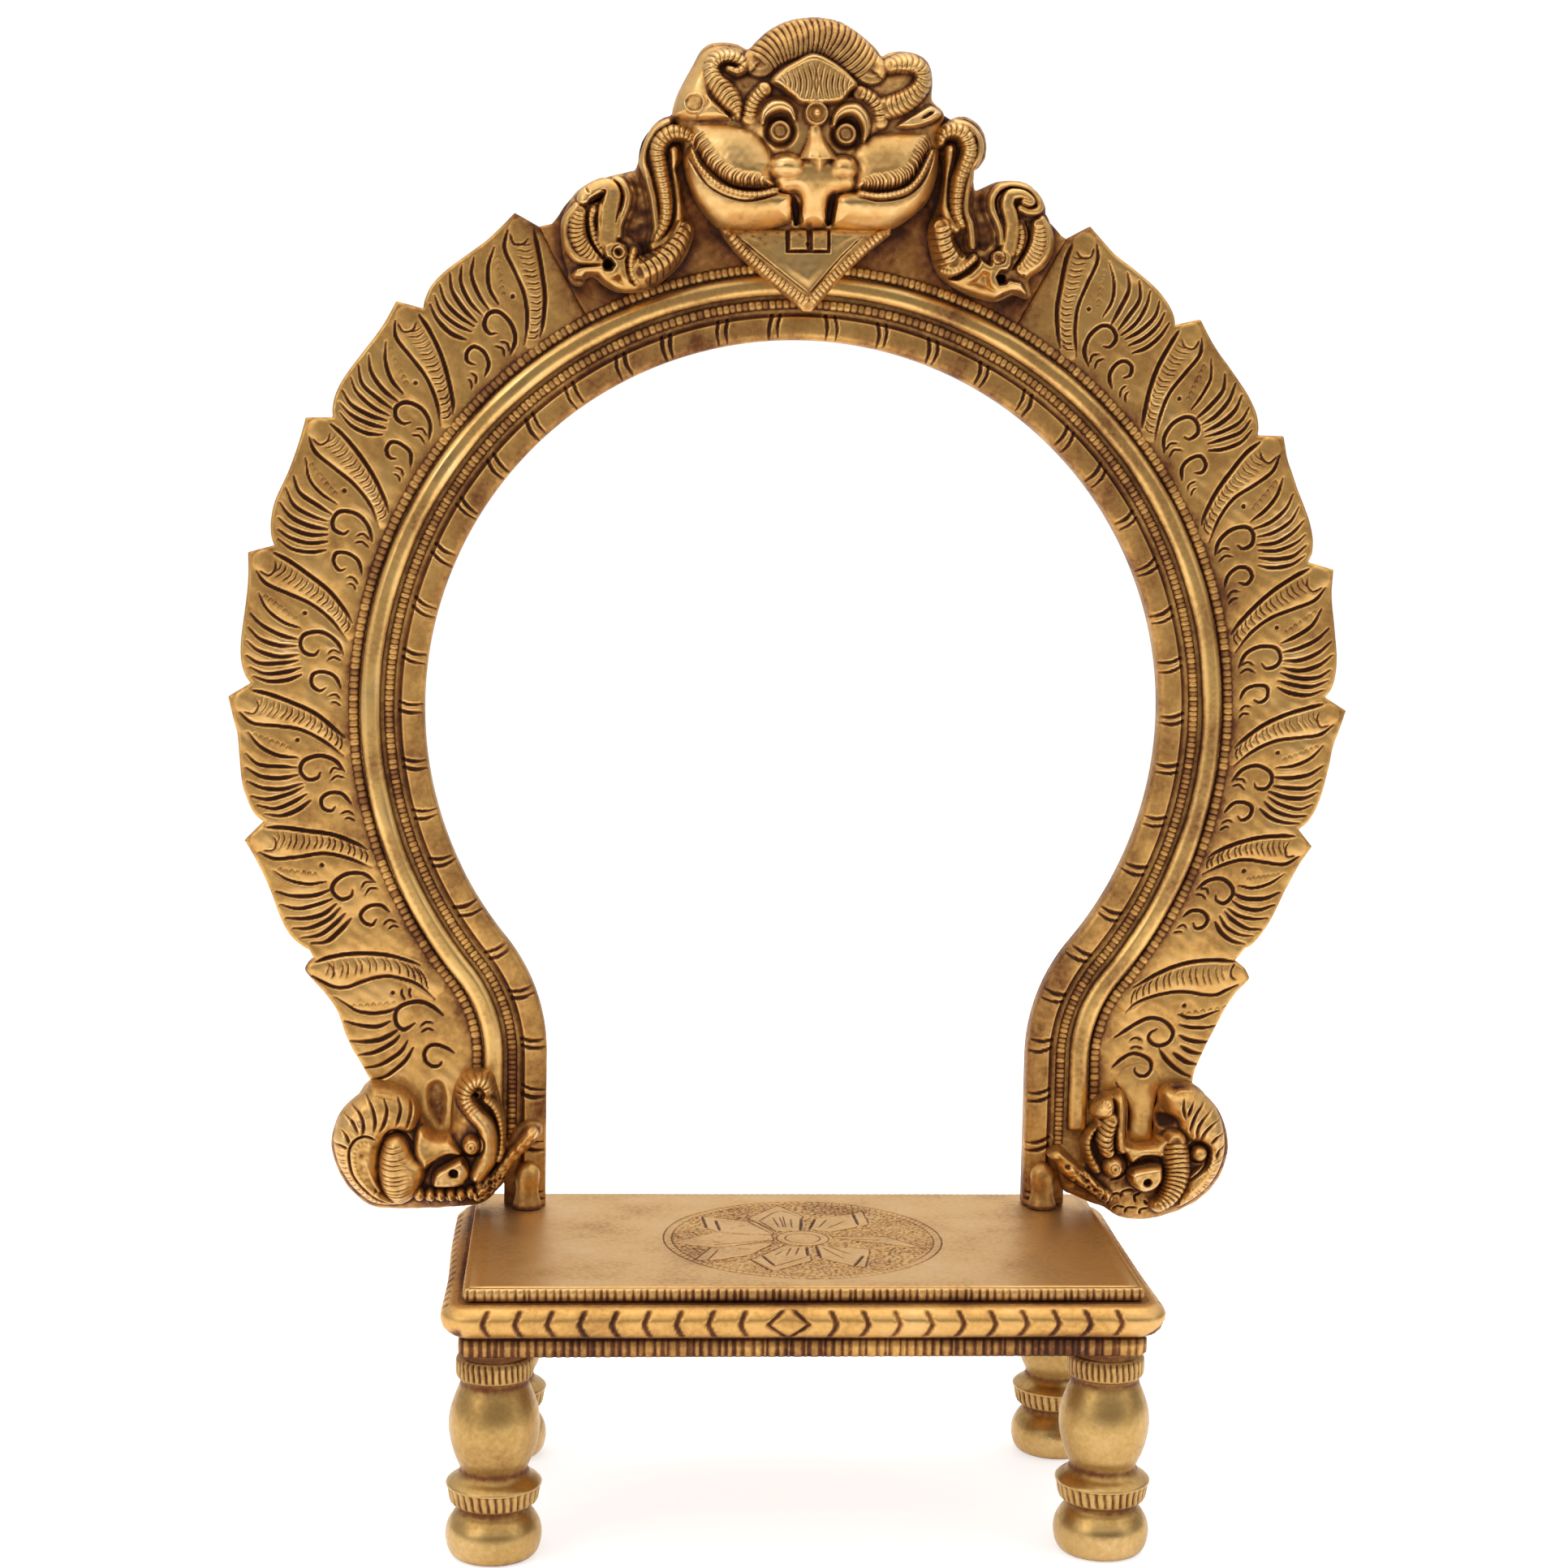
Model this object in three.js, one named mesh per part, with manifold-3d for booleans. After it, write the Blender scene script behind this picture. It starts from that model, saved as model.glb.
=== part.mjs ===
// A cast brass deity throne: a low stool on four turned legs, and a horseshoe arch
// that stands on the seat with two pegs. Millimetres, +X to the right as seen from the
// front, +Y to the back, +Z up, origin on the floor under the seat's centre.

import * as THREE from 'three';
import { mergeVertices } from 'three/addons/utils/BufferGeometryUtils.js';
import Module from 'manifold-3d';

const wasm = await Module();
wasm.setup();

// Fits
const clearance = 0.3;
const overrun = 5;

// Stool
const seatMargin = 15;
const seatDepth = 72;
const seatHeight = 55.4;
const plateThickness = 2.5;
const plateCornerRadius = 1.2;
const plateEdgeRound = 0.4;
const mouldingHeight = 6.6;
const mouldingReach = 4.2;
const lowerBandHeight = 4.1;
const lowerBandReach = 0.8;
const frameWall = 4;
const cornerBlockSize = 13;
const cornerBlockThickness = 2.8;

// Legs
const legRadius = 9.5;
const legInsetX = 6.1;
const legInsetY = 7.2;
const tenonRadius = 3;

// Pegs that stand the arch on the seat, and the sockets under the plate
const pegRadius = 2.7;
const pegRise = 10;
const pegDepth = 9.8;
const pegOffset = 3.85;
const pegForward = 1.8;
const socketWall = 1.6;

// Arch
const openingRadius = 77.7;
const circleRise = 106.3;
const footDraw = 26.2;
const reversedRadius = 39.9;
const archFront = 26;
const archThickness = 4.5;
const stripWidth = 4.8;
const stripRise = 1;
const innerRimOffset = 7.05;
const innerRimRadius = 1.05;
const rollOffset = 11.2;
const rollRadius = 2.05;
const outerRimOffset = 14.7;
const outerRimRadius = 1.1;
const bandWidth = 15.9;
const bandFootWidth = 8.8;

// Feathers
const feathersPerSide = 7;
const featherReach = 20.1;
const featherTipRise = 4.7;
const firstFeatherAngle = 28.8;
const featherPitchAngle = 14.72;

// Mask
const maskWidth = 52;
const maskHeight = 60.4;
const maskDepth = 13.7;

// Crested birds beside the mask
const birdWidth = 27.2;
const birdHeight = 34.2;
const birdDepth = 7.5;
const birdInset = 3;
const birdLift = 1.1;

// Lion heads at the foot of the arch
const yaliWidth = 38.3;
const yaliHeight = 30.5;
const yaliDepth = 9.7;
const yaliInset = 6.7;
const yaliLift = 0.7;

// Places that follow from the sizes above
const footHalfWidth = openingRadius - footDraw;
const seatHalfWidth = footHalfWidth + seatMargin;
const seatHalfDepth = seatDepth / 2;
const frameTop = seatHeight - plateThickness - clearance;
const frameMiddle = frameTop - mouldingHeight;
const frameBottom = frameMiddle - lowerBandHeight;
const legTop = frameBottom - clearance;
const legX = seatHalfWidth - legInsetX;
const legY = seatHalfDepth - legInsetY;
const archFoot = seatHeight + clearance;
const archCentreHeight = archFoot + circleRise;
const archBack = archFront + archThickness;
const ornamentBack = archFront - clearance;
const pegX = footHalfWidth + pegOffset;
const pegY = archFront - pegForward;
const bandRadius = openingRadius + bandWidth;
const featherValleyRadius = bandRadius + featherReach;
const maskBottom = archCentreHeight + openingRadius + stripWidth;
const birdLeft = maskWidth / 2 - birdInset;
const birdBottom = archCentreHeight + openingRadius + innerRimOffset + birdLift;
const yaliLeft = footHalfWidth + yaliInset;
const yaliBottom = seatHeight + yaliLift;

// The arch's edge is a circle that turns back through a reversed arc and ends upright.
// The two arcs touch where the line between their centres crosses them.
const reversedCentre = footHalfWidth + reversedRadius;
const turnAngle = Math.acos(reversedCentre / (openingRadius + reversedRadius));
const neckHeight = archCentreHeight - reversedCentre * Math.tan(turnAngle);
const innerRimEndShare = 0.536;
const rollEndShare = 0.963;
const innerRimEnd = THREE.MathUtils.lerp(archFoot, neckHeight, innerRimEndShare);
const rollEnd = THREE.MathUtils.lerp(archFoot, neckHeight, rollEndShare);

// Outlines, as shares of the sizes that they follow

// Frame: how far out and how high, of the moulding's reach and height
const mouldingShares = [
  [0.28, 1],
  [0.76, 0.86],
  [1, 0.6],
  [0.93, 0.34],
  [0.6, 0.09],
  [0.15, 0],
];
// Lower band: out and up, of its own reach and height
const lowerBandShares = [
  [1, 0.85],
  [1, 0.15],
  [0.3, 0],
];
// Leg: radius and height, of the leg's largest radius and of its height
const footShares = [
  [0.8, 0],
  [0.91, 0.025],
  [0.98, 0.067],
  [1, 0.11],
  [0.94, 0.16],
  [0.81, 0.207],
  [0.745, 0.225],
];
const ringShares = [
  [0.745, 0.24],
  [0.94, 0.29],
  [0.94, 0.377],
  [0.8, 0.406],
];
const bulbShares = [
  [0.705, 0.423],
  [0.8, 0.48],
  [0.9, 0.553],
  [0.94, 0.64],
  [0.9, 0.725],
  [0.8, 0.79],
  [0.705, 0.846],
];
const collarShares = [
  [0.73, 0.865],
  [0.785, 0.878],
  [0.785, 0.965],
  [0.715, 0.974],
  [0.715, 1],
];
// Feather edge: angle and radius, of the pitch and of the tip's rise
const featherShares = [
  [0, 0],
  [0.1, 1],
  [0.24, 0.74],
  [0.36, 0.62],
  [0.5, 0.58],
  [0.7, 0.6],
  [0.83, 0.5],
  [0.93, 0.3],
];
// Head outline: across and up, of the mask's half width and height
const headOutlineShares = [
  [0.69, 0.28],
  [0.94, 0.5],
  [0.94, 0.64],
  [1.05, 0.67],
  [1, 0.755],
  [0.86, 0.87],
  [0.68, 0.905],
  [0.5, 0.89],
  [0.38, 0.93],
  [0.15, 0.98],
  [0, 1],
];
const jawOutlineShares = [
  [0.69, 0.262],
  [0.49, 0.185],
  [0.235, 0.09],
  [0, 0],
];
const jawPanelShares = [
  [0.54, 0.262],
  [0.39, 0.2],
  [0.19, 0.125],
  [0, 0.055],
];
// Tubes of the mask: across, up, forward and thick, of half width, height, depth and half width
const hornShares = [
  [0.5, 0.68, 0.42, 0.1],
  [0.62, 0.66, 0.42, 0.11],
  [0.7, 0.72, 0.44, 0.11],
  [0.79, 0.78, 0.44, 0.1],
  [0.79, 0.835, 0.44, 0.095],
  [0.66, 0.868, 0.46, 0.085],
  [0.53, 0.838, 0.48, 0.075],
  [0.56, 0.8, 0.46, 0.06],
];
const crestShares = [
  [-0.52, 0.78, 0.36, 0.12],
  [-0.31, 0.87, 0.42, 0.15],
  [0, 0.92, 0.44, 0.155],
  [0.31, 0.87, 0.42, 0.15],
  [0.52, 0.78, 0.36, 0.12],
];
const noseShares = [
  [0, 0.64, 0.55, 0.05],
  [0, 0.56, 0.68, 0.075],
  [0, 0.49, 0.8, 0.115],
];
// Rounded lumps of the mask: across, up, forward, then half sizes, of the same sizes
const cheekShares = [0.53, 0.415, 0.3, 0.42, 0.14, 0.54];
const cheekCornerShares = [0.75, 0.52, 0.3, 0.25, 0.125, 0.42];
const nostrilShares = [0.2, 0.468, 0.6, 0.125, 0.052, 0.22];
const lipShares = [0, 0.36, 0.3, 0.17, 0.095, 0.5];
const browShares = [0, 0.765, 0.38, 0.35, 0.085, 0.36];
const eyeShares = [0.265, 0.607, 0.42, 0.12, 0.052, 0.32];
const foreheadDotShares = [0, 0.665, 0.5, 0.055, 0.024, 0.2];
const headDepthShare = 0.44;
const jawDepthShare = 0.42;
const jawPanelDepthShare = 0.5;
const faceBottomShare = 0.267;
const toothShares = [0.17, 0.205, 0.255, 0.58];
// Crest plate behind the mask, from its foot on the arch to the top
const crestPlateShares = [
  [1.98, 0.3],
  [1.9, 0.34],
  [1.78, 0.39],
  [1.6, 0.44],
  [1.38, 0.462],
  [1.3, 0.49],
  [1.22, 0.585],
  [1.02, 0.68],
  [0.96, 0.745],
  [0.82, 0.85],
  [0.65, 0.885],
  [0.48, 0.87],
  [0.36, 0.905],
  [0.15, 0.955],
  [0, 0.97],
];
// Bird: across, up, forward and thick, of the bird's width, height, depth and width
const birdStrandShares = [
  [0.09, 0.985, 0.6, 0.085],
  [0.24, 0.965, 0.6, 0.09],
  [0.32, 0.85, 0.62, 0.095],
  [0.29, 0.66, 0.64, 0.095],
  [0.24, 0.48, 0.62, 0.095],
  [0.28, 0.33, 0.55, 0.09],
  [0.31, 0.22, 0.5, 0.085],
];
const birdNeckShares = [
  [0.11, 0.42, 0.42, 0.1],
  [0.07, 0.29, 0.45, 0.12],
  [0.16, 0.16, 0.5, 0.13],
  [0.33, 0.1, 0.52, 0.135],
  [0.5, 0.14, 0.55, 0.13],
];
const birdHeadShares = [0.585, 0.18, 0.45, 0.18, 0.115, 0.55];
const birdBeakShares = [
  [0.66, 0.165, 0.55, 0.085],
  [0.8, 0.13, 0.5, 0.055],
  [0.92, 0.085, 0.45, 0.025],
];
const birdCrestShares = [
  [0.62, 0.67],
  [0.735, 0.65],
  [0.88, 0.56],
  [0.99, 0.385],
  [0.91, 0.225],
  [0.83, 0.18],
  [0.62, 0.14],
  [0.5, 0.27],
  [0.555, 0.37],
  [0.49, 0.5],
  [0.5, 0.6],
  [0.57, 0.655],
];
const birdCrestDepthShare = 0.72;
// Lion head: across and up, of its width and height
const yaliOutlineShares = [
  [0.78, 0.885],
  [0.88, 0.78],
  [0.965, 0.61],
  [1, 0.44],
  [0.97, 0.26],
  [0.875, 0.1],
  [0.73, 0.01],
  [0.52, 0],
  [0.31, 0.01],
  [0.16, 0.05],
  [0.04, 0.115],
  [0.005, 0.26],
  [0.04, 0.43],
  [0.065, 0.59],
  [0.09, 0.79],
  [0.16, 0.95],
  [0.27, 0.95],
  [0.34, 0.82],
  [0.365, 0.655],
  [0.45, 0.54],
  [0.55, 0.62],
  [0.63, 0.79],
  [0.705, 0.88],
];
const yaliTrunkShares = [
  [0.2, 0.2, 0.5, 0.085],
  [0.13, 0.38, 0.58, 0.08],
  [0.12, 0.54, 0.6, 0.07],
  [0.17, 0.66, 0.6, 0.062],
  [0.25, 0.76, 0.6, 0.055],
  [0.27, 0.86, 0.6, 0.05],
  [0.21, 0.92, 0.62, 0.045],
  [0.155, 0.86, 0.6, 0.04],
];
const yaliManeShares = [
  [0.75, 0.78, 0.4, 0.08],
  [0.85, 0.66, 0.5, 0.1],
  [0.88, 0.46, 0.52, 0.105],
  [0.83, 0.26, 0.48, 0.1],
  [0.7, 0.13, 0.4, 0.085],
];
const yaliArmShares = [
  [-0.08, 0.41, 0.22, 0.055],
  [0.02, 0.3, 0.32, 0.06],
  [0.16, 0.14, 0.4, 0.07],
];
const yaliHeadShares = [0.33, 0.34, 0.35, 0.24, 0.3, 0.6];
const yaliEyeShares = [0.24, 0.46, 0.8, 0.06, 0.075, 0.28];
const yaliEarShares = [0.36, 0.28, 0.7, 0.1, 0.095, 0.34];
const yaliSlabDepthShare = 0.5;
// The feather plate behind the lion head, drawn in from its outline
const yaliBackingShares = [
  [0.84, 0.8],
  [0.93, 0.6],
  [0.965, 0.44],
  [0.93, 0.27],
  [0.85, 0.14],
  [0.72, 0.06],
  [0.5, 0.05],
  [0.3, 0.06],
  [0.12, 0.13],
];

// Counts
const legSegments = 16;
const pegSegments = 16;
const cornerSegments = 4;
const circleSegments = 40;
const neckSegments = 6;
const tubeSides = 8;
const tubeStepsPerPoint = 2;
const lumpSegments = 12;
const lumpRings = 8;

// Finishes
function brass(name, color, roughness) {
  return new THREE.MeshStandardMaterial({ name, color, roughness, metalness: 1 });
}
const goldBrass = () => brass('gold_brass', 0xc79a4b, 0.36);
const polishedBrass = () => brass('polished_brass', 0xd9ac58, 0.26);
const darkBrass = () => brass('dark_brass', 0xa9783a, 0.45);

const group = new THREE.Group();

function addPiece(name, geometry, material) {
  const mesh = new THREE.Mesh(geometry, material);
  mesh.name = name;
  group.add(mesh);
}

// Solids

// A closed mesh with its shared vertices merged and its empty faces dropped
function solidOf(geometry) {
  const bare = new THREE.BufferGeometry();
  bare.setAttribute('position', geometry.getAttribute('position'));
  if (geometry.index) {
    bare.setIndex(geometry.index);
  }
  const merged = mergeVertices(bare);
  const corners = merged.index.array;
  const kept = [];
  for (let i = 0; i < corners.length; i += 3) {
    const [a, b, c] = [corners[i], corners[i + 1], corners[i + 2]];
    if (a !== b && b !== c && c !== a) {
      kept.push(a, b, c);
    }
  }
  const triVerts = new Uint32Array(kept);
  const vertProperties = new Float32Array(merged.getAttribute('position').array);
  if (signedVolume(vertProperties, triVerts) < 0) {
    triVerts.reverse();
  }
  return new wasm.Manifold(new wasm.Mesh({ numProp: 3, vertProperties, triVerts }));
}

function signedVolume(places, corners) {
  const at = (i) => new THREE.Vector3().fromArray(places, 3 * i);
  let sum = 0;
  for (let i = 0; i < corners.length; i += 3) {
    sum += at(corners[i]).dot(at(corners[i + 1]).cross(at(corners[i + 2])));
  }
  return sum;
}

function geometryOf(solid) {
  const { vertProperties, triVerts } = solid.getMesh();
  const geometry = new THREE.BufferGeometry();
  geometry.setAttribute('position', new THREE.BufferAttribute(vertProperties, 3));
  geometry.setIndex(new THREE.BufferAttribute(triVerts, 1));
  geometry.computeVertexNormals();
  return geometry;
}

const joined = (solids) => solids.reduce((whole, solid) => whole.add(solid));

// Rings of equal count, skinned in order and closed at both ends by flat or pointed caps
function skinned(rings) {
  const count = rings[0].length;
  const places = rings.flat();
  const faces = [];
  for (let k = 0; k + 1 < rings.length; k += 1) {
    for (let i = 0; i < count; i += 1) {
      const next = (i + 1) % count;
      const [a, b] = [k * count + i, k * count + next];
      faces.push(a, b, a + count, b, b + count, a + count);
    }
  }
  const capAt = (ring, first, flip) => {
    const middle = ring.reduce((sum, p) => sum.add(p), new THREE.Vector3()).divideScalar(count);
    const centre = places.push(middle) - 1;
    for (let i = 0; i < count; i += 1) {
      const next = (i + 1) % count;
      faces.push(centre, first + (flip ? next : i), first + (flip ? i : next));
    }
  };
  capAt(rings[0], 0, true);
  capAt(rings[rings.length - 1], (rings.length - 1) * count, false);
  const geometry = new THREE.BufferGeometry().setFromPoints(places);
  geometry.setIndex(faces);
  return solidOf(geometry);
}

// An outline in the upright X-Z plane, given thickness from front to back
function upright(outline, front, back) {
  const shape = new THREE.Shape(outline);
  const geometry = new THREE.ExtrudeGeometry(shape, { depth: back - front, bevelEnabled: false });
  geometry.rotateX(Math.PI / 2);
  geometry.translate(0, back, 0);
  return solidOf(geometry);
}

function box(xLow, xHigh, yLow, yHigh, zLow, zHigh) {
  const geometry = new THREE.BoxGeometry(xHigh - xLow, yHigh - yLow, zHigh - zLow);
  geometry.translate((xLow + xHigh) / 2, (yLow + yHigh) / 2, (zLow + zHigh) / 2);
  return solidOf(geometry);
}

function rod(x, y, radius, zLow, zHigh) {
  const geometry = new THREE.CylinderGeometry(radius, radius, zHigh - zLow, pegSegments);
  geometry.rotateX(Math.PI / 2);
  geometry.translate(x, y, (zLow + zHigh) / 2);
  return solidOf(geometry);
}

function lump(centre, half) {
  const geometry = new THREE.SphereGeometry(1, lumpSegments, lumpRings);
  geometry.scale(half.x, half.y, half.z);
  geometry.translate(centre.x, centre.y, centre.z);
  return solidOf(geometry);
}

// A round tube whose thickness changes from point to point, with blunt ends
function taperedTube(points, radii) {
  const curve = new THREE.CatmullRomCurve3(points);
  const steps = (points.length - 1) * tubeStepsPerPoint;
  const frames = curve.computeFrenetFrames(steps, false);
  const rings = [];
  const radiusAt = (t) => {
    const place = t * (radii.length - 1);
    const low = Math.min(Math.floor(place), radii.length - 2);
    return THREE.MathUtils.lerp(radii[low], radii[low + 1], place - low);
  };
  const ringAt = (centre, k, radius) =>
    Array.from({ length: tubeSides }, (_, i) => {
      const turn = (2 * Math.PI * i) / tubeSides;
      return centre
        .clone()
        .addScaledVector(frames.normals[k], radius * Math.cos(turn))
        .addScaledVector(frames.binormals[k], radius * Math.sin(turn));
    });
  for (let k = 0; k <= steps; k += 1) {
    const radius = radiusAt(k / steps);
    const centre = curve.getPoint(k / steps);
    const along = curve.getTangent(k / steps);
    if (k === 0) {
      rings.push(ringAt(centre.clone().addScaledVector(along, -radius / 2), k, radius / 2));
    }
    rings.push(ringAt(centre, k, radius));
    if (k === steps) {
      rings.push(ringAt(centre.clone().addScaledVector(along, radius / 2), k, radius / 2));
    }
  }
  return skinned(rings);
}

// Stool

// Points of a rectangle with round corners, at one height
function roundedRectangle(halfWidth, halfDepth, radius, z) {
  const points = [];
  const corners = [
    [1, 1],
    [-1, 1],
    [-1, -1],
    [1, -1],
  ];
  corners.forEach(([sideX, sideY], quarter) => {
    for (let k = 0; k <= cornerSegments; k += 1) {
      const turn = (Math.PI / 2) * (quarter + k / cornerSegments);
      points.push(
        new THREE.Vector3(
          sideX * (halfWidth - radius) + radius * Math.cos(turn),
          sideY * (halfDepth - radius) + radius * Math.sin(turn),
          z,
        ),
      );
    }
  });
  return points;
}

function seatRing(reach, z) {
  const radius = plateCornerRadius + reach;
  return roundedRectangle(seatHalfWidth + reach, seatHalfDepth + reach, radius, z);
}

function makeSeatPlate() {
  const bottom = seatHeight - plateThickness;
  const plate = skinned([
    seatRing(-plateEdgeRound, bottom),
    seatRing(0, bottom + plateEdgeRound),
    seatRing(0, seatHeight - plateEdgeRound),
    seatRing(-plateEdgeRound, seatHeight),
  ]);
  const holes = [-1, 1].map((side) =>
    rod(side * pegX, pegY, pegRadius + clearance, bottom - overrun, seatHeight + overrun),
  );
  return plate.subtract(joined(holes));
}

function makeSeatFrame() {
  const rings = mouldingShares
    .map(([out, up]) => seatRing(out * mouldingReach, frameMiddle + up * mouldingHeight))
    .concat(
      lowerBandShares.map(([out, up]) =>
        seatRing(out * lowerBandReach, frameBottom + up * lowerBandHeight),
      ),
    );
  const innerX = seatHalfWidth - frameWall;
  const innerY = seatHalfDepth - frameWall;
  const hollow = box(
    -innerX,
    innerX,
    -innerY,
    innerY,
    frameBottom - overrun,
    frameTop + overrun,
  );
  let frame = skinned(rings).subtract(hollow);
  for (const sideX of [-1, 1]) {
    for (const sideY of [-1, 1]) {
      const [x, y] = [sideX * seatHalfWidth, sideY * seatHalfDepth];
      const reachX = x - sideX * (frameWall + cornerBlockSize);
      const reachY = y - sideY * (frameWall + cornerBlockSize);
      const block = box(
        Math.min(x, reachX),
        Math.max(x, reachX),
        Math.min(y, reachY),
        Math.max(y, reachY),
        frameBottom,
        frameBottom + cornerBlockThickness,
      );
      frame = frame.add(block);
    }
  }
  const tenonHoles = [];
  for (const sideX of [-1, 1]) {
    for (const sideY of [-1, 1]) {
      tenonHoles.push(
        rod(
          sideX * legX,
          sideY * legY,
          tenonRadius + clearance,
          frameBottom - overrun,
          frameBottom + cornerBlockThickness + overrun,
        ),
      );
    }
  }
  return frame.subtract(joined(tenonHoles));
}

// A leg is one turned casting: foot, ticked ring, bulb, collar and the tenon on top
function makeLegGeometry() {
  const place = ([r, z]) => new THREE.Vector2(r * legRadius, z * legTop);
  const tenonTop = frameBottom + cornerBlockThickness;
  const profile = [
    new THREE.Vector2(0, 0),
    ...footShares.map(place),
    ...ringShares.map(place),
    ...bulbShares.map(place),
    ...collarShares.map(place),
    new THREE.Vector2(tenonRadius, legTop),
    new THREE.Vector2(tenonRadius, tenonTop),
    new THREE.Vector2(0, tenonTop),
  ];
  const geometry = new THREE.LatheGeometry(profile, legSegments);
  geometry.rotateX(Math.PI / 2);
  return geometryOf(solidOf(geometry));
}

function addLegs() {
  const places = [
    ['leg_front_left', -legX, -legY],
    ['leg_front_right', legX, -legY],
    ['leg_back_left', -legX, legY],
    ['leg_back_right', legX, legY],
  ];
  for (const [name, x, y] of places) {
    addPiece(name, makeLegGeometry(), polishedBrass());
    group.getObjectByName(name).position.set(x, y, 0);
  }
}

// Arch

// Stations from the left foot over the top to the right foot, each a point on the
// opening's edge and the direction straight out from the opening
function archStations(endHeight) {
  const right = [];
  const add = (x, z, outX, outZ) => right.push({ x, z, outX, outZ });
  for (let k = 0; k <= circleSegments / 2; k += 1) {
    const angle = Math.PI / 2 - (k / (circleSegments / 2)) * (Math.PI / 2 + turnAngle);
    const [outX, outZ] = [Math.cos(angle), Math.sin(angle)];
    add(openingRadius * outX, archCentreHeight + openingRadius * outZ, outX, outZ);
  }
  for (let k = 1; k <= neckSegments; k += 1) {
    const angle = turnAngle * (1 - k / neckSegments);
    const [outX, outZ] = [Math.cos(angle), -Math.sin(angle)];
    add(reversedCentre - reversedRadius * outX, neckHeight - reversedRadius * outZ, outX, outZ);
  }
  add(footHalfWidth, endHeight, 1, 0);
  const left = right
    .slice(1)
    .reverse()
    .map(({ x, z, outX, outZ }) => ({ x: -x, z, outX: -outX, outZ }));
  return left.concat(right);
}

// A cross-section of [out from the opening, Y] pairs, swept along the arch
function sweptAlongArch(section, endHeight) {
  const rings = archStations(endHeight).map(({ x, z, outX, outZ }) =>
    section.map(([out, y]) => new THREE.Vector3(x + outX * out, y, z + outZ * out)),
  );
  return skinned(rings);
}

// The half-round section of a rim or roll that lies on the band
function halfRound(offset, radius, grow) {
  const section = [[offset - radius - grow, ornamentBack + 2 * grow]];
  for (let k = 0; k <= cornerSegments; k += 1) {
    const turn = Math.PI * (1 - k / cornerSegments);
    section.push([
      offset + (radius + grow) * Math.cos(turn),
      ornamentBack - (radius + grow) * Math.sin(turn),
    ]);
  }
  section.push([offset + radius + grow, ornamentBack + 2 * grow]);
  return grow > 0 ? section : section.slice(1, -1);
}

const makeRoll = (grow) =>
  sweptAlongArch(halfRound(rollOffset, rollRadius, grow), rollEnd - grow);
const makeInnerRim = (grow) =>
  sweptAlongArch(halfRound(innerRimOffset, innerRimRadius, grow), innerRimEnd - grow);
const makeOuterRim = (grow) =>
  sweptAlongArch(halfRound(outerRimOffset, outerRimRadius, grow), rollEnd - grow);

// What is cut off the band outside each foot, where it narrows to stand on the seat
function footCut(side, grow) {
  const outside = footHalfWidth + bandWidth + overrun;
  const narrow = footHalfWidth + bandFootWidth + grow;
  const outline = [
    [narrow, archFoot - overrun],
    [narrow, archFoot + bandFootWidth / 2],
    [footHalfWidth + bandWidth + grow, innerRimEnd],
    [outside, innerRimEnd],
    [outside, archFoot - overrun],
  ];
  const points = outline.map(([x, z]) => new THREE.Vector2(side * x, z));
  return upright(points, archFront - 2 * overrun, archBack + 2 * overrun);
}

function makeArchBand() {
  const bevel = stripRise / 2;
  const section = [
    [0, archBack],
    [0, archFront - stripRise + bevel],
    [bevel, archFront - stripRise],
    [stripWidth - bevel, archFront - stripRise],
    [stripWidth, archFront],
    [bandWidth, archFront],
    [bandWidth, archBack],
  ];
  return sweptAlongArch(section, archFoot).subtract(joined([footCut(-1, 0), footCut(1, 0)]));
}

// The space of the band with a gap all round, for what stands beside and on it
function bandSpace(grow) {
  const plain = [
    [-grow, archBack + overrun],
    [-grow, archFront - grow],
    [bandWidth + grow, archFront - grow],
    [bandWidth + grow, archBack + overrun],
  ];
  const strip = [
    [-grow, archFront + grow],
    [-grow, archFront - stripRise - grow],
    [stripWidth + grow, archFront - stripRise - grow],
    [stripWidth + grow, archFront + grow],
  ];
  const feet = joined([footCut(-1, grow), footCut(1, grow)]);
  const body = sweptAlongArch(plain, archFoot - grow).subtract(feet);
  return body.add(sweptAlongArch(strip, archFoot - grow));
}

function makePeg(side, grow) {
  const radius = pegRadius + grow;
  const top = seatHeight + pegRise + grow;
  const bottom = seatHeight - pegDepth - grow;
  const straight = rod(side * pegX, pegY, radius, bottom, top - radius);
  const dome = lump(
    new THREE.Vector3(side * pegX, pegY, top - radius),
    new THREE.Vector3(radius, radius, radius),
  );
  const upper = straight.add(dome);
  return grow > 0 ? upper : upper.subtract(bandSpace(clearance));
}

function makeSocket(side) {
  const bottom = seatHeight - pegDepth;
  const outer = pegRadius + clearance + socketWall;
  const tube = rod(side * pegX, pegY, outer, bottom, frameTop);
  const bore = rod(side * pegX, pegY, pegRadius + clearance, bottom - overrun, frameTop + overrun);
  return tube.subtract(bore);
}

// A point at an angle from the top of the arch's circle
function polar(side, degrees, radius) {
  const angle = THREE.MathUtils.degToRad(degrees);
  const [x, z] = [radius * Math.sin(angle), archCentreHeight + radius * Math.cos(angle)];
  return new THREE.Vector2(side * x, z);
}

const onYali = (side, [u, v]) =>
  new THREE.Vector2(side * (yaliLeft + u * yaliWidth), yaliBottom + v * yaliHeight);

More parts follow.
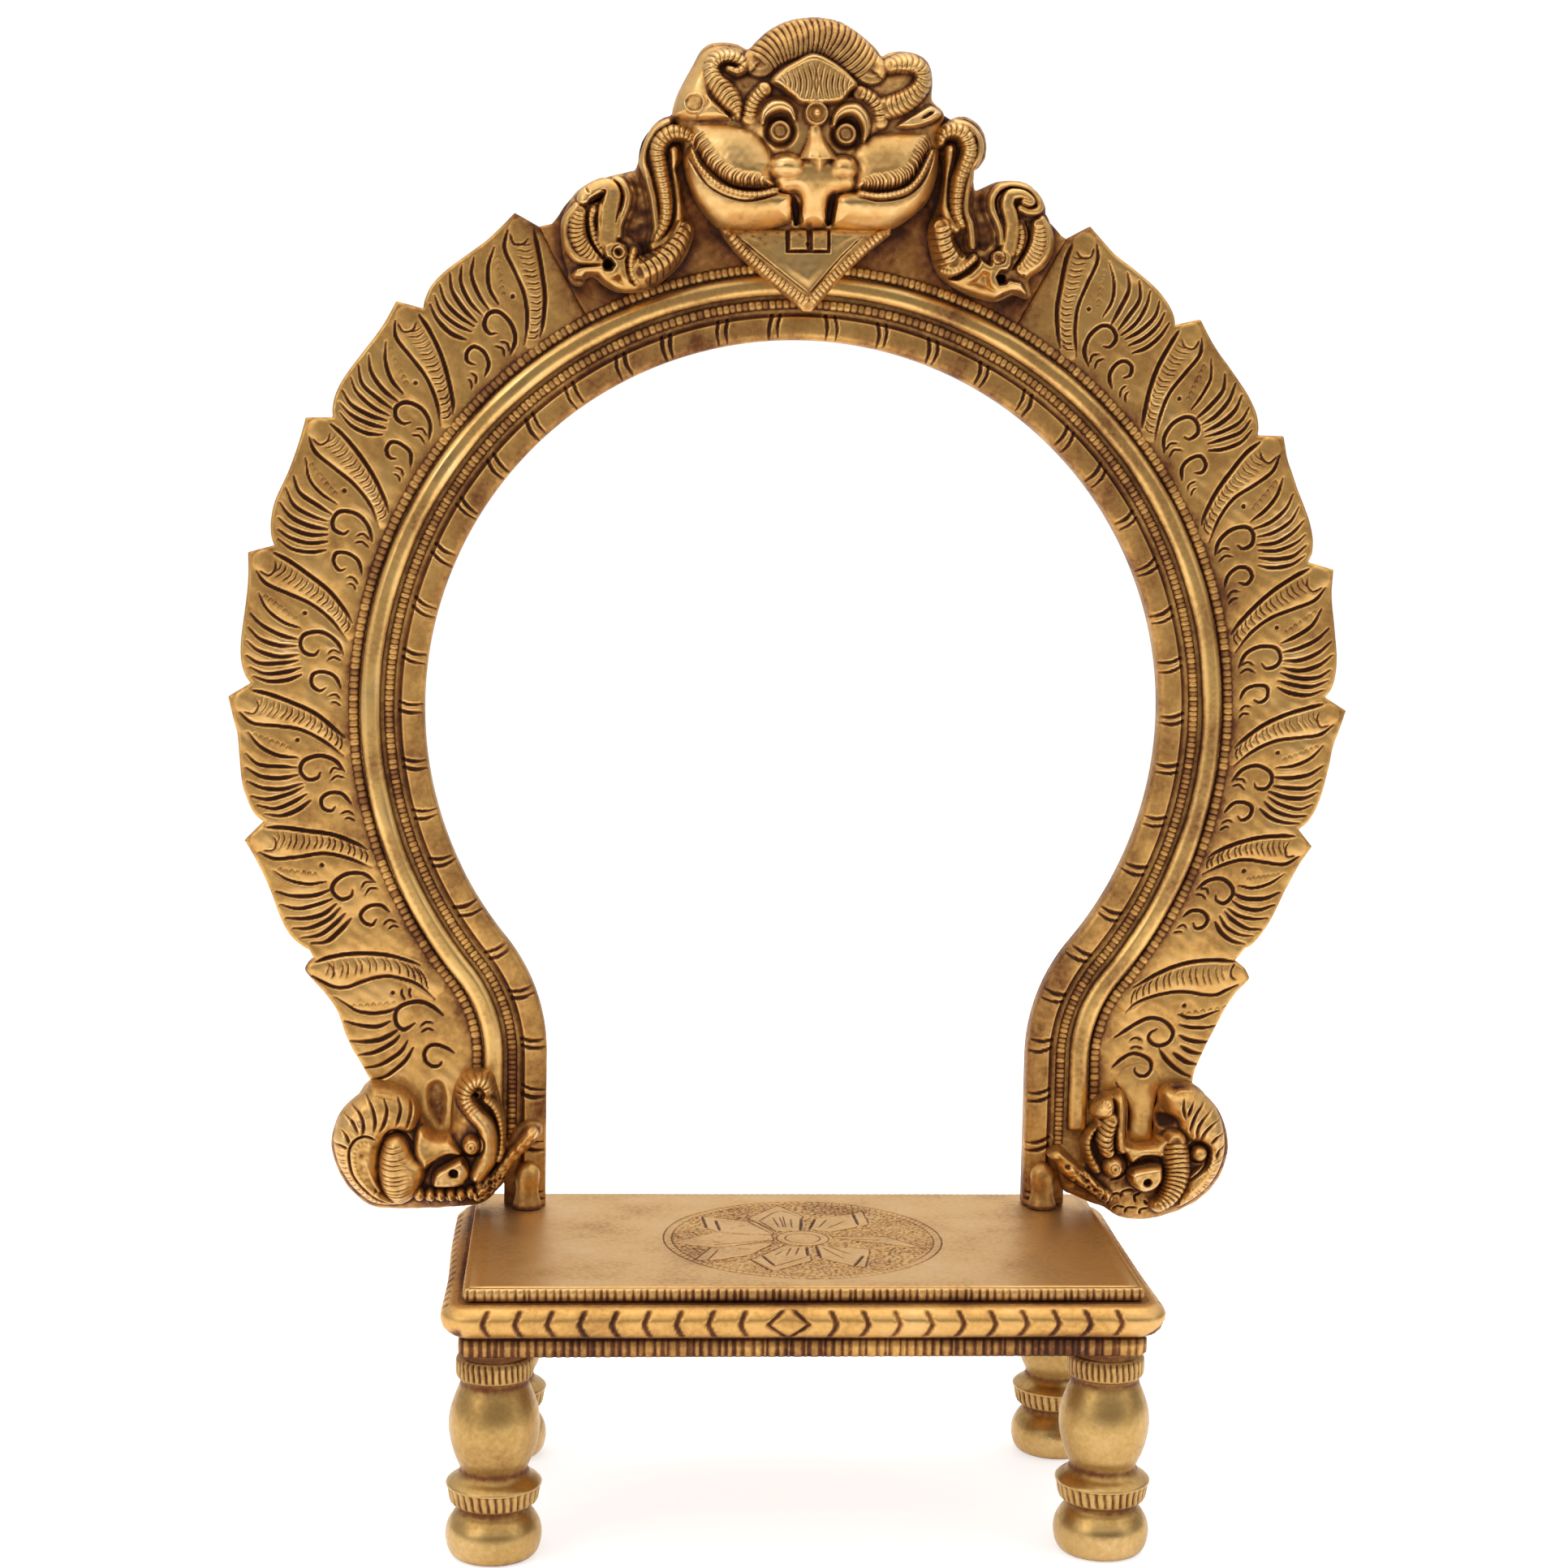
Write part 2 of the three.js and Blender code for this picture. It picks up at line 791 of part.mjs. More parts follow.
// The feathers in one plate, from the crest down to the backing of the lion head
function makeFeatherPlate(side) {
  const insideRadius = openingRadius + bandWidth / 2;
  const lastFeatherAngle = firstFeatherAngle + feathersPerSide * featherPitchAngle;
  const feathers = [];
  for (let i = 0; i < feathersPerSide; i += 1) {
    const start = firstFeatherAngle + i * featherPitchAngle;
    for (const [along, rise] of featherShares) {
      const radius = featherValleyRadius + rise * featherTipRise;
      feathers.push(polar(side, start + along * featherPitchAngle, radius));
    }
  }
  feathers.push(polar(side, lastFeatherAngle, featherValleyRadius));
  const steps = circleSegments / 2;
  for (let k = 0; k <= steps; k += 1) {
    const angle = THREE.MathUtils.lerp(lastFeatherAngle, firstFeatherAngle, k / steps);
    feathers.push(polar(side, angle, insideRadius));
  }
  const foot = footHalfWidth + bandFootWidth / 2;
  const backing = [
    polar(side, lastFeatherAngle - featherPitchAngle / 2, insideRadius),
    polar(side, lastFeatherAngle, featherValleyRadius),
    ...yaliBackingShares.map((share) => onYali(side, share)),
    new THREE.Vector2(side * foot, yaliBottom + yaliHeight / 2),
    polar(side, lastFeatherAngle, insideRadius),
  ];
  return upright(feathers, archFront, archBack)
    .add(upright(backing, archFront, archBack))
    .subtract(bandSpace(clearance));
}

// The plate behind the mask and the birds
function makeCrestPlate() {
  const gapAngle = THREE.MathUtils.radToDeg(clearance / bandRadius);
  const edge = firstFeatherAngle - gapAngle;
  const rightSide = crestPlateShares.map(([u, v]) => onMask(1, [u, v]));
  const leftSide = rightSide
    .slice(0, -1)
    .reverse()
    .map(({ x, y }) => new THREE.Vector2(-x, y));
  const insideRadius = openingRadius + bandWidth / 2;
  const under = [];
  const steps = circleSegments / 4;
  for (let k = 0; k <= steps; k += 1) {
    under.push(polar(1, THREE.MathUtils.lerp(-edge, edge, k / steps), insideRadius));
  }
  const outer = (side) => polar(side, edge, featherValleyRadius);
  const outline = [outer(1), ...rightSide, ...leftSide, outer(-1), ...under];
  return upright(outline, archFront, archBack).subtract(bandSpace(clearance));
}

// Mask

function onMask(side, [u, v]) {
  return new THREE.Vector2((side * u * maskWidth) / 2, maskBottom + v * maskHeight);
}

// A place in an ornament: across, up and forward of its back
function maskTube(side, shares, grow) {
  const points = shares.map(([u, v, w]) => {
    const { x, y } = onMask(side, [u, v]);
    return new THREE.Vector3(x, ornamentBack - w * maskDepth, y);
  });
  const radii = shares.map(([, , , thick]) => (thick * maskWidth) / 2 + grow);
  return taperedTube(points, radii);
}

function maskLump(side, [u, v, w, halfU, halfV, halfW], grow) {
  const { x, y } = onMask(side, [u, v]);
  const centre = new THREE.Vector3(x, ornamentBack - w * maskDepth, y);
  const half = new THREE.Vector3(
    (halfU * maskWidth) / 2 + grow,
    halfW * maskDepth + grow,
    halfV * maskHeight + grow,
  );
  return lump(centre, half);
}

const mirrored = (shares, place) => {
  const right = shares.map((share) => place(1, share));
  const left = shares
    .slice(0, -1)
    .reverse()
    .map((share) => place(-1, share));
  return right.concat(left);
};

// What stands proud of the band's front, with a gap, for the pieces that lie across it
const frontTrim = joined([
  makeRoll(clearance),
  makeInnerRim(clearance),
  makeOuterRim(clearance),
  bandSpace(clearance),
]);

function behindOrnaments() {
  const reach = featherValleyRadius + featherTipRise + overrun;
  const top = maskBottom + maskHeight + overrun;
  return box(-reach, reach, ornamentBack, archBack + maskDepth, seatHeight - overrun, top);
}

function makeFace(grow) {
  const parts = [
    upright(
      mirrored(headOutlineShares, onMask),
      ornamentBack - headDepthShare * maskDepth - grow,
      ornamentBack,
    ),
    maskTube(1, crestShares, grow),
    maskTube(1, noseShares, grow),
    maskLump(1, lipShares, grow),
    maskLump(1, browShares, grow),
    maskLump(1, foreheadDotShares, grow),
  ];
  for (const side of [-1, 1]) {
    parts.push(
      maskTube(side, hornShares, grow),
      maskLump(side, cheekShares, grow),
      maskLump(side, cheekCornerShares, grow),
      maskLump(side, nostrilShares, grow),
      maskLump(side, eyeShares, grow),
    );
  }
  const bottom = maskBottom + faceBottomShare * maskHeight - grow;
  const under = box(
    -maskWidth,
    maskWidth,
    ornamentBack - 2 * maskDepth,
    archBack + maskDepth,
    maskBottom - overrun,
    bottom,
  );
  return joined(parts).subtract(behindOrnaments()).subtract(under);
}

// The pointed lower jaw with its raised border, panel and two teeth
function makeJaw() {
  const outer = mirrored(jawOutlineShares, onMask);
  const panel = mirrored(jawPanelShares, onMask);
  const depthAt = (share) => ornamentBack - share * maskDepth;
  const plate = upright(outer, depthAt(jawDepthShare), ornamentBack);
  const rim = upright(outer, depthAt(jawPanelDepthShare), depthAt(jawDepthShare / 2));
  const well = upright(panel, depthAt(jawPanelDepthShare) - overrun, depthAt(jawDepthShare));
  const [toothHalf, toothLow, toothHigh, toothDepth] = toothShares;
  const teeth = box(
    (-toothHalf * maskWidth) / 2,
    (toothHalf * maskWidth) / 2,
    depthAt(toothDepth),
    depthAt(jawDepthShare / 2),
    maskBottom + toothLow * maskHeight,
    maskBottom + toothHigh * maskHeight,
  );
  return plate.add(rim).subtract(well).add(teeth).subtract(frontTrim);
}

// Birds

function birdPoint(side, [u, v, w]) {
  return new THREE.Vector3(
    side * (birdLeft + u * birdWidth),
    ornamentBack - w * birdDepth,
    birdBottom + v * birdHeight,
  );
}

function birdTube(side, shares) {
  const points = shares.map((share) => birdPoint(side, share));
  return taperedTube(points, shares.map(([, , , thick]) => thick * birdWidth));
}

// A crested bird's head on a ribbed neck, and the strand that ties it to the mask's mouth
function makeBird(side, face) {
  const [u, v, w, halfU, halfV, halfW] = birdHeadShares;
  const half = new THREE.Vector3(halfU * birdWidth, halfW * birdDepth, halfV * birdHeight);
  const crest = birdCrestShares.map((share) => {
    const { x, z } = birdPoint(side, [...share, 0]);
    return new THREE.Vector2(x, z);
  });
  return joined([
    birdTube(side, birdStrandShares),
    birdTube(side, birdNeckShares),
    birdTube(side, birdBeakShares),
    lump(birdPoint(side, [u, v, w]), half),
    upright(crest, ornamentBack - birdCrestDepthShare * birdDepth, ornamentBack),
  ])
    .subtract(behindOrnaments())
    .subtract(frontTrim)
    .subtract(face);
}

// Lion heads

function yaliPoint(side, [u, v, w]) {
  const { x, y } = onYali(side, [u, v]);
  return new THREE.Vector3(x, ornamentBack - w * yaliDepth, y);
}

function yaliTube(side, shares) {
  const points = shares.map((share) => yaliPoint(side, share));
  return taperedTube(points, shares.map(([, , , thick]) => thick * yaliWidth));
}

function yaliLump(side, [u, v, w, halfU, halfV, halfW]) {
  const half = new THREE.Vector3(halfU * yaliWidth, halfW * yaliDepth, halfV * yaliHeight);
  return lump(yaliPoint(side, [u, v, w]), half);
}

// A lion head facing the opening: mane, head, curled trunk, eye, ear and the arm to the band
function makeYali(side) {
  const outline = yaliOutlineShares.map((share) => onYali(side, share));
  const front = ornamentBack - yaliSlabDepthShare * yaliDepth;
  const under = box(
    side * yaliLeft - yaliWidth,
    side * yaliLeft + yaliWidth,
    archFront - maskDepth,
    archBack + maskDepth,
    seatHeight - yaliHeight,
    yaliBottom,
  );
  return joined([
    upright(outline, front, ornamentBack),
    yaliTube(side, yaliTrunkShares),
    yaliTube(side, yaliManeShares),
    yaliTube(side, yaliArmShares),
    yaliLump(side, yaliHeadShares),
    yaliLump(side, yaliEyeShares),
    yaliLump(side, yaliEarShares),
  ])
    .subtract(behindOrnaments())
    .subtract(frontTrim)
    .subtract(under)
    .subtract(makePeg(side, clearance));
}

// The throne

addPiece('seat_plate', geometryOf(makeSeatPlate()), goldBrass());
addPiece('seat_frame', geometryOf(makeSeatFrame()), goldBrass());
addLegs();
addPiece('arch_band', geometryOf(makeArchBand()), goldBrass());
addPiece('arch_roll', geometryOf(makeRoll(0)), polishedBrass());
addPiece('inner_bead_rim', geometryOf(makeInnerRim(0)), goldBrass());
addPiece('outer_bead_rim', geometryOf(makeOuterRim(0)), goldBrass());
addPiece('crest_plate', geometryOf(makeCrestPlate()), darkBrass());
addPiece('mask_face', geometryOf(makeFace(0)), polishedBrass());
addPiece('mask_jaw', geometryOf(makeJaw()), polishedBrass());
const faceSpace = makeFace(clearance);
const sides = [
  ['left', -1],
  ['right', 1],
];
for (const [name, side] of sides) {
  addPiece(`feather_plate_${name}`, geometryOf(makeFeatherPlate(side)), goldBrass());
  addPiece(`bird_${name}`, geometryOf(makeBird(side, faceSpace)), goldBrass());
  addPiece(`yali_head_${name}`, geometryOf(makeYali(side)), goldBrass());
  addPiece(`arch_peg_${name}`, geometryOf(makePeg(side, 0)), goldBrass());
  addPiece(`arch_socket_${name}`, geometryOf(makeSocket(side)), darkBrass());
}

export default group;
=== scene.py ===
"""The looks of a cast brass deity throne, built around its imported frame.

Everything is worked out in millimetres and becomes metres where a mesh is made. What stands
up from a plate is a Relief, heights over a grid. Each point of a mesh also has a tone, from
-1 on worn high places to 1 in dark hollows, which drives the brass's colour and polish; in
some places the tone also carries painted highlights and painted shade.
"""

import math

import bpy
import numpy as np
from mathutils import Matrix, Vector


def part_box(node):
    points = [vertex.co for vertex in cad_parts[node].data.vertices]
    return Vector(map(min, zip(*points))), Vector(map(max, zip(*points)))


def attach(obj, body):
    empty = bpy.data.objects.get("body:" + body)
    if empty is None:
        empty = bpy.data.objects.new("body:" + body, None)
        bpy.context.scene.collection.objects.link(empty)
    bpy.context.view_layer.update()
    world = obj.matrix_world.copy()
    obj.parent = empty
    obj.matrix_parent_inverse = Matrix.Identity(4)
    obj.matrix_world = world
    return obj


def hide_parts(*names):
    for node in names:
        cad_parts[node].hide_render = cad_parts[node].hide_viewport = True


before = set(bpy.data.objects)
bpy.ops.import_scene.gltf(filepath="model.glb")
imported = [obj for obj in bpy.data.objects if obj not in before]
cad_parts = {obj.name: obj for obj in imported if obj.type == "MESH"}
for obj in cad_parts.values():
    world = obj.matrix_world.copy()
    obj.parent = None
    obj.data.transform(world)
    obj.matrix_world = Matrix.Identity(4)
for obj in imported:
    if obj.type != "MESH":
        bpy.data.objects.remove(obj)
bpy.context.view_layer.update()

MM = 0.001
SIDES = {-1: "left", 1: "right"}
rng = np.random.default_rng(7)


def box_mm(node):
    """A CAD node's lowest and highest corner, in millimetres."""
    low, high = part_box(node)
    return np.array(low) / MM, np.array(high) / MM


# Sizes from the frame
plate_low, plate_high = box_mm("seat_plate")
frame_low, frame_high = box_mm("seat_frame")
band_low, band_high = box_mm("arch_band")
peg_low, peg_high = box_mm("arch_peg_right")

SEAT_HALF_X, SEAT_HALF_Y, SEAT_TOP = plate_high
LEG_TOP = box_mm("leg_front_right")[1][2]
MASK_BACK = box_mm("mask_face")[1][1]
JAW_BACK = box_mm("mask_jaw")[1][1]
ARCH_BACK = band_high[1]
ARCH_FOOT = band_low[2]

# Sizes of the arch
OPENING_RADIUS = 77.7
CIRCLE_RISE = 106.3
FOOT_DRAW = 26.2
REVERSED_RADIUS = 39.9
BAND_FRONT = 26.0
BAND_WIDTH = 15.9
BAND_FOOT_WIDTH = 8.8
STRIP_WIDTH = 4.8
STRIP_RISE = 1.0

CENTRE_Z = ARCH_FOOT + CIRCLE_RISE
FOOT_X = OPENING_RADIUS - FOOT_DRAW
REVERSED_X = FOOT_X + REVERSED_RADIUS
TURN_ANGLE = math.acos(REVERSED_X / (OPENING_RADIUS + REVERSED_RADIUS))
NECK_Z = CENTRE_Z - REVERSED_X * math.tan(TURN_ANGLE)
BAND_RADIUS = OPENING_RADIUS + BAND_WIDTH
RIM_END_Z = ARCH_FOOT + 0.536 * (NECK_Z - ARCH_FOOT)
ROLL_END_Z = ARCH_FOOT + 0.963 * (NECK_Z - ARCH_FOOT)


# Small mathematics


def smoothstep(value, low=0.0, high=1.0):
    t = np.clip((value - low) / (high - low), 0, 1)
    return t * t * (3 - 2 * t)


def bell(value, width, power=2):
    """1 where the value is 0, and almost nothing past the width."""
    return np.exp(-((value / width) ** power))


def channel(gap, half):
    """The section of a cut: 1 in its middle and 0 from half its width on."""
    return np.clip(1 - (gap / half) ** 2, 0, 1)


def quarter_round(share):
    """Rises from 0 to 1 as a quarter circle does, and stays there."""
    return np.sqrt(np.clip(1 - (1 - np.clip(share, 0, 1)) ** 2, 0, 1))


def to_whole(count):
    """How far a count lies from a whole number."""
    return np.minimum(count % 1, 1 - count % 1)


def spread(values, share):
    """Values spread evenly along a path, read at a share of its length."""
    return np.interp(share, np.linspace(0, 1, len(values)), values)


def lengths_along(path):
    return np.concatenate([[0], np.cumsum(np.hypot(*np.diff(path, axis=0).T))])


def smooth_path(points, closed=False, steps=6):
    """A Catmull-Rom curve through the points, as a dense polyline."""
    p = np.asarray(points, float)
    if closed:
        p = np.vstack([p[-1], p, p[0], p[1]])
    else:
        p = np.vstack([2 * p[0] - p[1], p, 2 * p[-1] - p[-2]])
    t = np.linspace(0, 1, steps, endpoint=False)[:, None]
    rows = []
    for a, b, c, d in zip(p[:-3], p[1:-2], p[2:-1], p[3:]):
        bent = (2 * a - 5 * b + 4 * c - d) * t**2 + (3 * b - a - 3 * c + d) * t**3
        rows.append(0.5 * (2 * b + (c - a) * t + bent))
    if not closed:
        rows.append(p[-2][None])
    return np.vstack(rows)


def evenly(points, count=60):
    """Places spread evenly along a smooth path."""
    path = smooth_path(points)
    length = lengths_along(path)
    at = np.linspace(0, length[-1], count)
    return np.stack([np.interp(at, length, path[:, k]) for k in (0, 1)], 1)


def ring(middle, radius, count=24):
    turn = np.linspace(0, 2 * math.pi, count + 1)
    return np.asarray(middle) + radius * np.stack([np.cos(turn), np.sin(turn)], 1)


def blurred(values, weight, sigma):
    """A Gaussian blur over the grid, in cells, that takes nothing from outside the weight."""
    reach = max(1, int(3 * sigma))
    kernel = np.exp(-0.5 * (np.arange(-reach, reach + 1) / sigma) ** 2)

    def along(field, axis):
        pad = [(0, 0), (0, 0)]
        pad[axis] = (reach, reach)
        padded = np.pad(field, pad)
        total = np.zeros_like(field)
        for k, w in enumerate(kernel):
            cut = [slice(None), slice(None)]
            cut[axis] = slice(k, k + field.shape[axis])
            total += w * padded[tuple(cut)]
        return total

    top = along(along(values * weight, 0), 1)
    under = along(along(weight, 0), 1)
    return top / np.maximum(under, 1e-9)


def noise_field(x, z, size, seed, waves=9):
    """Smooth random waves over x and z, from about -1 to 1, with features of the given size."""
    r = np.random.default_rng(seed)
    total = np.zeros_like(x)
    for _ in range(waves):
        turn, phase = r.uniform(0, 2 * math.pi, 2)
        wave = 2 * math.pi / (size * r.uniform(0.7, 1.6))
        total += np.sin(wave * (x * math.cos(turn) + z * math.sin(turn)) + phase)
    return total / math.sqrt(waves)


def noise_along(length, size, seed):
    """Smooth random waves along a length, as a column."""
    return noise_field(length, 0 * length, size, seed)[:, None]


def inside_outline(x, z, outline):
    """Whether each place lies inside a closed outline."""
    inside = np.zeros(x.shape, bool)
    for (ax, az), (bx, bz) in zip(outline, np.roll(outline, -1, axis=0)):
        if az != bz:
            between = (az > z) != (bz > z)
            inside ^= between & (x < ax + (z - az) * (bx - ax) / (bz - az))
    return inside


# Relief: heights over a grid of upright places

# How far below the body a raised form starts
FOOT = 0.4

# How far a blur reaches that takes the grid's steps out of the cuts
EASE = 0.11
FINE_EASE = 0.09


class Relief:
    """Heights in front of a back face, over a grid of places x and z.

    body is the ground that forms stand on, ink the brown that the patina leaves, which also
    carries some painted shade and, below 0, the brightness of wear and of painted highlights,
    burr the metal pushed up beside a cut, and rim how far a place lies from the outline.
    """

    def __init__(self, x, z, spacing, base=0.0):
        self.x, self.z, self.spacing = x, z, spacing
        self.height = np.full_like(x, base)
        self.weight = np.ones_like(x)
        self.cuts, self.ink, self.burr, self.body = (np.zeros_like(x) for _ in range(4))
        self.rim = np.full_like(x, np.inf)

    def noise(self, size, seed):
        return noise_field(self.x, self.z, size, seed)

    def far(self, place):
        """How far each grid place lies from one place."""
        return np.hypot(self.x - place[0], self.z - place[1])

    def in_box(self, low, high):
        x_fits = (self.x > low[0]) & (self.x < high[0])
        return np.flatnonzero(x_fits & (self.z > low[1]) & (self.z < high[1]))

    def near(self, path, reach):
        """The grid places within reach of a path.

        Gives which, how far from it, how far along it, on which side, and its length."""
        pick = self.in_box(path.min(0) - reach, path.max(0) + reach)
        p = np.stack([self.x.flat[pick], self.z.flat[pick]], 1)
        steps = np.diff(path, axis=0)
        sizes = np.hypot(*steps.T)
        best = np.full(len(p), 1e9)
        along, side = np.zeros(len(p)), np.zeros(len(p))
        for a, step, size, before in zip(path, steps, sizes, lengths_along(path)):
            rel = p - a
            t = np.clip((rel @ step) / max(size**2, 1e-12), 0, 1)
            gap = np.hypot(*(rel - t[:, None] * step).T)
            closer = gap < best
            best = np.where(closer, gap, best)
            along = np.where(closer, before + t * size, along)
            cross = step[0] * rel[:, 1] - step[1] * rel[:, 0]
            side = np.where(closer, np.sign(cross), side)
        keep = best < reach
        return pick[keep], best[keep], along[keep], side[keep], sizes.sum()

    def around(self, points, reach):
        """The grid places within reach of a smooth path."""
        return self.near(smooth_path(points), reach)[0]

    def within(self, outline, reach):
        """The places inside an outline, and how far each lies from its edge, up to reach."""
        pick = self.in_box(outline.min(0), outline.max(0))
        pick = pick[inside_outline(self.x.flat[pick], self.z.flat[pick], outline)]
        depth = np.full(self.x.size, float(reach))
        close, gap, *_ = self.near(np.vstack([outline, outline[:1]]), reach)
        depth[close] = gap
        return pick, depth[pick]

    # Ink and tone

    def shade(self, pick, ink):
        self.ink.flat[pick] = np.maximum(self.ink.flat[pick], ink)

    def clear(self, pick):
        """Cleans the ink off a form laid over others."""
        for layer in (self.ink, self.cuts, self.burr):
            layer.flat[pick] = 0

    def stain(self, places, radius, ink):
        """Soft dark patina round each place."""
        for place in places:
            self.ink = np.maximum(self.ink, ink * np.exp(-2 * (self.far(place) / radius) ** 2))

    def ease(self, reach=EASE):
        """Takes the steps of the grid out of the cuts and their ink."""
        self.cuts = blurred(self.cuts, self.weight, reach / self.spacing)
        self.ink = blurred(self.ink, self.weight, reach / self.spacing)

    def soften(self, reach, amount):
        """Rounds the ground down towards the cuts, as a chasing tool pushes it."""
        self.height -= amount * blurred(self.cuts, self.weight, reach / self.spacing)

    def finished(self):
        return self.height - self.cuts + 0.09 * self.burr * (1 - np.clip(self.cuts / 0.1, 0, 1))

    def hollowness(self, heights, reach):
        """How far each place lies under what is round it."""
        return blurred(heights, self.weight, reach / self.spacing) - heights

    def tone(self, broad_gain=0.35):
        h = self.finished()
        hollow = 1.6 * self.hollowness(h, 0.35) + broad_gain * self.hollowness(h, 1.5)
        return np.clip(hollow + 0.85 * self.ink, -1, 1)

    # Strokes and forms

    def cut(self, points, width=0.7, depth=0.4, taper=(0.25, 0.25), ink=1.0, smooth=True):
        """An engraved stroke, which narrows at its ends."""
        bent = smooth and len(points) > 2
        path = smooth_path(points) if bent else np.asarray(points, float)
        pick, gap, along, _, total = self.near(path, 0.5 * width + 0.4)
        share = along / total
        first, last = (max(end, 1e-6) for end in taper)
        thin = np.clip(share / first, 0, 1) * np.clip((1 - share) / last, 0, 1)
        half = 0.5 * width * (0.4 + 0.6 * np.sqrt(thin))
        profile = channel(gap, half)
        deep = depth * profile * (0.45 + 0.55 * thin)
        self.cuts.flat[pick] = np.maximum(self.cuts.flat[pick], deep)
        self.shade(pick, ink * profile**1.2 * (0.5 + 0.5 * thin))
        rim = bell(gap - half - 0.1, 0.14) * np.sqrt(thin) * min(1, width)
        self.burr.flat[pick] = np.maximum(self.burr.flat[pick], rim)

    def rays(self, low, high, count, width, depth, ends, bow, taper=(0.3, 0.3), ink=0.9):
        """Cuts that run from one line to another; bow is how far they bend, as a share."""
        a, b = smooth_path(low), smooth_path(high)
        for share in (np.arange(count) + 0.5) / count:
            start = a[round(share * (len(a) - 1))]
            reach = b[round(share * (len(b) - 1))] - start
            across = np.array([-reach[1], reach[0]]) * bow
            first, last = start + ends[0] * reach, start + ends[1] * reach
            self.cut([first, (first + last) / 2 + across, last], width, depth, taper, ink)

    def dots(self, places, radius, rise, ink=0.0):
        """Small round bumps, or pits where rise is negative."""
        places = np.atleast_2d(places)
        near = self.in_box(places.min(0) - radius, places.max(0) + radius)
        x, z = self.x.flat[near], self.z.flat[near]
        for px, pz in places:
            pick = near[(np.abs(x - px) < radius) & (np.abs(z - pz) < radius)]
            gap = np.hypot(self.x.flat[pick] - px, self.z.flat[pick] - pz)
            bump = np.sqrt(channel(gap, radius))
            self.height.flat[pick] += rise * bump
            self.shade(pick, ink * bump)

    def join(self, pick, level, fillet=0.2):
        """Joins a form to what is there already, with a small fillet."""
        gap = level - self.height.flat[pick]
        self.height.flat[pick] += 0.5 * (gap + np.sqrt(gap * gap + fillet * fillet))

    def mound(self, outline, rise, shoulder, fall=0.0, sharp=False):
        """A form that rises from the body inside an outline; fall is its slope downwards."""
        path = np.asarray(outline, float) if sharp else smooth_path(outline, True, 4)
        pick, depth = self.within(path, shoulder)
        level = rise - fall * (self.z.flat[pick] - path[:, 1].mean())
        share = np.sqrt(1 - (1 - depth / shoulder) ** 2)
        self.join(pick, self.body.flat[pick] - FOOT + (level + FOOT) * share)
        return pick

    def clean_mound(self, *size, **more):
        """A mound with no ink on it."""
        pick = self.mound(*size, **more)
        self.clear(pick)
        return pick

    def dome(self, middle, radii, rise, power=0.5):
        """A round or oval boss."""
        across, upward = np.broadcast_to(radii, 2)
        r = ((self.x - middle[0]) / across) ** 2 + ((self.z - middle[1]) / upward) ** 2
        pick = np.flatnonzero(r < 1)
        share = (1 - r.flat[pick]) ** power
        self.join(pick, self.body.flat[pick] - FOOT + (rise + FOOT) * share)

    def strand(self, points, half, rise, power=0.5, ribs=None, ink=0.4, lean=0.0):
        """A rod along a path; ribs holds their pitch, depth and width, and how far they bow."""
        half, rise = np.atleast_1d(half), np.atleast_1d(rise)
        pick, gap, along, side, total = self.near(smooth_path(points), half.max() + 0.1)
        share = along / total
        wide, high = spread(half, share), spread(rise, share)
        keep = gap < wide
        pick, gap, along, side, wide, high = (
            v[keep] for v in (pick, gap, along, side, wide, high)
        )
        across = gap / wide
        profile = (1 - across**2) ** power
        level = self.body.flat[pick] - FOOT + (high + FOOT + lean * side * across) * profile
        if ribs:
            pitch, depth, width, bow = ribs
            count = max(1, round(total / pitch))
            phase = (along + bow * across**2 * wide) * count / total
            groove = channel(to_whole(phase) * pitch, width / 2)
            level = level - depth * groove
            seen_groove = groove * (level > self.height.flat[pick])
            cut = groove > 0
            self.shade(pick[cut], ink * seen_groove[cut])
        self.join(pick, level, 0.1)

    def swell(self, paths, reach, rise):
        """Raises the body around a group of paths and between those that lie close together."""
        close = np.full(self.x.size, reach)
        for path in paths:
            pick, gap, *_ = self.near(smooth_path(path), reach)
            close[pick] = np.minimum(close[pick], gap)
        lift = rise * smoothstep(1 - close.reshape(self.x.shape) / reach, 0, 0.45)
        self.body += lift
        self.height += lift
        self.ink -= 0.12 * lift

    def raise_between(self, path_a, path_b, rise):
        """Swells the ground between two lines into a low rounded rib."""
        half = np.hypot(*(path_a - path_b).T) / 2
        pick, gap, along, _, total = self.near((path_a + path_b) / 2, half.max() + 0.3)
        width = np.maximum(spread(half, along / total), 0.3)
        self.height.flat[pick] += rise * channel(gap, width) ** 0.6


# Meshes


def new_object(name, vertices, faces, tone, flat_faces, material):
    """A mesh object from places in millimetres, with its tone kept on the points."""
    mesh = bpy.data.meshes.new(name)
    mesh.from_pydata((np.asarray(vertices, float) * MM).tolist(), [], faces)
    attribute = mesh.attributes.new("tone", "FLOAT", "POINT")
    attribute.data.foreach_set("value", np.asarray(tone, np.float32))
    smooth = np.ones(len(mesh.polygons), bool)
    smooth[list(flat_faces)] = False
    mesh.polygons.foreach_set("use_smooth", smooth)
    mesh.update()
    mesh.materials.append(material)
    obj = bpy.data.objects.new(name, mesh)
    bpy.context.scene.collection.objects.link(obj)
    return obj


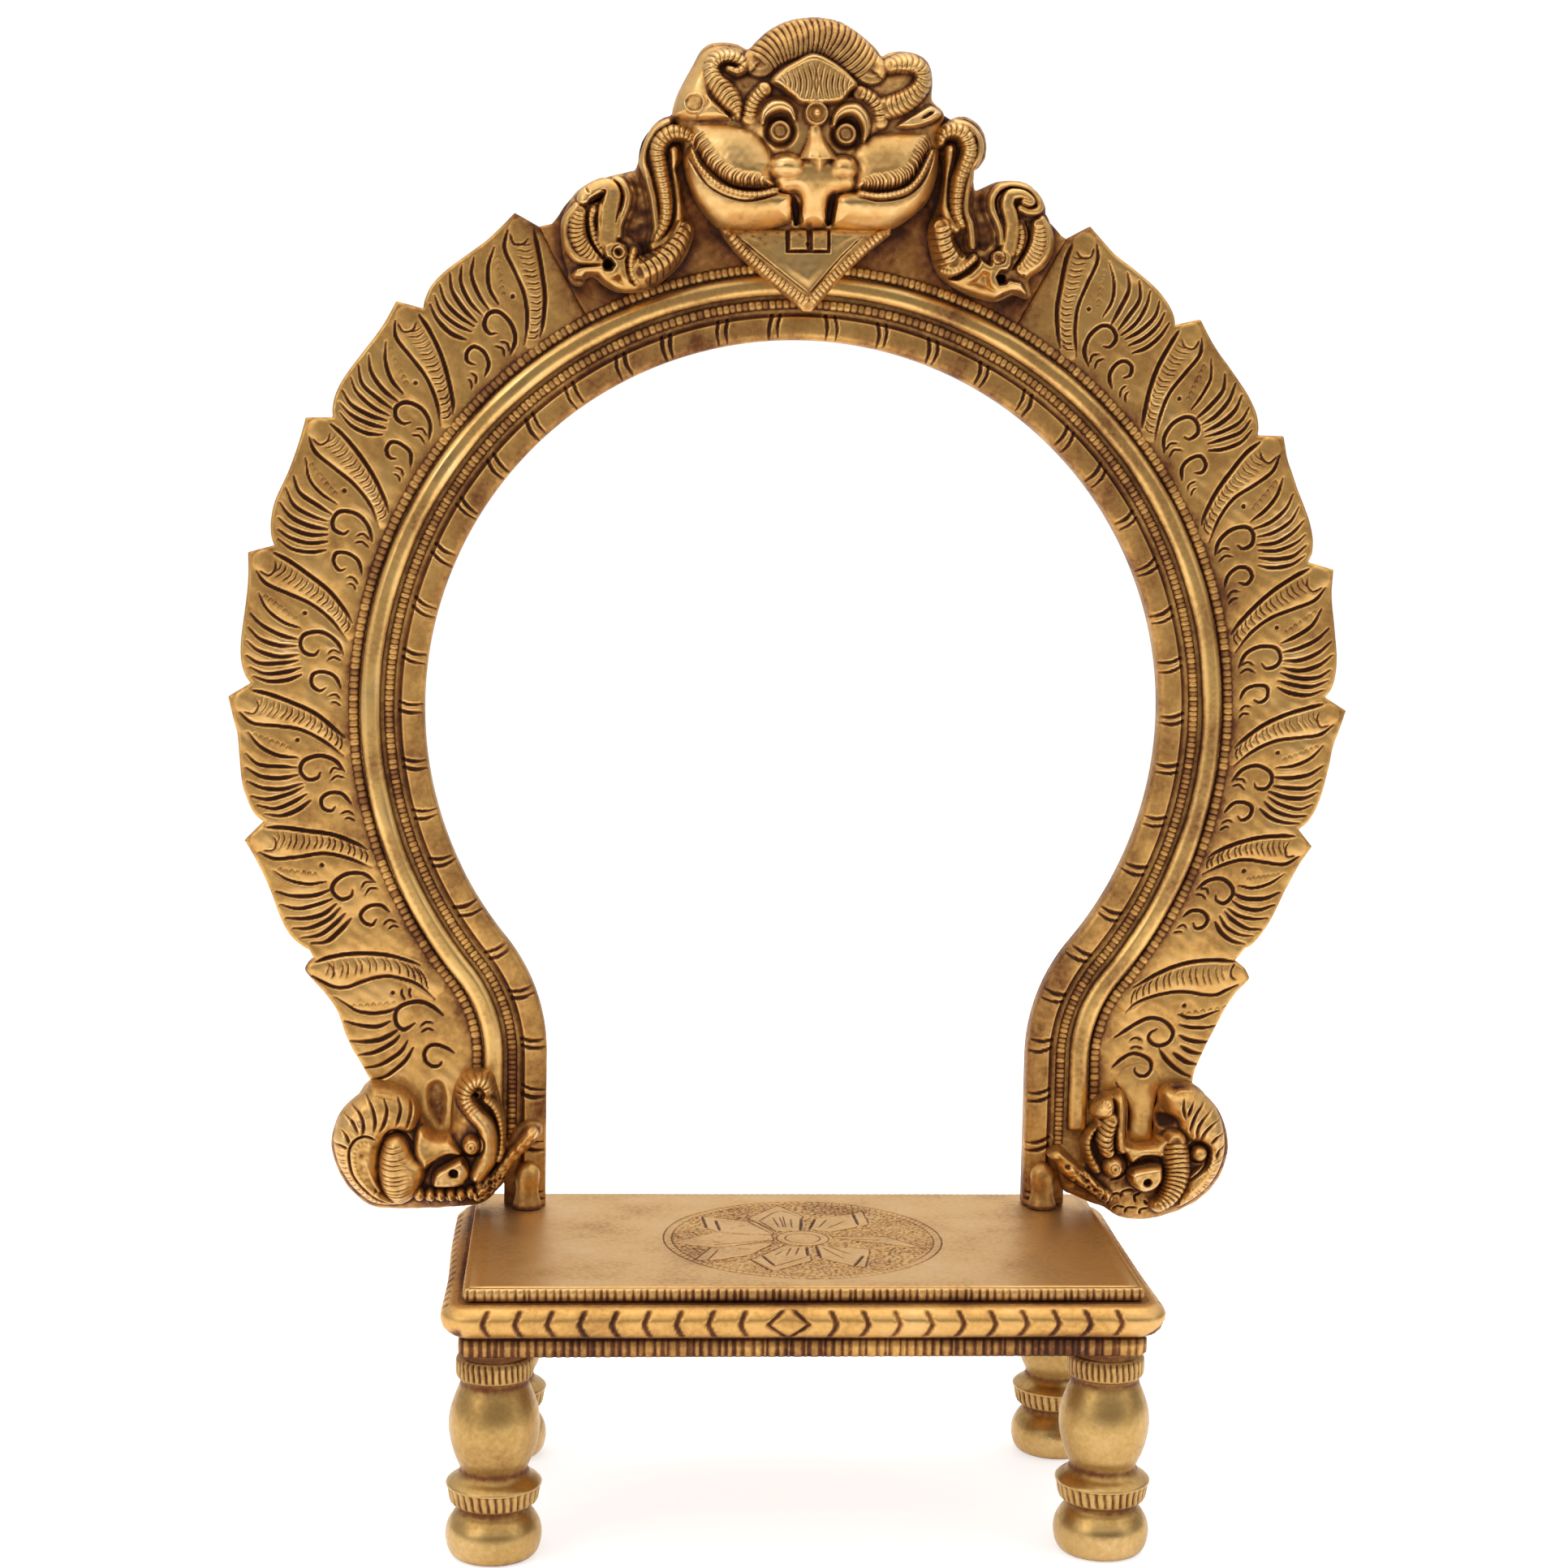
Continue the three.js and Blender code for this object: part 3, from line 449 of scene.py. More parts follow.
class Shells:
    """Collects closed shells, which become one object."""

    def __init__(self):
        self.vertices, self.faces, self.tones, self.flat = [], [], [], []
        self.count = 0

    def add(self, vertices, faces, tone, flat=()):
        self.flat += [len(self.faces) + f for f in flat]
        self.faces += [tuple(self.count + v for v in face) for face in faces]
        self.vertices.append(np.asarray(vertices, float))
        self.tones.append(np.asarray(tone, float))
        self.count += len(vertices)

    def tube(self, rings, tone, wrap_rings=False):
        """A closed shell through rings of points, with flat ends unless the rings run round."""
        rows, columns = rings.shape[:2]
        faces = grid_faces(rows, columns, wrap_rings, True)
        flat = []
        if not wrap_rings:
            flat = [len(faces), len(faces) + 1]
            faces.append(tuple(range(columns)))
            faces.append(tuple((rows - 1) * columns + k for k in reversed(range(columns))))
        tones = np.broadcast_to(tone, (rows, columns)).ravel()
        self.add(rings.reshape(-1, 3), faces, tones, flat)

    def lathe(self, radius, height, tone, centre, segments):
        """A closed turned shell: each row of the grids is a point of its profile."""
        turn = np.linspace(0, 2 * math.pi, segments, endpoint=False)
        x, y = centre[0] + radius * np.cos(turn), centre[1] + radius * np.sin(turn)
        self.tube(np.stack([x, y, np.broadcast_to(height, x.shape)], -1), tone)

    def make(self, name, material):
        places, tones = np.vstack(self.vertices), np.concatenate(self.tones)
        return new_object(name, places, self.faces, tones, self.flat, material)


def grid_faces(rows, columns, wrap_rows=False, wrap_columns=False):
    """Quads over a grid of points counted row by row."""
    i = np.arange(rows if wrap_rows else rows - 1)
    j = np.arange(columns if wrap_columns else columns - 1)
    i, j = (v.ravel() for v in np.meshgrid(i, j, indexing="ij"))
    i2, j2 = (i + 1) % rows, (j + 1) % columns
    corners = [i * columns + j, i2 * columns + j, i2 * columns + j2, i * columns + j2]
    return [tuple(quad) for quad in np.stack(corners, 1).tolist()]


def plate_relief(outline, spacing, base, margin=1.0, far=6.0):
    """A relief over the box of an outline, which knows its distance from the outline's edge."""
    low, high = outline.min(0) - margin, outline.max(0) + margin
    xs, zs = (np.arange(a, b + spacing, spacing) for a, b in zip(low, high))
    x, z = np.meshgrid(xs, zs, indexing="ij")
    relief = Relief(x, z, spacing, base)
    edge = np.full(x.size, far)
    pick, gap, *_ = relief.near(np.vstack([outline, outline[:1]]), far)
    edge[pick] = gap
    relief.edge = np.where(inside_outline(x, z, outline), 1, -1) * edge.reshape(x.shape)
    relief.weight = (relief.edge > 0).astype(float)
    return relief


# How a plate's front rounds over at its outline, its least thickness and its back's tone
EDGE_RADIUS = 0.8
EDGE_DROP = 0.64
LEAST_THICKNESS = 0.3
BACK_TONE = 0.15


def relief_object(name, relief, back, material, tone):
    """A solid plate: the relief in front, cut out along its outline, with walls and a flat back."""
    edge = np.where(np.abs(relief.edge) < 1e-4 * relief.spacing, 1e-4, relief.edge)
    height = relief.finished() - EDGE_DROP * (1 - quarter_round(edge / EDGE_RADIUS))
    height = np.maximum(height, LEAST_THICKNESS)
    inside = edge > 0
    index = -np.ones(inside.shape, int)
    index[inside] = np.arange(inside.sum())
    vx, vz, vh, vt = (a[inside].tolist() for a in (relief.x, relief.z, height, tone))

    # Whole cells of the grid
    corners = inside.astype(int)
    corners_in = corners[:-1, :-1] + corners[1:, :-1] + corners[1:, 1:] + corners[:-1, 1:]
    i, j = np.nonzero(corners_in == 4)
    quads = np.stack([index[i, j], index[i + 1, j], index[i + 1, j + 1], index[i, j + 1]], 1)
    faces = [tuple(quad) for quad in quads.tolist()]

    # Cells that the outline crosses
    crossings = {}

    def crossing(a, b):
        """The point where the outline crosses the line between two grid places."""
        key = (a, b) if a < b else (b, a)
        if key not in crossings:
            t = edge[a] / (edge[a] - edge[b])
            kept = a if inside[a] else b
            crossings[key] = len(vx)
            vx.append(relief.x[a] + t * (relief.x[b] - relief.x[a]))
            vz.append(relief.z[a] + t * (relief.z[b] - relief.z[a]))
            vh.append(max(LEAST_THICKNESS, relief.height[kept] - EDGE_DROP))
            vt.append(tone[kept])
        return crossings[key]

    border = {}
    for i, j in np.argwhere((corners_in > 0) & (corners_in < 4)).tolist():
        cell = [(i, j), (i + 1, j), (i + 1, j + 1), (i, j + 1)]
        polygon, leaves = [], []
        for a, b in zip(cell, cell[1:] + cell[:1]):
            if inside[a]:
                polygon.append(int(index[a]))
            if inside[a] != inside[b]:
                if inside[a]:
                    leaves.append(len(polygon))
                polygon.append(crossing(a, b))
        if len(polygon) >= 3:
            faces.append(tuple(polygon))
            for place in leaves:
                border[polygon[place]] = polygon[(place + 1) % len(polygon)]

    # Walls and back
    ring_points = sorted(border)
    behind = {v: len(vx) + k for k, v in enumerate(ring_points)}
    front_count = len(faces)
    faces += [(b, a, behind[a], behind[b]) for a, b in border.items()]
    left = dict(border)
    while left:
        loop, at = [], next(iter(left))
        while at in left:
            loop.append(behind[at])
            at = left.pop(at)
        faces.append(tuple(reversed(loop)))
    x, z = (np.array(v + [v[k] for k in ring_points]) for v in (vx, vz))
    y = np.concatenate([back - np.array(vh), np.full(len(ring_points), back)])
    tones = vt + [BACK_TONE] * len(ring_points)
    flat = range(front_count, len(faces))
    return new_object(name, np.stack([x, y, z], 1), faces, tones, flat, material)


# Materials


def node(tree, kind, inputs=(), **settings):
    """A shader node with its settings and its constant inputs."""
    made = tree.nodes.new(kind)
    for key, value in settings.items():
        setattr(made, key, value)
    for key, value in dict(inputs).items():
        made.inputs[key].default_value = value
    return made


def map_range(low, high, to_low, to_high):
    """The inputs of a map range node."""
    return {"From Min": low, "From Max": high, "To Min": to_low, "To Max": to_high}


def blend(a, b, share):
    return tuple((1 - share) * u + share * v for u, v in zip(a, b))


# Colours of the patina, from worn bright metal and painted highlight to the dark of the hollows
WORN_AND_HIGHLIGHT = (1.0, 0.83, 0.54)
PALE = (0.92, 0.65, 0.33)
BROWN = (0.19, 0.066, 0.020)
DARK = (0.046, 0.013, 0.004)


def brass_material(name, gold, shine=0.3, wear=0.0, brushed=None, grain=1.0):
    """Antique brass: polished on high places and brown in hollows, by the mesh's tone; its palest
    colour is also used as a painted highlight.
    """
    material = bpy.data.materials.new(name)
    material.use_nodes = True
    tree = material.node_tree
    tree.nodes.clear()
    link = tree.links.new
    output = node(tree, "ShaderNodeOutputMaterial")
    shader = node(tree, "ShaderNodeBsdfPrincipled", {"Specular IOR Level": 0.3})
    link(shader.outputs["BSDF"], output.inputs["Surface"])
    place = node(tree, "ShaderNodeTexCoord")
    tone = node(tree, "ShaderNodeAttribute", attribute_type="GEOMETRY", attribute_name="tone")

    def noise(scale, detail, rough=0.5, stretch=(1, 1, 1)):
        mapping = node(tree, "ShaderNodeMapping", {"Scale": stretch})
        inputs = {"Scale": scale, "Detail": detail, "Roughness": rough}
        made = node(tree, "ShaderNodeTexNoise", inputs)
        link(place.outputs["Object"], mapping.inputs["Vector"])
        link(mapping.outputs["Vector"], made.inputs["Vector"])
        return made.outputs["Fac"]

    def add(a, b):
        made = node(tree, "ShaderNodeMath", operation="ADD")
        link(a, made.inputs[0])
        link(b, made.inputs[1])
        return made.outputs[0]

    def remap(value, *ends):
        made = node(tree, "ShaderNodeMapRange", map_range(*ends))
        link(value, made.inputs["Value"])
        return made.outputs["Result"]

    def bump(strength, distance, height, under=None):
        made = node(tree, "ShaderNodeBump", {"Strength": strength, "Distance": distance})
        link(height, made.inputs["Height"])
        if under is not None:
            link(under, made.inputs["Normal"])
        return made.outputs["Normal"]

    stain = remap(noise(70, 3), 0.3, 0.7, -0.16, 0.2)
    grains = remap(noise(900, 2, 0.6), 0.3, 0.7, -0.09, 0.12)
    mixed = add(add(tone.outputs["Fac"], stain), grains)
    level = remap(mixed, -1 - wear, 1 - wear, 0, 1)

    ramp = node(tree, "ShaderNodeValToRGB")
    stops = [
        # the palest colour, of worn metal and of painted highlights
        (0.0, WORN_AND_HIGHLIGHT),
        (0.14, PALE),
        (0.36, blend(gold, PALE, 0.25)),
        (0.5, gold),
        (0.63, blend(gold, BROWN, 0.45)),
        (0.77, BROWN),
        (0.93, DARK),
    ]
    elements = ramp.color_ramp.elements
    while len(elements) < len(stops):
        elements.new(0.5)
    for element, (at, colour) in zip(elements, stops):
        element.position = at
        element.color = (*colour, 1)
    link(level, ramp.inputs["Fac"])
    link(ramp.outputs["Color"], shader.inputs["Base Color"])
    link(remap(level, 0.25, 0.85, shine, 0.62), shader.inputs["Roughness"])
    link(remap(level, 0.6, 0.9, 1.0, 0.35), shader.inputs["Metallic"])

    normal = bump(0.35 * grain, 0.08 * MM, noise(1400, 3, 0.6))
    normal = bump(0.28 * grain, 0.4 * MM, noise(160, 2), normal)
    if brushed is not None:
        normal = bump(0.25, 0.05 * MM, noise(1, 2, 0.6, brushed), normal)
    link(normal, shader.inputs["Normal"])
    return material


cast_brass = brass_material("cast_brass", (0.67, 0.375, 0.112))
# The mask and jaw's brass is smoother than the cast brass, and its paler gold is a painted
# highlight
mask_brass_painted_highlight = brass_material("mask_brass_painted_highlight", (0.72, 0.42, 0.14), shine=0.26, grain=0.45)
polished = brass_material(
    "polished_brass", (0.76, 0.46, 0.15), shine=0.2, wear=-0.12, grain=0.6
)
hammered = brass_material(
    "seat_brass", (0.68, 0.40, 0.14), brushed=(400, 40, 400), grain=0.5
)
turned = brass_material(
    "turned_brass", (0.50, 0.305, 0.10), shine=0.19, brushed=(60, 60, 2200), grain=0.6
)
aged_brass = brass_material("aged_brass", (0.52, 0.25, 0.075), shine=0.42, wear=0.18)


# The camera, worked out from the photograph: its place, its turn in degrees and its focal
# length in pixels
CAMERA_PLACE = (-44.18, -577.06, 218.27)
CAMERA_YAW, CAMERA_PITCH, CAMERA_ROLL = 4.00, 6.75, 1.09
FOCAL_PIXELS = 3545.66
FRAME_PIXELS = 1932
SENSOR_MM = 36.0


def camera_axes():
    """The camera's forward, right and up directions."""
    yaw, pitch, roll = (math.radians(v) for v in (CAMERA_YAW, CAMERA_PITCH, CAMERA_ROLL))
    ahead = np.array([math.sin(yaw), math.cos(yaw), 0])
    forward = math.cos(pitch) * ahead - math.sin(pitch) * np.array([0, 0, 1])
    level = np.array([math.cos(yaw), -math.sin(yaw), 0])
    upward = np.cross(level, forward)
    right = math.cos(roll) * level + math.sin(roll) * upward
    return forward, right, math.cos(roll) * upward - math.sin(roll) * level


def seen(pixels, depth, axis=1):
    """Where pixels of the photograph meet the plane at a depth on an axis.

    Gives the two other coordinates: x and z, or x and y where the axis is z."""
    forward, right, up = camera_axes()
    offset = (np.atleast_2d(np.asarray(pixels, float)) - FRAME_PIXELS / 2) / FOCAL_PIXELS
    ray = forward + offset[:, :1] * right - offset[:, 1:] * up
    reach = (depth - CAMERA_PLACE[axis]) / ray[:, axis]
    return np.delete(CAMERA_PLACE + reach[:, None] * ray, axis, 1)


# The arch's places


def arch_places(offset, end_z, spacing):
    """Places along the arch, evenly spaced at an offset from the opening's edge.

    Gives x and z on the edge, the outward direction, and the length from the top."""
    circle = (OPENING_RADIUS + offset) * (math.pi / 2 + TURN_ANGLE)
    neck = (REVERSED_RADIUS - offset) * TURN_ANGLE
    half = circle + neck + (NECK_Z - end_z)
    count = 2 * round(half / spacing) + 1
    length = np.linspace(-half, half, count)
    a, side = np.abs(length), np.where(length < 0, -1, 1)
    theta = a / (OPENING_RADIUS + offset)
    psi = TURN_ANGLE - (a - circle) / (REVERSED_RADIUS - offset)

    def joined(on_circle, on_neck, on_foot):
        return np.where(a <= circle, on_circle, np.where(a <= circle + neck, on_neck, on_foot))

    out_x = joined(np.sin(theta), np.cos(psi), 1)
    out_z = joined(np.cos(theta), -np.sin(psi), 0)
    x = joined(OPENING_RADIUS * out_x, REVERSED_X - REVERSED_RADIUS * out_x, FOOT_X)
    z = joined(
        CENTRE_Z + OPENING_RADIUS * out_z,
        NECK_Z - REVERSED_RADIUS * out_z,
        NECK_Z - (a - circle - neck),
    )
    return side * x, z, side * out_x, out_z, length


def arch_grid(places, across, y):
    """Points beside each place of the arch: how far out, and at which y."""
    x, z, out_x, out_z = (v[:, None] for v in places[:4])
    return np.stack([x + out_x * across, np.broadcast_to(y, across.shape), z + out_z * across], -1)


def arch_line(offset, end_z):
    """A line along the arch at an offset from the opening's edge, and the length along it."""
    x, z, out_x, out_z, length = arch_places(offset, end_z, 2.0)
    return np.stack([x + offset * out_x, z + offset * out_z], 1), length


def polar(side, degrees, radius):
    """A place by its angle from the top of the arch and its distance from the circle's centre."""
    turn = np.radians(degrees)
    return np.stack([side * radius * np.sin(turn), CENTRE_Z + radius * np.cos(turn)], -1)


# The band's strip carries pairs of cuts: their pitch, how far a cut lies from its pair's
# middle, and the offset of the line on which they are spaced
BAND_LINE = 8.0
MARK_PITCH = 10.7
MARK_SHIFT = 0.9
MARK_LINE = 2.4


def make_band():
    """The band with its flat strip, which carries pairs of radial cuts."""
    places = arch_places(BAND_LINE, ARCH_FOOT, 0.33)
    x, z, out_x, out_z, length = places
    fine_width, foot_width = STRIP_WIDTH + 1.2, BAND_FOOT_WIDTH
    coarse = np.linspace(fine_width, BAND_WIDTH, 28)
    offsets = np.concatenate([np.arange(0, fine_width, 0.2), coarse])
    low_z = ARCH_FOOT + foot_width / 2
    taper = np.clip((z[:, None] - low_z) / (RIM_END_Z - low_z), 0, 1)
    narrowed = np.minimum(offsets, foot_width) + np.maximum(offsets - foot_width, 0) * taper
    across = np.where(z[:, None] < RIM_END_Z, narrowed, offsets)
    front = arch_grid(places, across, 0)
    relief = Relief(front[..., 0], front[..., 2], 0.27, ARCH_BACK - BAND_FRONT)

    strip = smoothstep(STRIP_WIDTH + 0.15 - across, 0, 0.35)
    crown = 0.25 * np.sin(np.pi * np.clip(across / STRIP_WIDTH, 0, 1))
    relief.height += strip * (STRIP_RISE + crown)
    relief.height += 0.07 * relief.noise(9, 3)
    groove = bell(across - STRIP_WIDTH - 0.45, 0.45)
    relief.height -= 0.3 * groove
    beside = 0.42 * smoothstep(across, STRIP_WIDTH + 0.2, STRIP_WIDTH + 1)
    relief.ink = np.maximum(0.5 * groove, beside)
    relief.ink += strip * (0.3 + 0.1 * relief.noise(6, 4))
    total = 2 * length[-1] / (OPENING_RADIUS + BAND_LINE) * (OPENING_RADIUS + MARK_LINE)
    pairs = int(total / MARK_PITCH)
    line = arch_places(MARK_LINE, ARCH_FOOT, 0.5)
    for mark in (np.arange(pairs + 1) / pairs - 0.5) * 2 * (line[4][-1] - 3):
        cut_pair(relief, line, mark + rng.uniform(-0.5, 0.5))
    relief.ease()
    tone = relief.tone(broad_gain=0.15)
    relief.height -= 1.1 * (1 - quarter_round(across / 1.3))

    front[..., 1] = ARCH_BACK - relief.finished()
    inner, outer_back = front[:, :1].copy(), front[:, -1:].copy()
    inner_back = inner + np.stack([out_x * 0.6, 0 * x, out_z * 0.6], -1)[:, None]
    inner[..., 1] = ARCH_BACK - 0.6
    inner_back[..., 1] = outer_back[..., 1] = ARCH_BACK
    rings = np.concatenate([front, outer_back, inner_back, inner], 1)
    back_tone = np.full_like(tone[:, :1], 0.1)
    shells = Shells()
    shells.tube(rings, np.concatenate([tone, tone[:, -1:], back_tone, tone[:, :1]], 1))
    return shells.make("arch_band_cast", cast_brass)


def cut_pair(relief, line, mark):
    """Two cuts across the band's strip, which lean away from the top."""
    for shift in (-MARK_SHIFT, MARK_SHIFT):
        s = mark + shift + rng.uniform(-0.12, 0.12)
        at = np.array([np.interp(s, line[4], line[k]) for k in range(4)])
        place, out, along = at[:2], at[2:], np.array([at[3], -at[2]])
        lean = np.sign(mark) * rng.uniform(0.3, 1.2)
        start = place + out * (STRIP_WIDTH + 0.5)
        end = place + out * rng.uniform(0.1, 0.6) + along * lean
        middle = (start + end) / 2 + along * rng.uniform(0.3, 0.5) * np.sign(mark)
        relief.cut([start, middle, end], 1.05 + rng.uniform(-0.25, 0.15), 0.7, (0.05, 0.5))


# The beaded rims: offset from the opening's edge, radius, lowest place, the pads' pitch at
# the sides and at the top, and seed
RIMS = {
    "inner": (7.3, 1.12, RIM_END_Z - 4, 1.08, 1.42, 31),
    "outer": (14.7, 1.2, ROLL_END_Z - 8.5, 1.36, 1.36, 32),
}

# What lies on the band starts this far inside it
SUNK = 0.1


def make_rim(name, offset, radius, end_z, pitch, top_pitch, seed):
    """A rounded rim cut into pads all along the arch, which may be longer near its top."""
    places = arch_places(offset, end_z, pitch / 9)
    length = places[4]
    r = np.random.default_rng(seed)
    pitches = pitch + (top_pitch - pitch) * bell(length, 60, 4)
    count = np.cumsum(np.gradient(length) / pitches)
    count += np.interp(length, np.linspace(length[0], length[-1], 60), r.uniform(-0.35, 0.35, 60))
    pad = np.sqrt(np.clip(1 - np.abs(2 * (count % 1) - 1) ** 2.6, 0, 1))[:, None]
    number = np.floor(count).astype(int)
    number -= number.min()
    uneven = r.uniform(-0.12, 0.08, number.max() + 1)[number][:, None]
    worn = r.uniform(-0.2, 0.2, number.max() + 1)[number][:, None]
    turns = np.linspace(0, math.pi, 9)
    across = offset - np.cos(turns) * radius * (0.82 + 0.18 * pad)
    rise = np.sin(turns) ** 0.75 * radius * 0.98 * (0.5 + 0.5 * pad + uneven)
    side_dark = 1 - np.sin(turns)
    tone = 0.6 * (1 - pad) + 0.65 * side_dark**1.2 + 0.42 - 0.3 * np.sin(turns) + worn
    shells = Shells()
    shells.tube(arch_grid(places, across, BAND_FRONT + SUNK - rise), np.clip(tone, -1, 1))
    return shells.make(f"{name}_rim_beaded", cast_brass)


# The roll runs on between the yali heads and the rims
ROLL_FOOT_Z = ROLL_END_Z - 14.5
ROLL_LINE = 11.2
ROLL_HALF = 2.1
ROLL_RISE = 2.05

# Its section, from its edge to its middle: distance across and rise, as shares
ROLL_SHARES = [
    (1.0, 0.0), (0.99, 0.4), (0.94, 0.56), (0.84, 0.68), (0.62, 0.86), (0.44, 0.96),
    (0.36, 0.985), (0.18, 1.0),
]


def make_roll():
    """The polished roll between the two rims: a flat top between two bevels."""
    places = arch_places(ROLL_LINE, ROLL_FOOT_Z, 0.9)
    length = places[4]
    half = np.array(ROLL_SHARES)
    aside, up = np.vstack([half * (-1, 1), (0, 1), half[::-1]]).T
    wobble = 1 + 0.03 * noise_along(length, 22, 5)
    drift = 0.12 * noise_along(length, 14, 6) * (up > 0.95)
    across = ROLL_LINE + aside * ROLL_HALF * wobble + drift
    tone = np.interp(up, (0, 0.5, 0.9, 1), (1.0, 0.6, -0.1, 0.2))
    # The roll's right half is darker: partly a browner patina, partly painted shade, as the light
    # from the right is weaker; the noise varies the patina at random
    tone = tone + 0.15 * noise_along(length, 17, 19) + 0.12 * (length[:, None] > 0)
    rings = arch_grid(places, across, BAND_FRONT + SUNK - up * ROLL_RISE * wobble)
    shells = Shells()
    shells.tube(rings, np.clip(tone, -1, 1))
    return shells.make("arch_roll_polished", polished)


def make_peg(side):
    """A round peg with a domed top, a waist, and a burr where it enters the seat."""
    radius = (peg_high[0] - peg_low[0]) / 2
    centre = (side * (peg_high[0] + peg_low[0]) / 2, (peg_low[1] + peg_high[1]) / 2)
    low, high = peg_low[2], peg_high[2]
    turns = np.linspace(0, math.pi / 2, 9)[1:-1]
    above = np.linspace(SEAT_TOP + 0.3, high - radius, 9)
    shaft = np.concatenate([[low + 1, SEAT_TOP, SEAT_TOP + 0.1], above])
    flare = 0.45 * bell(shaft - SEAT_TOP - 0.4, 1.3) * (shaft > SEAT_TOP)
    waist = 0.3 * bell(shaft - SEAT_TOP - 4, 1.8)
    dome = radius * np.cos(turns)
    r = np.concatenate([[radius - 0.3, radius], radius + flare - waist, dome, [0.12]])
    z = np.concatenate([[low, low + 0.3], shaft, high - radius + radius * np.sin(turns), [high]])
    tone = np.where(z < SEAT_TOP + 0.5, 0.6, 0.1)[:, None]
    shells = Shells()
    shells.lathe(r[:, None], z[:, None], tone, centre, 40)
    return shells.make(f"peg_{SIDES[side]}_turned", cast_brass)


# Feathers

FEATHERS = 7
FIRST_FEATHER = 28.8
FEATHER_PITCH = 14.72
VALLEY_RADIUS = 113.7
TIP_RISE = 4.7
FEATHER_ROOT = 93.8
FEATHER_LENGTH = 24.4
FEATHER_GRID = 0.27
RIBS = 15

# How far a plate laps over the band's outer edge
LAP = 1.2

# How far the right side's feathers draw in, and between which angles
RIGHT_DRAWN_IN = 4.6
DRAW_START, DRAW_END = 84, 117

# The foot of a feather plate runs behind the yali head: the head's box, from the middle out
YALI_START = FOOT_X + 6.7
YALI_BOTTOM = SEAT_TOP + 0.7
YALI_WIDTH = 38.3
YALI_HEIGHT = 30.5

# The scalloped edge of a feather: angle and rise, as shares of its pitch and its tip's rise
EDGE_SHARES = [
    (0.1, 1), (0.24, 0.76), (0.36, 0.64), (0.5, 0.6), (0.7, 0.6), (0.84, 0.5), (0.94, 0.28),
    (1.0, 0.02),
]

# The plate's edge behind the yali head, as shares of the head's box
BACKING_SHARES = [
    (0.84, 0.8), (0.93, 0.6), (0.965, 0.44), (0.93, 0.27), (0.85, 0.14), (0.72, 0.06), (0.5, 0.05),
    (0.3, 0.06), (0.12, 0.13),
]

# The strokes of a feather: angle from its upper notch and distance from its root, as shares
FEATHER_SHARES = {
    "rib top": [(0.05, 0.8), (0.08, 0.65), (0.14, 0.46), (0.225, 0.27), (0.35, 0.1), (0.43, 0.02)],
    "rib low": [(0.2, 0.91), (0.28, 0.8), (0.31, 0.6), (0.345, 0.39), (0.44, 0.2), (0.58, 0.04)],
    "tip curl": [(0.2, 0.88), (0.215, 0.79), (0.16, 0.75), (0.1, 0.77)],
    "dot": [(0.43, 0.43)],
    "down": [(0.35, 0.78), (0.46, 0.505)],
    "fan": [
        [(0.35, 0.85), (0.46, 0.745), (0.53, 0.6), (0.56, 0.44)],
        [(0.5, 0.88), (0.58, 0.77), (0.625, 0.6), (0.635, 0.44)],
        [(0.6, 0.89), (0.68, 0.77), (0.71, 0.6), (0.7, 0.45)],
        [(0.7, 0.89), (0.76, 0.76), (0.785, 0.59), (0.76, 0.43)],
        [(0.8, 0.87), (0.845, 0.745), (0.84, 0.57), (0.8, 0.42)],
        [(0.88, 0.84), (0.92, 0.7), (0.9, 0.54), (0.85, 0.4)],
        [(0.95, 0.8), (0.98, 0.66), (0.965, 0.51), (0.91, 0.38)],
    ],
    "scrolls": [
        [
            (0.72, 0.05), (0.61, 0.13), (0.56, 0.26), (0.59, 0.39), (0.66, 0.43), (0.735, 0.39),
            (0.745, 0.3), (0.7, 0.26),
        ],
        [
            (1, 0.05), (0.91, 0.11), (0.88, 0.21), (0.91, 0.295), (0.985, 0.3), (1.03, 0.24),
            (1, 0.18),
        ],
    ],
    "scroll ticks": [
        [(0.72, 0.19), (0.685, 0.14), (0.71, 0.07)], [(0.78, 0.19), (0.745, 0.13), (0.77, 0.06)],
        [(1.07, 0.16), (1.06, 0.1), (1.1, 0.05)], [(1.12, 0.14), (1.12, 0.09), (1.16, 0.05)],
    ],
}

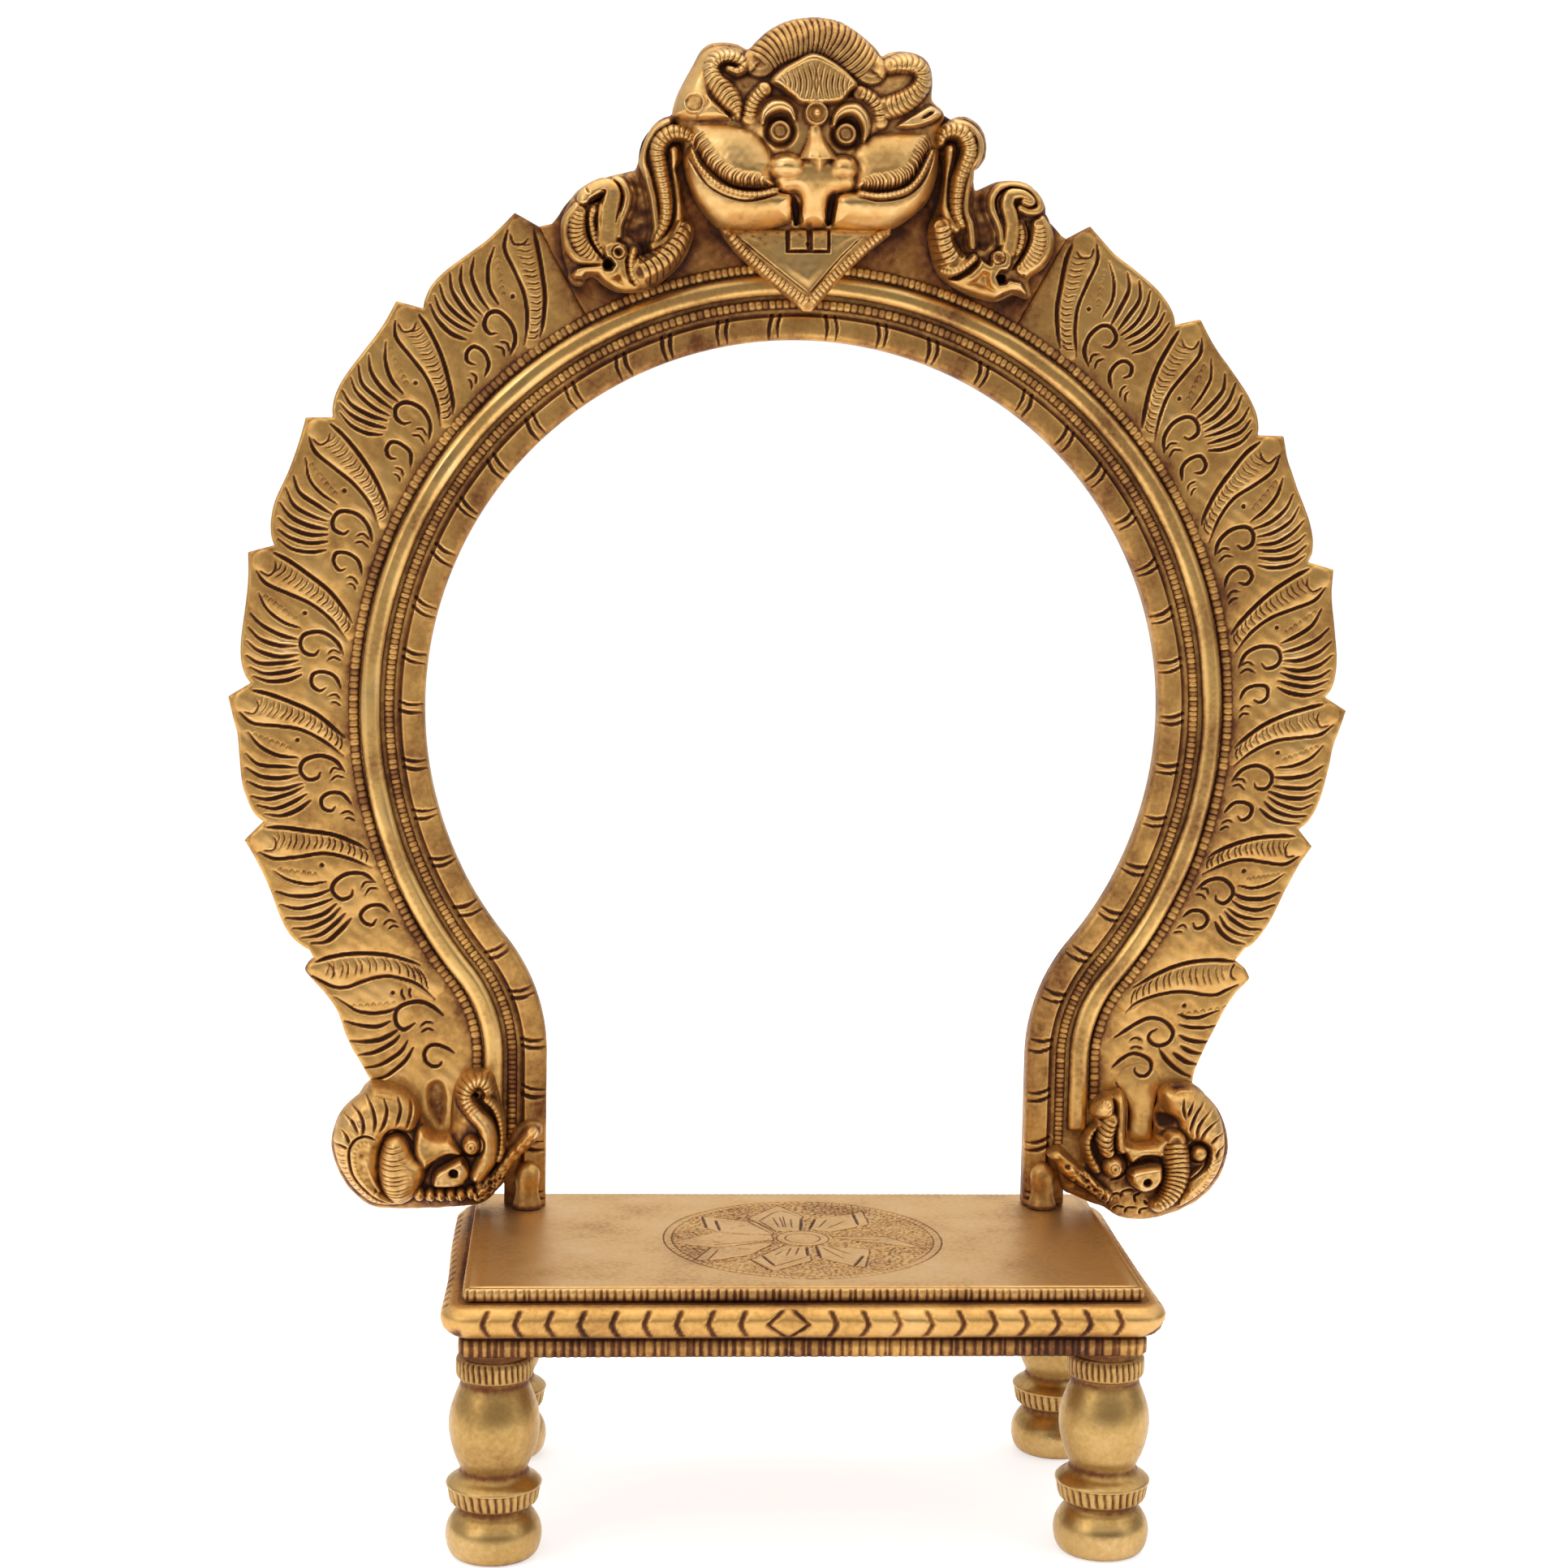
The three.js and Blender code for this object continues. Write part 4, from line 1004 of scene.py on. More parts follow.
# The lowest feather of each side, drawn over the photograph
LAST_FEATHER_PIXELS = {
    "left": {
        "edge": [
            (386.5, 1181.5), (377.5, 1189), (375.5, 1195), (378.5, 1200), (386.5, 1209.5),
            (400.5, 1225), (413.5, 1242.5), (419.5, 1256.5), (426, 1276), (435, 1295), (444, 1309),
            (451.5, 1323), (457.5, 1332.5),
        ],
        "rib top": [
            (389, 1185.5), (405.5, 1180), (427.5, 1176), (453, 1175), (478.5, 1177.5),
            (497.5, 1182), (518, 1189),
        ],
        "rib low": [
            (384, 1202), (397, 1209.5), (412, 1216.5), (427.5, 1216.5), (441.5, 1211.5),
            (459.5, 1205.5), (478.5, 1203), (497.5, 1206.5), (513, 1212), (525.5, 1221),
            (536, 1231),
        ],
        "tip curl": [(404, 1185.5), (409.5, 1191.5), (412, 1199.5), (408.5, 1205)],
        "dot": [(484, 1223.5)],
        "down": [(436.5, 1236.5), (485, 1232.5)],
        "fan": [
            [
                (412, 1228), (425, 1236.5), (439, 1245.5), (453, 1248.5), (467, 1248.5),
                (482, 1245.5), (495, 1239.5),
            ],
            [(423.5, 1257.5), (436.5, 1262), (451.5, 1265), (467, 1265), (482, 1258)],
            [(431, 1283), (449, 1284), (467, 1282), (478.5, 1277), (490, 1269.5)],
            [(441.5, 1300), (459.5, 1297.5), (474.5, 1291), (486, 1283.5), (492.5, 1276)],
            [(449, 1316), (467, 1313), (482, 1305), (495, 1295), (502.5, 1282)],
            [(458, 1331.5), (474.5, 1327), (487.5, 1318), (500, 1306.5), (509.5, 1290.5)],
        ],
        "scrolls": [
            [
                (546.5, 1251.5), (541, 1246.5), (532, 1240), (520.5, 1235), (508, 1235),
                (495, 1239.5), (488, 1246.5), (487, 1256.5), (490, 1264.5), (496.5, 1269),
                (502.5, 1267), (511.5, 1260.5),
            ],
            [
                (560, 1297.5), (548.5, 1291), (537, 1287.5), (528, 1290), (523, 1297.5),
                (524.5, 1308), (532, 1314), (541, 1313.5), (544.5, 1308),
            ],
        ],
        "scroll ticks": [
            [(518, 1264.5), (525.5, 1259.5), (533.5, 1260.5)],
            [(519, 1272), (527, 1267.5), (534.5, 1269.5)],
            [(495.5, 1218.5), (495, 1225), (499, 1232)],
            [(506, 1217), (504.5, 1223.5), (506.5, 1229.5)],
        ],
    },
    "right": {
        "edge": [
            (1522, 1184), (1533, 1192), (1538.5, 1201.5), (1539.5, 1206.5), (1534, 1213),
            (1523.5, 1223.5), (1513, 1238), (1504.5, 1253), (1498.5, 1265), (1488, 1285),
            (1481, 1300.5), (1475, 1313.5), (1471, 1325), (1469.5, 1337),
        ],
        "rib top": [
            (1521, 1185), (1502, 1183.5), (1483.5, 1184), (1464.5, 1186.5), (1445.5, 1192),
            (1426.5, 1200), (1409, 1209.5), (1396, 1216.5),
        ],
        "rib low": [
            (1525.5, 1213), (1511.5, 1220), (1498.5, 1226), (1483.5, 1226), (1468, 1223),
            (1450, 1222), (1431.5, 1225), (1415, 1229.5), (1398.5, 1236.5), (1386.5, 1247.5),
        ],
        "tip curl": [(1521, 1187), (1516.5, 1195.5), (1517, 1203.5), (1523.5, 1207)],
        "dot": [(1459, 1239)],
        "down": [(1509, 1238), (1456, 1247.5)],
        "fan": [
            [(1502, 1245), (1490.5, 1249.5), (1478.5, 1254), (1464.5, 1254.5), (1451.5, 1249.5)],
            [(1498.5, 1264), (1479.5, 1267), (1464.5, 1266), (1452.5, 1262.5)],
            [(1489, 1283.5), (1476, 1284), (1463, 1281.5), (1452.5, 1275.5)],
            [(1481, 1298), (1474, 1298), (1464.5, 1295.5), (1454, 1288.5)],
            [(1475, 1311.5), (1464.5, 1310), (1455, 1305), (1445.5, 1297.5)],
            [(1466.5, 1326.5), (1457.5, 1323), (1446.5, 1315.5), (1436, 1305), (1428, 1292)],
        ],
        "scrolls": [
            [
                (1372.5, 1279), (1385.5, 1271), (1400.5, 1261.5), (1415, 1255), (1429, 1256),
                (1439.5, 1262.5), (1445.5, 1272), (1442, 1282.5), (1432.5, 1288.5), (1422, 1287.5),
                (1415.5, 1280.5), (1417, 1273.5), (1425.5, 1268),
            ],
            [
                (1370, 1315.5), (1380.5, 1306.5), (1393.5, 1299), (1406.5, 1300.5), (1417, 1307.5),
                (1418.5, 1317), (1411.5, 1325), (1403, 1325), (1397.5, 1319.5), (1398.5, 1314.5),
            ],
        ],
        "scroll ticks": [
            [(1391, 1282.5), (1399.5, 1279), (1408, 1282.5)],
            [(1392.5, 1292), (1399.5, 1290), (1408, 1292)],
            [(1452.5, 1336), (1461, 1334.5), (1469, 1335)],
        ],
    },
}

# The tongue by the left side's lowest feather and the column by the right side's
TONGUE_PIXELS = [
    (522.5, 1342), (530, 1330.5), (541.5, 1328.5), (551, 1338.5), (553, 1357.5), (551, 1376.5),
    (545.5, 1392), (534, 1384), (524.5, 1363),
]
COLUMN_PIXELS = [
    [(1375, 1334), (1389.5, 1366), (1389.5, 1393)], [(1428.5, 1341), (1424, 1366), (1421.5, 1393)],
]


def feather_place(side, degrees, radius):
    """A place on the feathers; the right side draws in towards its foot, as in the photograph."""
    share = (radius - FEATHER_ROOT) / FEATHER_LENGTH
    drawn = RIGHT_DRAWN_IN * smoothstep(degrees, DRAW_START, DRAW_END) * share * (side > 0)
    return polar(side, degrees, radius - drawn)


def feather_outline(side, jitter):
    """The plate's outline: scallops outside, a stretch behind the head, and the band's edge."""
    points = []
    for number in range(FEATHERS - 1):
        start = FIRST_FEATHER + number * FEATHER_PITCH
        points.append(feather_place(side, start, VALLEY_RADIUS))
        edge = []
        for along, rise in EDGE_SHARES:
            radius = VALLEY_RADIUS + rise * TIP_RISE + jitter.uniform(-0.12, 0.12)
            edge.append(feather_place(side, start + along * FEATHER_PITCH, radius))
        points.extend(smooth_path(edge, steps=5)[:-1])
    last = LAST_FEATHER_PIXELS[SIDES[side]]["edge"]
    points.extend(smooth_path(seen(last, BAND_FRONT), steps=3))
    backing = [
        (side * (YALI_START + u * YALI_WIDTH), YALI_BOTTOM + v * YALI_HEIGHT)
        for u, v in BACKING_SHARES
    ]
    points.extend(smooth_path(backing, steps=5))
    points.append((side * (FOOT_X + 5), YALI_BOTTOM + 0.5 * YALI_HEIGHT))
    inner, length = arch_line(BAND_WIDTH - LAP, ARCH_FOOT + 14)
    angle = np.degrees(np.arctan2(np.abs(inner[:, 0]), inner[:, 1] - CENTRE_Z))
    keep = (np.sign(length) == side) & (angle > FIRST_FEATHER)
    points.extend(inner[keep][np.argsort(-np.abs(length[keep]))])
    points.append(polar(side, FIRST_FEATHER, BAND_RADIUS - LAP))
    return np.array(points, float)


def make_feathers(side):
    """The plate of engraved feathers on one side of the arch."""
    jitter = np.random.default_rng(40 + side)
    outline = feather_outline(side, jitter)
    relief = plate_relief(outline, FEATHER_GRID, ARCH_BACK - BAND_FRONT + SUNK)
    for number in range(FEATHERS):
        engrave_feather(relief, side, number, jitter)
    if side < 0:
        reach = 1.6
        tongue = smooth_path(seen(TONGUE_PIXELS, BAND_FRONT), True, 4)
        pick, depth = relief.within(tongue, reach)
        relief.height.flat[pick] -= 0.8 * smoothstep(depth, 0, reach)
        relief.ink.flat[pick] += 0.3 * smoothstep(depth, 0, reach)
    else:
        sides = [evenly(seen(line, BAND_FRONT)) for line in COLUMN_PIXELS]
        relief.raise_between(*sides, 0.7)
        for line in sides:
            relief.cut(line, 1.0, 0.8, (0.4, 0.1), 0.7, smooth=False)
    foot, length = arch_line(BAND_WIDTH - 0.2, ARCH_FOOT + 8)
    pick, gap, *_ = relief.near(foot[np.sign(length) == side], 9.0)
    relief.shade(pick, 0.5 * np.exp(-gap / 1.3))
    relief.height += 0.1 * relief.noise(12, 9) + 0.05 * relief.noise(3, 10)
    # Painted shade: both plates are darkened a little, the right one more, as the light from the
    # right is weaker; the noise varies the patina at random
    relief.ink += (0.1 if side > 0 else 0.04) + 0.1 * relief.noise(7, 12)
    seam = polar(side, FIRST_FEATHER, np.array([BAND_RADIUS, VALLEY_RADIUS + 6]))
    pick, gap, *_ = relief.near(seam, 14.0)
    relief.shade(pick, 0.45 * np.exp(-gap / 5))
    relief.ease()
    relief.soften(0.7, 0.8)
    relief.soften(1.7, 0.6)
    name = f"feathers_{SIDES[side]}_chased"
    return relief_object(name, relief, ARCH_BACK - SUNK, cast_brass, relief.tone())


def engrave_feather(relief, side, number, jitter):
    """One feather, by shares or from the photograph: a ribbed leaf, a fan, scrolls and ticks."""
    start = FIRST_FEATHER + number * FEATHER_PITCH
    drawn = number == FEATHERS - 1
    marks = LAST_FEATHER_PIXELS[SIDES[side]] if drawn else FEATHER_SHARES

    def at(shares, loose=0.16):
        if drawn:
            return seen(shares, BAND_FRONT)
        along, out = np.array(shares, float).T
        degrees, radius = start + along * FEATHER_PITCH, FEATHER_ROOT + out * FEATHER_LENGTH
        place = feather_place(side, degrees, radius)
        return place + jitter.uniform(-loose, loose, place.shape)

    rib_top, rib_low = (evenly(at(marks[key])) for key in ("rib top", "rib low"))
    relief.raise_between(rib_top, rib_low, 0.45)
    relief.cut(rib_top, 1.0, 0.75, (0.1, 0.15), 0.85, smooth=False)
    relief.cut(rib_low, 0.9, 0.65, (0.12, 0.2), 0.8, smooth=False)
    relief.cut(at(marks["tip curl"], 0.08), 0.6, 0.34, (0.1, 0.2), 0.7)
    for share in 0.12 + 0.84 * np.arange(RIBS) / (RIBS - 1):
        a, b = (line[int(share * (len(line) - 1))] for line in (rib_top, rib_low))
        first, last = a + 0.14 * (b - a), a + (0.62 + 0.25 * share) * (b - a)
        inward = np.array([0, CENTRE_Z]) - a
        inward /= np.linalg.norm(inward)
        middle = (first + last) / 2 + inward * (0.55 + jitter.uniform(-0.1, 0.1))
        depth, ink = 0.24 + 0.12 * share, 0.4 + 0.45 * share
        relief.cut([first, middle, last], 0.5, depth, (0.2, 0.2), ink)
    for k, stroke in enumerate(marks["fan"]):
        wide = 1.05 + jitter.uniform(-0.14, 0.14) - (0.2 if k == 0 else 0)
        relief.cut(at(stroke, 0.22), wide, 0.75, (0.45, 0.25), jitter.uniform(0.65, 0.95))
    for stroke in marks["scroll ticks"]:
        relief.cut(at(stroke, 0.15), 0.7, 0.4, (0.2, 0.2), 0.75)
    for stroke, wide in zip(marks["scrolls"], (1.0, 0.9)):
        relief.cut(at(stroke, 0.14), wide, 0.68, (0.12, 0.15), jitter.uniform(0.8, 1.0))
    relief.dots(at(marks["dot"]), 0.55, -0.4, 0.8)
    for spot in np.linspace(*at(marks["down"], 0), 7):
        for lean in (-0.55, 0.5):
            end = spot + (lean + jitter.uniform(-0.15, 0.15), -0.8)
            relief.cut([spot, end], 0.36, 0.14, (0.2, 0.4), 0.4)


# Ornament, drawn over the photograph

CREST_PLATE_PIXELS = {
    "left": [
        (680, 275.5), (687.5, 266.5), (694, 256), (705.5, 242), (712, 236.5), (731, 223.5),
        (751.5, 218), (774.5, 211.5), (782, 209.5), (786, 202.5), (791, 174.5), (810, 150.5),
        (826.5, 142),
    ],
    "top": [
        (840.5, 125), (870.5, 72), (921, 67.5), (948.5, 49), (1003.5, 30.5), (1061, 53.5),
        (1084, 76.5), (1139, 79), (1141.5, 125),
    ],
    "right": [
        (1154.5, 136.5), (1170.5, 146.5), (1190, 158), (1197.5, 170), (1197, 197.5), (1199, 233.5),
        (1212, 232.5), (1233.5, 233.5), (1265, 245), (1285, 265), (1297, 277), (1308.5, 290.5),
    ],
}

MASK_PIXELS = {
    "outline": [
        (828.5, 138.5), (834, 118), (843, 99.5), (854.5, 79), (863.5, 62.5), (876, 53.5),
        (893.5, 52), (909.5, 55), (922, 61), (930, 53.5), (945, 40), (962.5, 30), (980.5, 24.5),
        (1003.5, 22.5), (1026.5, 25.5), (1047.5, 33.5), (1065.5, 46.5), (1079.5, 59.5),
        (1086.5, 69), (1095.5, 65), (1109.5, 63), (1125.5, 65), (1139.5, 72), (1147, 84.5),
        (1149, 102), (1148, 120), (1151.5, 127.5), (1161, 136), (1163.5, 145.5), (1157.5, 159),
        (1156.5, 190), (1154.5, 217.5), (1141.5, 250), (1118.5, 271), (1098, 282.5), (1070, 285.5),
        (1026.5, 286.5), (967, 286.5), (918.5, 285.5), (889, 282.5), (869.5, 264.5),
        (854.5, 241.5), (845, 215), (841.5, 190), (839.5, 167), (834, 152.5),
    ],
    "hump": [
        (829, 141), (834, 118), (843.5, 99.5), (855, 79.5), (864.5, 63.5), (877, 55), (893.5, 53),
        (912, 57), (921, 64.5), (912, 79), (889, 79), (874, 102), (879.5, 125), (896, 138.5),
        (906, 147.5), (856.5, 147),
    ],
    "flap": [(868, 112), (904, 147.5), (858.5, 147.5), (856.5, 138.5), (869.5, 125)],
    "slit": [(892.5, 136), (903, 148)],
    "dimple": [(855.5, 126)],
    "crest": [
        (937, 74), (948.5, 61), (965, 50.5), (985, 45), (1004.5, 43.5), (1024, 46.5), (1041, 56),
        (1057, 69.5), (1073, 84),
    ],
    "hood": [
        (948, 101), (960, 86.5), (981, 74.5), (1001.5, 65.5), (1023, 74), (1044, 89.5),
        (1057, 105), (1047, 115), (1038, 127), (1022, 131), (987, 131), (975, 122), (960, 110),
    ],
    "hood foot": [
        (966, 106), (976.5, 118), (993.5, 127.5), (1015.5, 128.5), (1032.5, 125), (1045, 111.5),
    ],
    "hood rim": [(958, 95.5), (978, 83.5), (1001.5, 74), (1024, 83), (1048, 100.5)],
    "dot": [(1005, 141.5)],
    "eye left": [(960.5, 162.5)],
    "eye right": [(1041.5, 166)],
    "lid left": [
        (938.5, 154), (940.5, 143), (949, 134.5), (961, 131.5), (972.5, 137), (977.5, 149),
    ],
    "lid right": [
        (1025.5, 156), (1030, 144), (1041, 136.5), (1053.5, 137), (1063, 147), (1066, 161),
        (1063, 174),
    ],
    "nose": [(1003.5, 157), (1005, 170.5), (1006.5, 184.5), (1008, 199)],
    "facet": [(1008, 198), (1018, 213.5), (994, 215)],
    "nostril left": [(969, 207)],
    "nostril right": [(1037.5, 208.5)],
    "muzzle": [
        (961, 201), (953, 212.5), (953, 224), (962.5, 238), (980.5, 238), (986, 245),
        (986.5, 258.5), (984, 277.5), (1018, 278), (1019.5, 258.5), (1022, 242.5), (1033.5, 238),
        (1050.5, 234.5), (1054.5, 222), (1049.5, 206), (1033.5, 196.5), (994.5, 194.5),
        (976, 195.5),
    ],
    "gap left": [(978, 242.5), (982, 259), (985.5, 276)],
    "gap right": [(1028, 238.5), (1025, 256.5), (1022, 275)],
    "cheek left": [
        (856, 151.5), (877.5, 152), (907, 155), (930, 162), (943, 177), (951, 190), (956, 203),
        (952, 217), (955, 229), (948.5, 232.5), (930, 233), (912, 231), (893, 224.5), (879.5, 215),
        (867.5, 203), (859, 190), (853.5, 178), (852, 164.5),
    ],
    "cheek right": [
        (1141, 163), (1123, 163.5), (1095.5, 164.5), (1072.5, 167), (1058, 176), (1049, 190),
        (1050, 206), (1052, 224), (1056, 234.5), (1077, 236), (1095.5, 235), (1115.5, 229),
        (1129.5, 216.5), (1141, 199.5), (1149, 184), (1147, 170),
    ],
    "upper line left": [
        (858, 180.5), (867, 199), (881, 214), (898, 227.5), (916.5, 234.5), (935, 236),
        (951.5, 234),
    ],
    "upper line right": [
        (1149.5, 183), (1141.5, 197), (1130.5, 216), (1116, 229.5), (1096, 236.5), (1077, 237.5),
        (1059, 236),
    ],
    "bead left": [
        (852, 184), (860, 203), (874, 220), (891, 232.5), (912, 239.5), (935, 240), (955.5, 235.5),
    ],
    "bead right": [
        (1149.5, 186), (1142.5, 201), (1132.5, 219.5), (1119, 233), (1100, 240), (1079.5, 242),
        (1059, 239),
    ],
    "lower line left": [
        (847.5, 191), (858, 209), (871.5, 228), (889, 240), (907, 246.5), (923.5, 248), (944, 244),
        (958, 239),
    ],
    "lower line right": [
        (1151.5, 190), (1146.5, 206), (1135, 226.5), (1119, 240.5), (1100, 246.5), (1079.5, 248),
        (1060, 243.5),
    ],
    "jowl left": [
        (846, 184), (858, 180.5), (867, 199), (881, 214), (898, 227.5), (916.5, 234.5), (935, 236),
        (951.5, 234), (974, 238), (977, 252), (977, 270), (967, 276), (948.5, 281), (923.5, 285),
        (900.5, 283.5), (880, 278), (861, 266), (845, 245), (838, 219.5),
    ],
    "jowl right": [
        (1158, 184), (1157, 202), (1155, 226.5), (1143.5, 252), (1127, 269.5), (1105, 281),
        (1086.5, 285.5), (1063.5, 285.5), (1040.5, 282.5), (1027, 278), (1026, 264.5), (1029, 245),
        (1040, 237), (1059, 236), (1077, 237.5), (1096, 236.5), (1116, 229.5), (1130.5, 216),
        (1141.5, 197), (1149.5, 183),
    ],
    "horn left": [
        (909.5, 146), (906, 133), (898, 120.5), (889, 108.5), (879.5, 96), (876, 81), (883, 70.5),
        (897, 67), (910, 71.5), (916.5, 80.5), (909, 88), (898, 85),
    ],
    "horn right": [
        (1091, 134), (1109.5, 128), (1126.5, 116.5), (1138, 102), (1138, 87), (1126.5, 77),
        (1111.5, 76), (1098, 79.5),
    ],
    "collar left": [(941, 111), (931, 121.5), (925, 134), (923, 145.5)],
    "collar right": [(1060, 116), (1072.5, 122.5), (1081, 135), (1084, 150.5)],
    "ear": [
        (1104.5, 155.5), (1125.5, 140.5), (1147, 128), (1159.5, 134), (1162, 140.5), (1150.5, 150),
        (1130, 157), (1114, 158.5),
    ],
    "ear slot": [(1135.5, 146.5), (1152, 136.5)],
    "stains": [
        (969, 183.5), (948.5, 100.5), (930, 95), (1075, 79), (1072.5, 104), (916.5, 106.5),
        (985.5, 147.5), (1024.5, 150), (944, 170.5), (1068, 168.5),
    ],
    "lash inner left": [
        (866, 158.5), (874, 177), (885.5, 193), (899, 206), (916.5, 214), (932.5, 215), (945, 220),
    ],
    "lash outer left": [
        (853.5, 176), (862.5, 195.5), (875, 210.5), (891, 222.5), (912, 229.5), (930, 231.5),
        (949.5, 231),
    ],
    "lash inner right": [
        (1138, 164.5), (1127.5, 179.5), (1121, 194.5), (1112, 206), (1100, 212), (1084, 216),
        (1069, 218.5), (1060, 223.5),
    ],
    "lash outer right": [
        (1149, 184), (1139.5, 200), (1129, 215.5), (1115.5, 227.5), (1096.5, 233.5), (1077, 235),
        (1059, 233.5),
    ],
    "face": [
        (915, 140), (935, 122), (960, 118), (1045, 118), (1075, 122), (1090, 140), (1088, 158),
        (1068, 172), (1054, 190), (1054, 232), (953, 232), (950, 190), (938, 172), (918, 158),
    ],
    "mouth fold": [(977, 240), (960, 236), (945, 236)],
}

JAW_PIXELS = {
    "outline": [
        (887, 280.5), (1099, 280.5), (1098, 289), (1071.5, 309.5), (1041.5, 337), (1009.5, 373.5),
        (1000, 384), (989.5, 383.5), (980, 373.5), (948.5, 348.5), (921, 323.5), (904.5, 307.5),
        (893, 292),
    ],
    "panel": [(917.5, 287.5), (1057.5, 288.5), (1033.5, 315), (997, 357), (955.5, 325.5)],
    "rim left": [
        (900.5, 291), (913, 307), (930, 322.5), (957.5, 345.5), (980.5, 362.5), (995.5, 372),
    ],
    "rim right": [(1087.5, 288.5), (1067, 306), (1041.5, 328), (1018.5, 351), (1000, 372)],
    "line left": [(910.5, 292), (948.5, 323.5), (995, 360.5)],
    "line right": [(1063.5, 291), (1037, 316.5), (999, 360.5)],
    "gum": [(968, 280.5), (1024.5, 280.5), (1024.5, 312), (968, 311.5)],
    "tooth left": [(973.5, 282), (995, 282), (995.5, 307.5), (973.5, 307.5)],
    "tooth right": [(1001.5, 282), (1020.5, 282), (1020.5, 308), (1001.5, 308)],
    "nick": [(995, 300)],
}

BIRD_LEFT_PIXELS = {
    "outline": [
        (710.5, 236), (722, 228), (731, 223), (741, 220), (756.5, 216.5), (774.5, 211.5),
        (782, 209.5), (785.5, 202.5), (792, 179.5), (802.5, 158), (818, 145), (838, 144),
        (856, 158), (861, 179.5), (846, 192.5), (833, 207.5), (837.5, 225.5), (840.5, 251),
        (849.5, 266.5), (855.5, 281.5), (851.5, 302), (839.5, 325), (818, 345.5), (795, 359),
        (777, 361), (759, 359.5), (744, 352), (731, 341.5), (722, 344), (718.5, 352), (708, 352),
        (700.5, 343), (699, 330), (694, 315), (691.5, 297), (691, 276.5), (695.5, 261), (703, 246),
    ],
    "plume": [
        (748, 295), (749.5, 276.5), (750.5, 258.5), (754, 243.5), (751.5, 231), (742, 227.5),
        (731.5, 232), (722, 238.5), (718.5, 244),
    ],
    "plume hook": [(724.5, 250.5), (735, 246.5), (743, 241.5), (745.5, 235), (741, 233.5)],
    "plume nick": [(721.5, 230.5), (724, 235.5), (726.5, 238.5)],
    "back strand": [
        (758.5, 219), (767.5, 226), (773, 238.5), (772, 251), (767.5, 264), (762.5, 276.5),
        (761.5, 289.5),
    ],
    "back groove": [
        (756.5, 221), (763.5, 229.5), (766, 239.5), (764, 252.5), (761, 264), (758.5, 275.5),
    ],
    "fan": [(714, 261), (710.5, 275.5), (711, 289.5), (716.5, 302), (726, 312), (736, 319.5)],
    "fan rim": [
        (710.5, 254), (699, 267.5), (695, 281.5), (697, 297), (705, 312), (717, 320.5),
        (741, 322.5),
    ],
    "bead": [(731.5, 256), (728, 271.5), (731, 286.5), (736, 302), (742.5, 311)],
    "dark": [(724, 260), (724, 279), (727, 294.5), (735, 308.5), (745, 321)],
    "head": [
        (743, 302), (751.5, 298.5), (761.5, 297), (771, 302), (774.5, 312), (772, 322.5),
        (773.5, 335), (777, 345.5), (788.5, 355), (782, 359), (769.5, 360), (756.5, 356),
        (745, 348.5), (736, 338.5), (722.5, 338), (718.5, 343.5), (707.5, 343), (703.5, 338),
        (710.5, 330.5), (722, 328), (733.5, 327), (743, 325.5), (746.5, 332.5), (752.5, 332.5),
        (756.5, 326.5), (752.5, 320), (746.5, 318), (744, 311),
    ],
    "eye": [(762.5, 311)],
    "nostril": [(748.5, 325.5)],
    "collar": [(781, 308.5), (778, 318.5), (777.5, 330), (780, 340.5), (786, 350)],
    "neck": [(791, 335), (802.5, 329.5), (818, 319.5), (830, 306.5), (838, 294.5), (844.5, 281.5)],
    "scarf rib": [
        (813.5, 207.5), (816.5, 223), (819.5, 238.5), (821, 255), (819.5, 271.5), (814, 285.5),
        (808, 295),
    ],
    "scarf top": [(858.5, 176), (851, 167), (838, 163), (825.5, 164.5), (815, 173), (810, 187)],
    "scarf in": [
        (830.5, 184.5), (833, 207.5), (836, 229.5), (838, 248.5), (837, 266.5), (832, 281.5),
        (820.5, 294.5), (805.5, 303),
    ],
    "scarf out": [
        (823, 149), (807.5, 158), (796, 177), (792, 197.5), (798.5, 219), (804.5, 243.5),
        (807.5, 264), (809, 281.5), (805.5, 294.5),
    ],
    "pool": [(786, 253.5), (788.5, 281.5), (791, 299.5)],
}

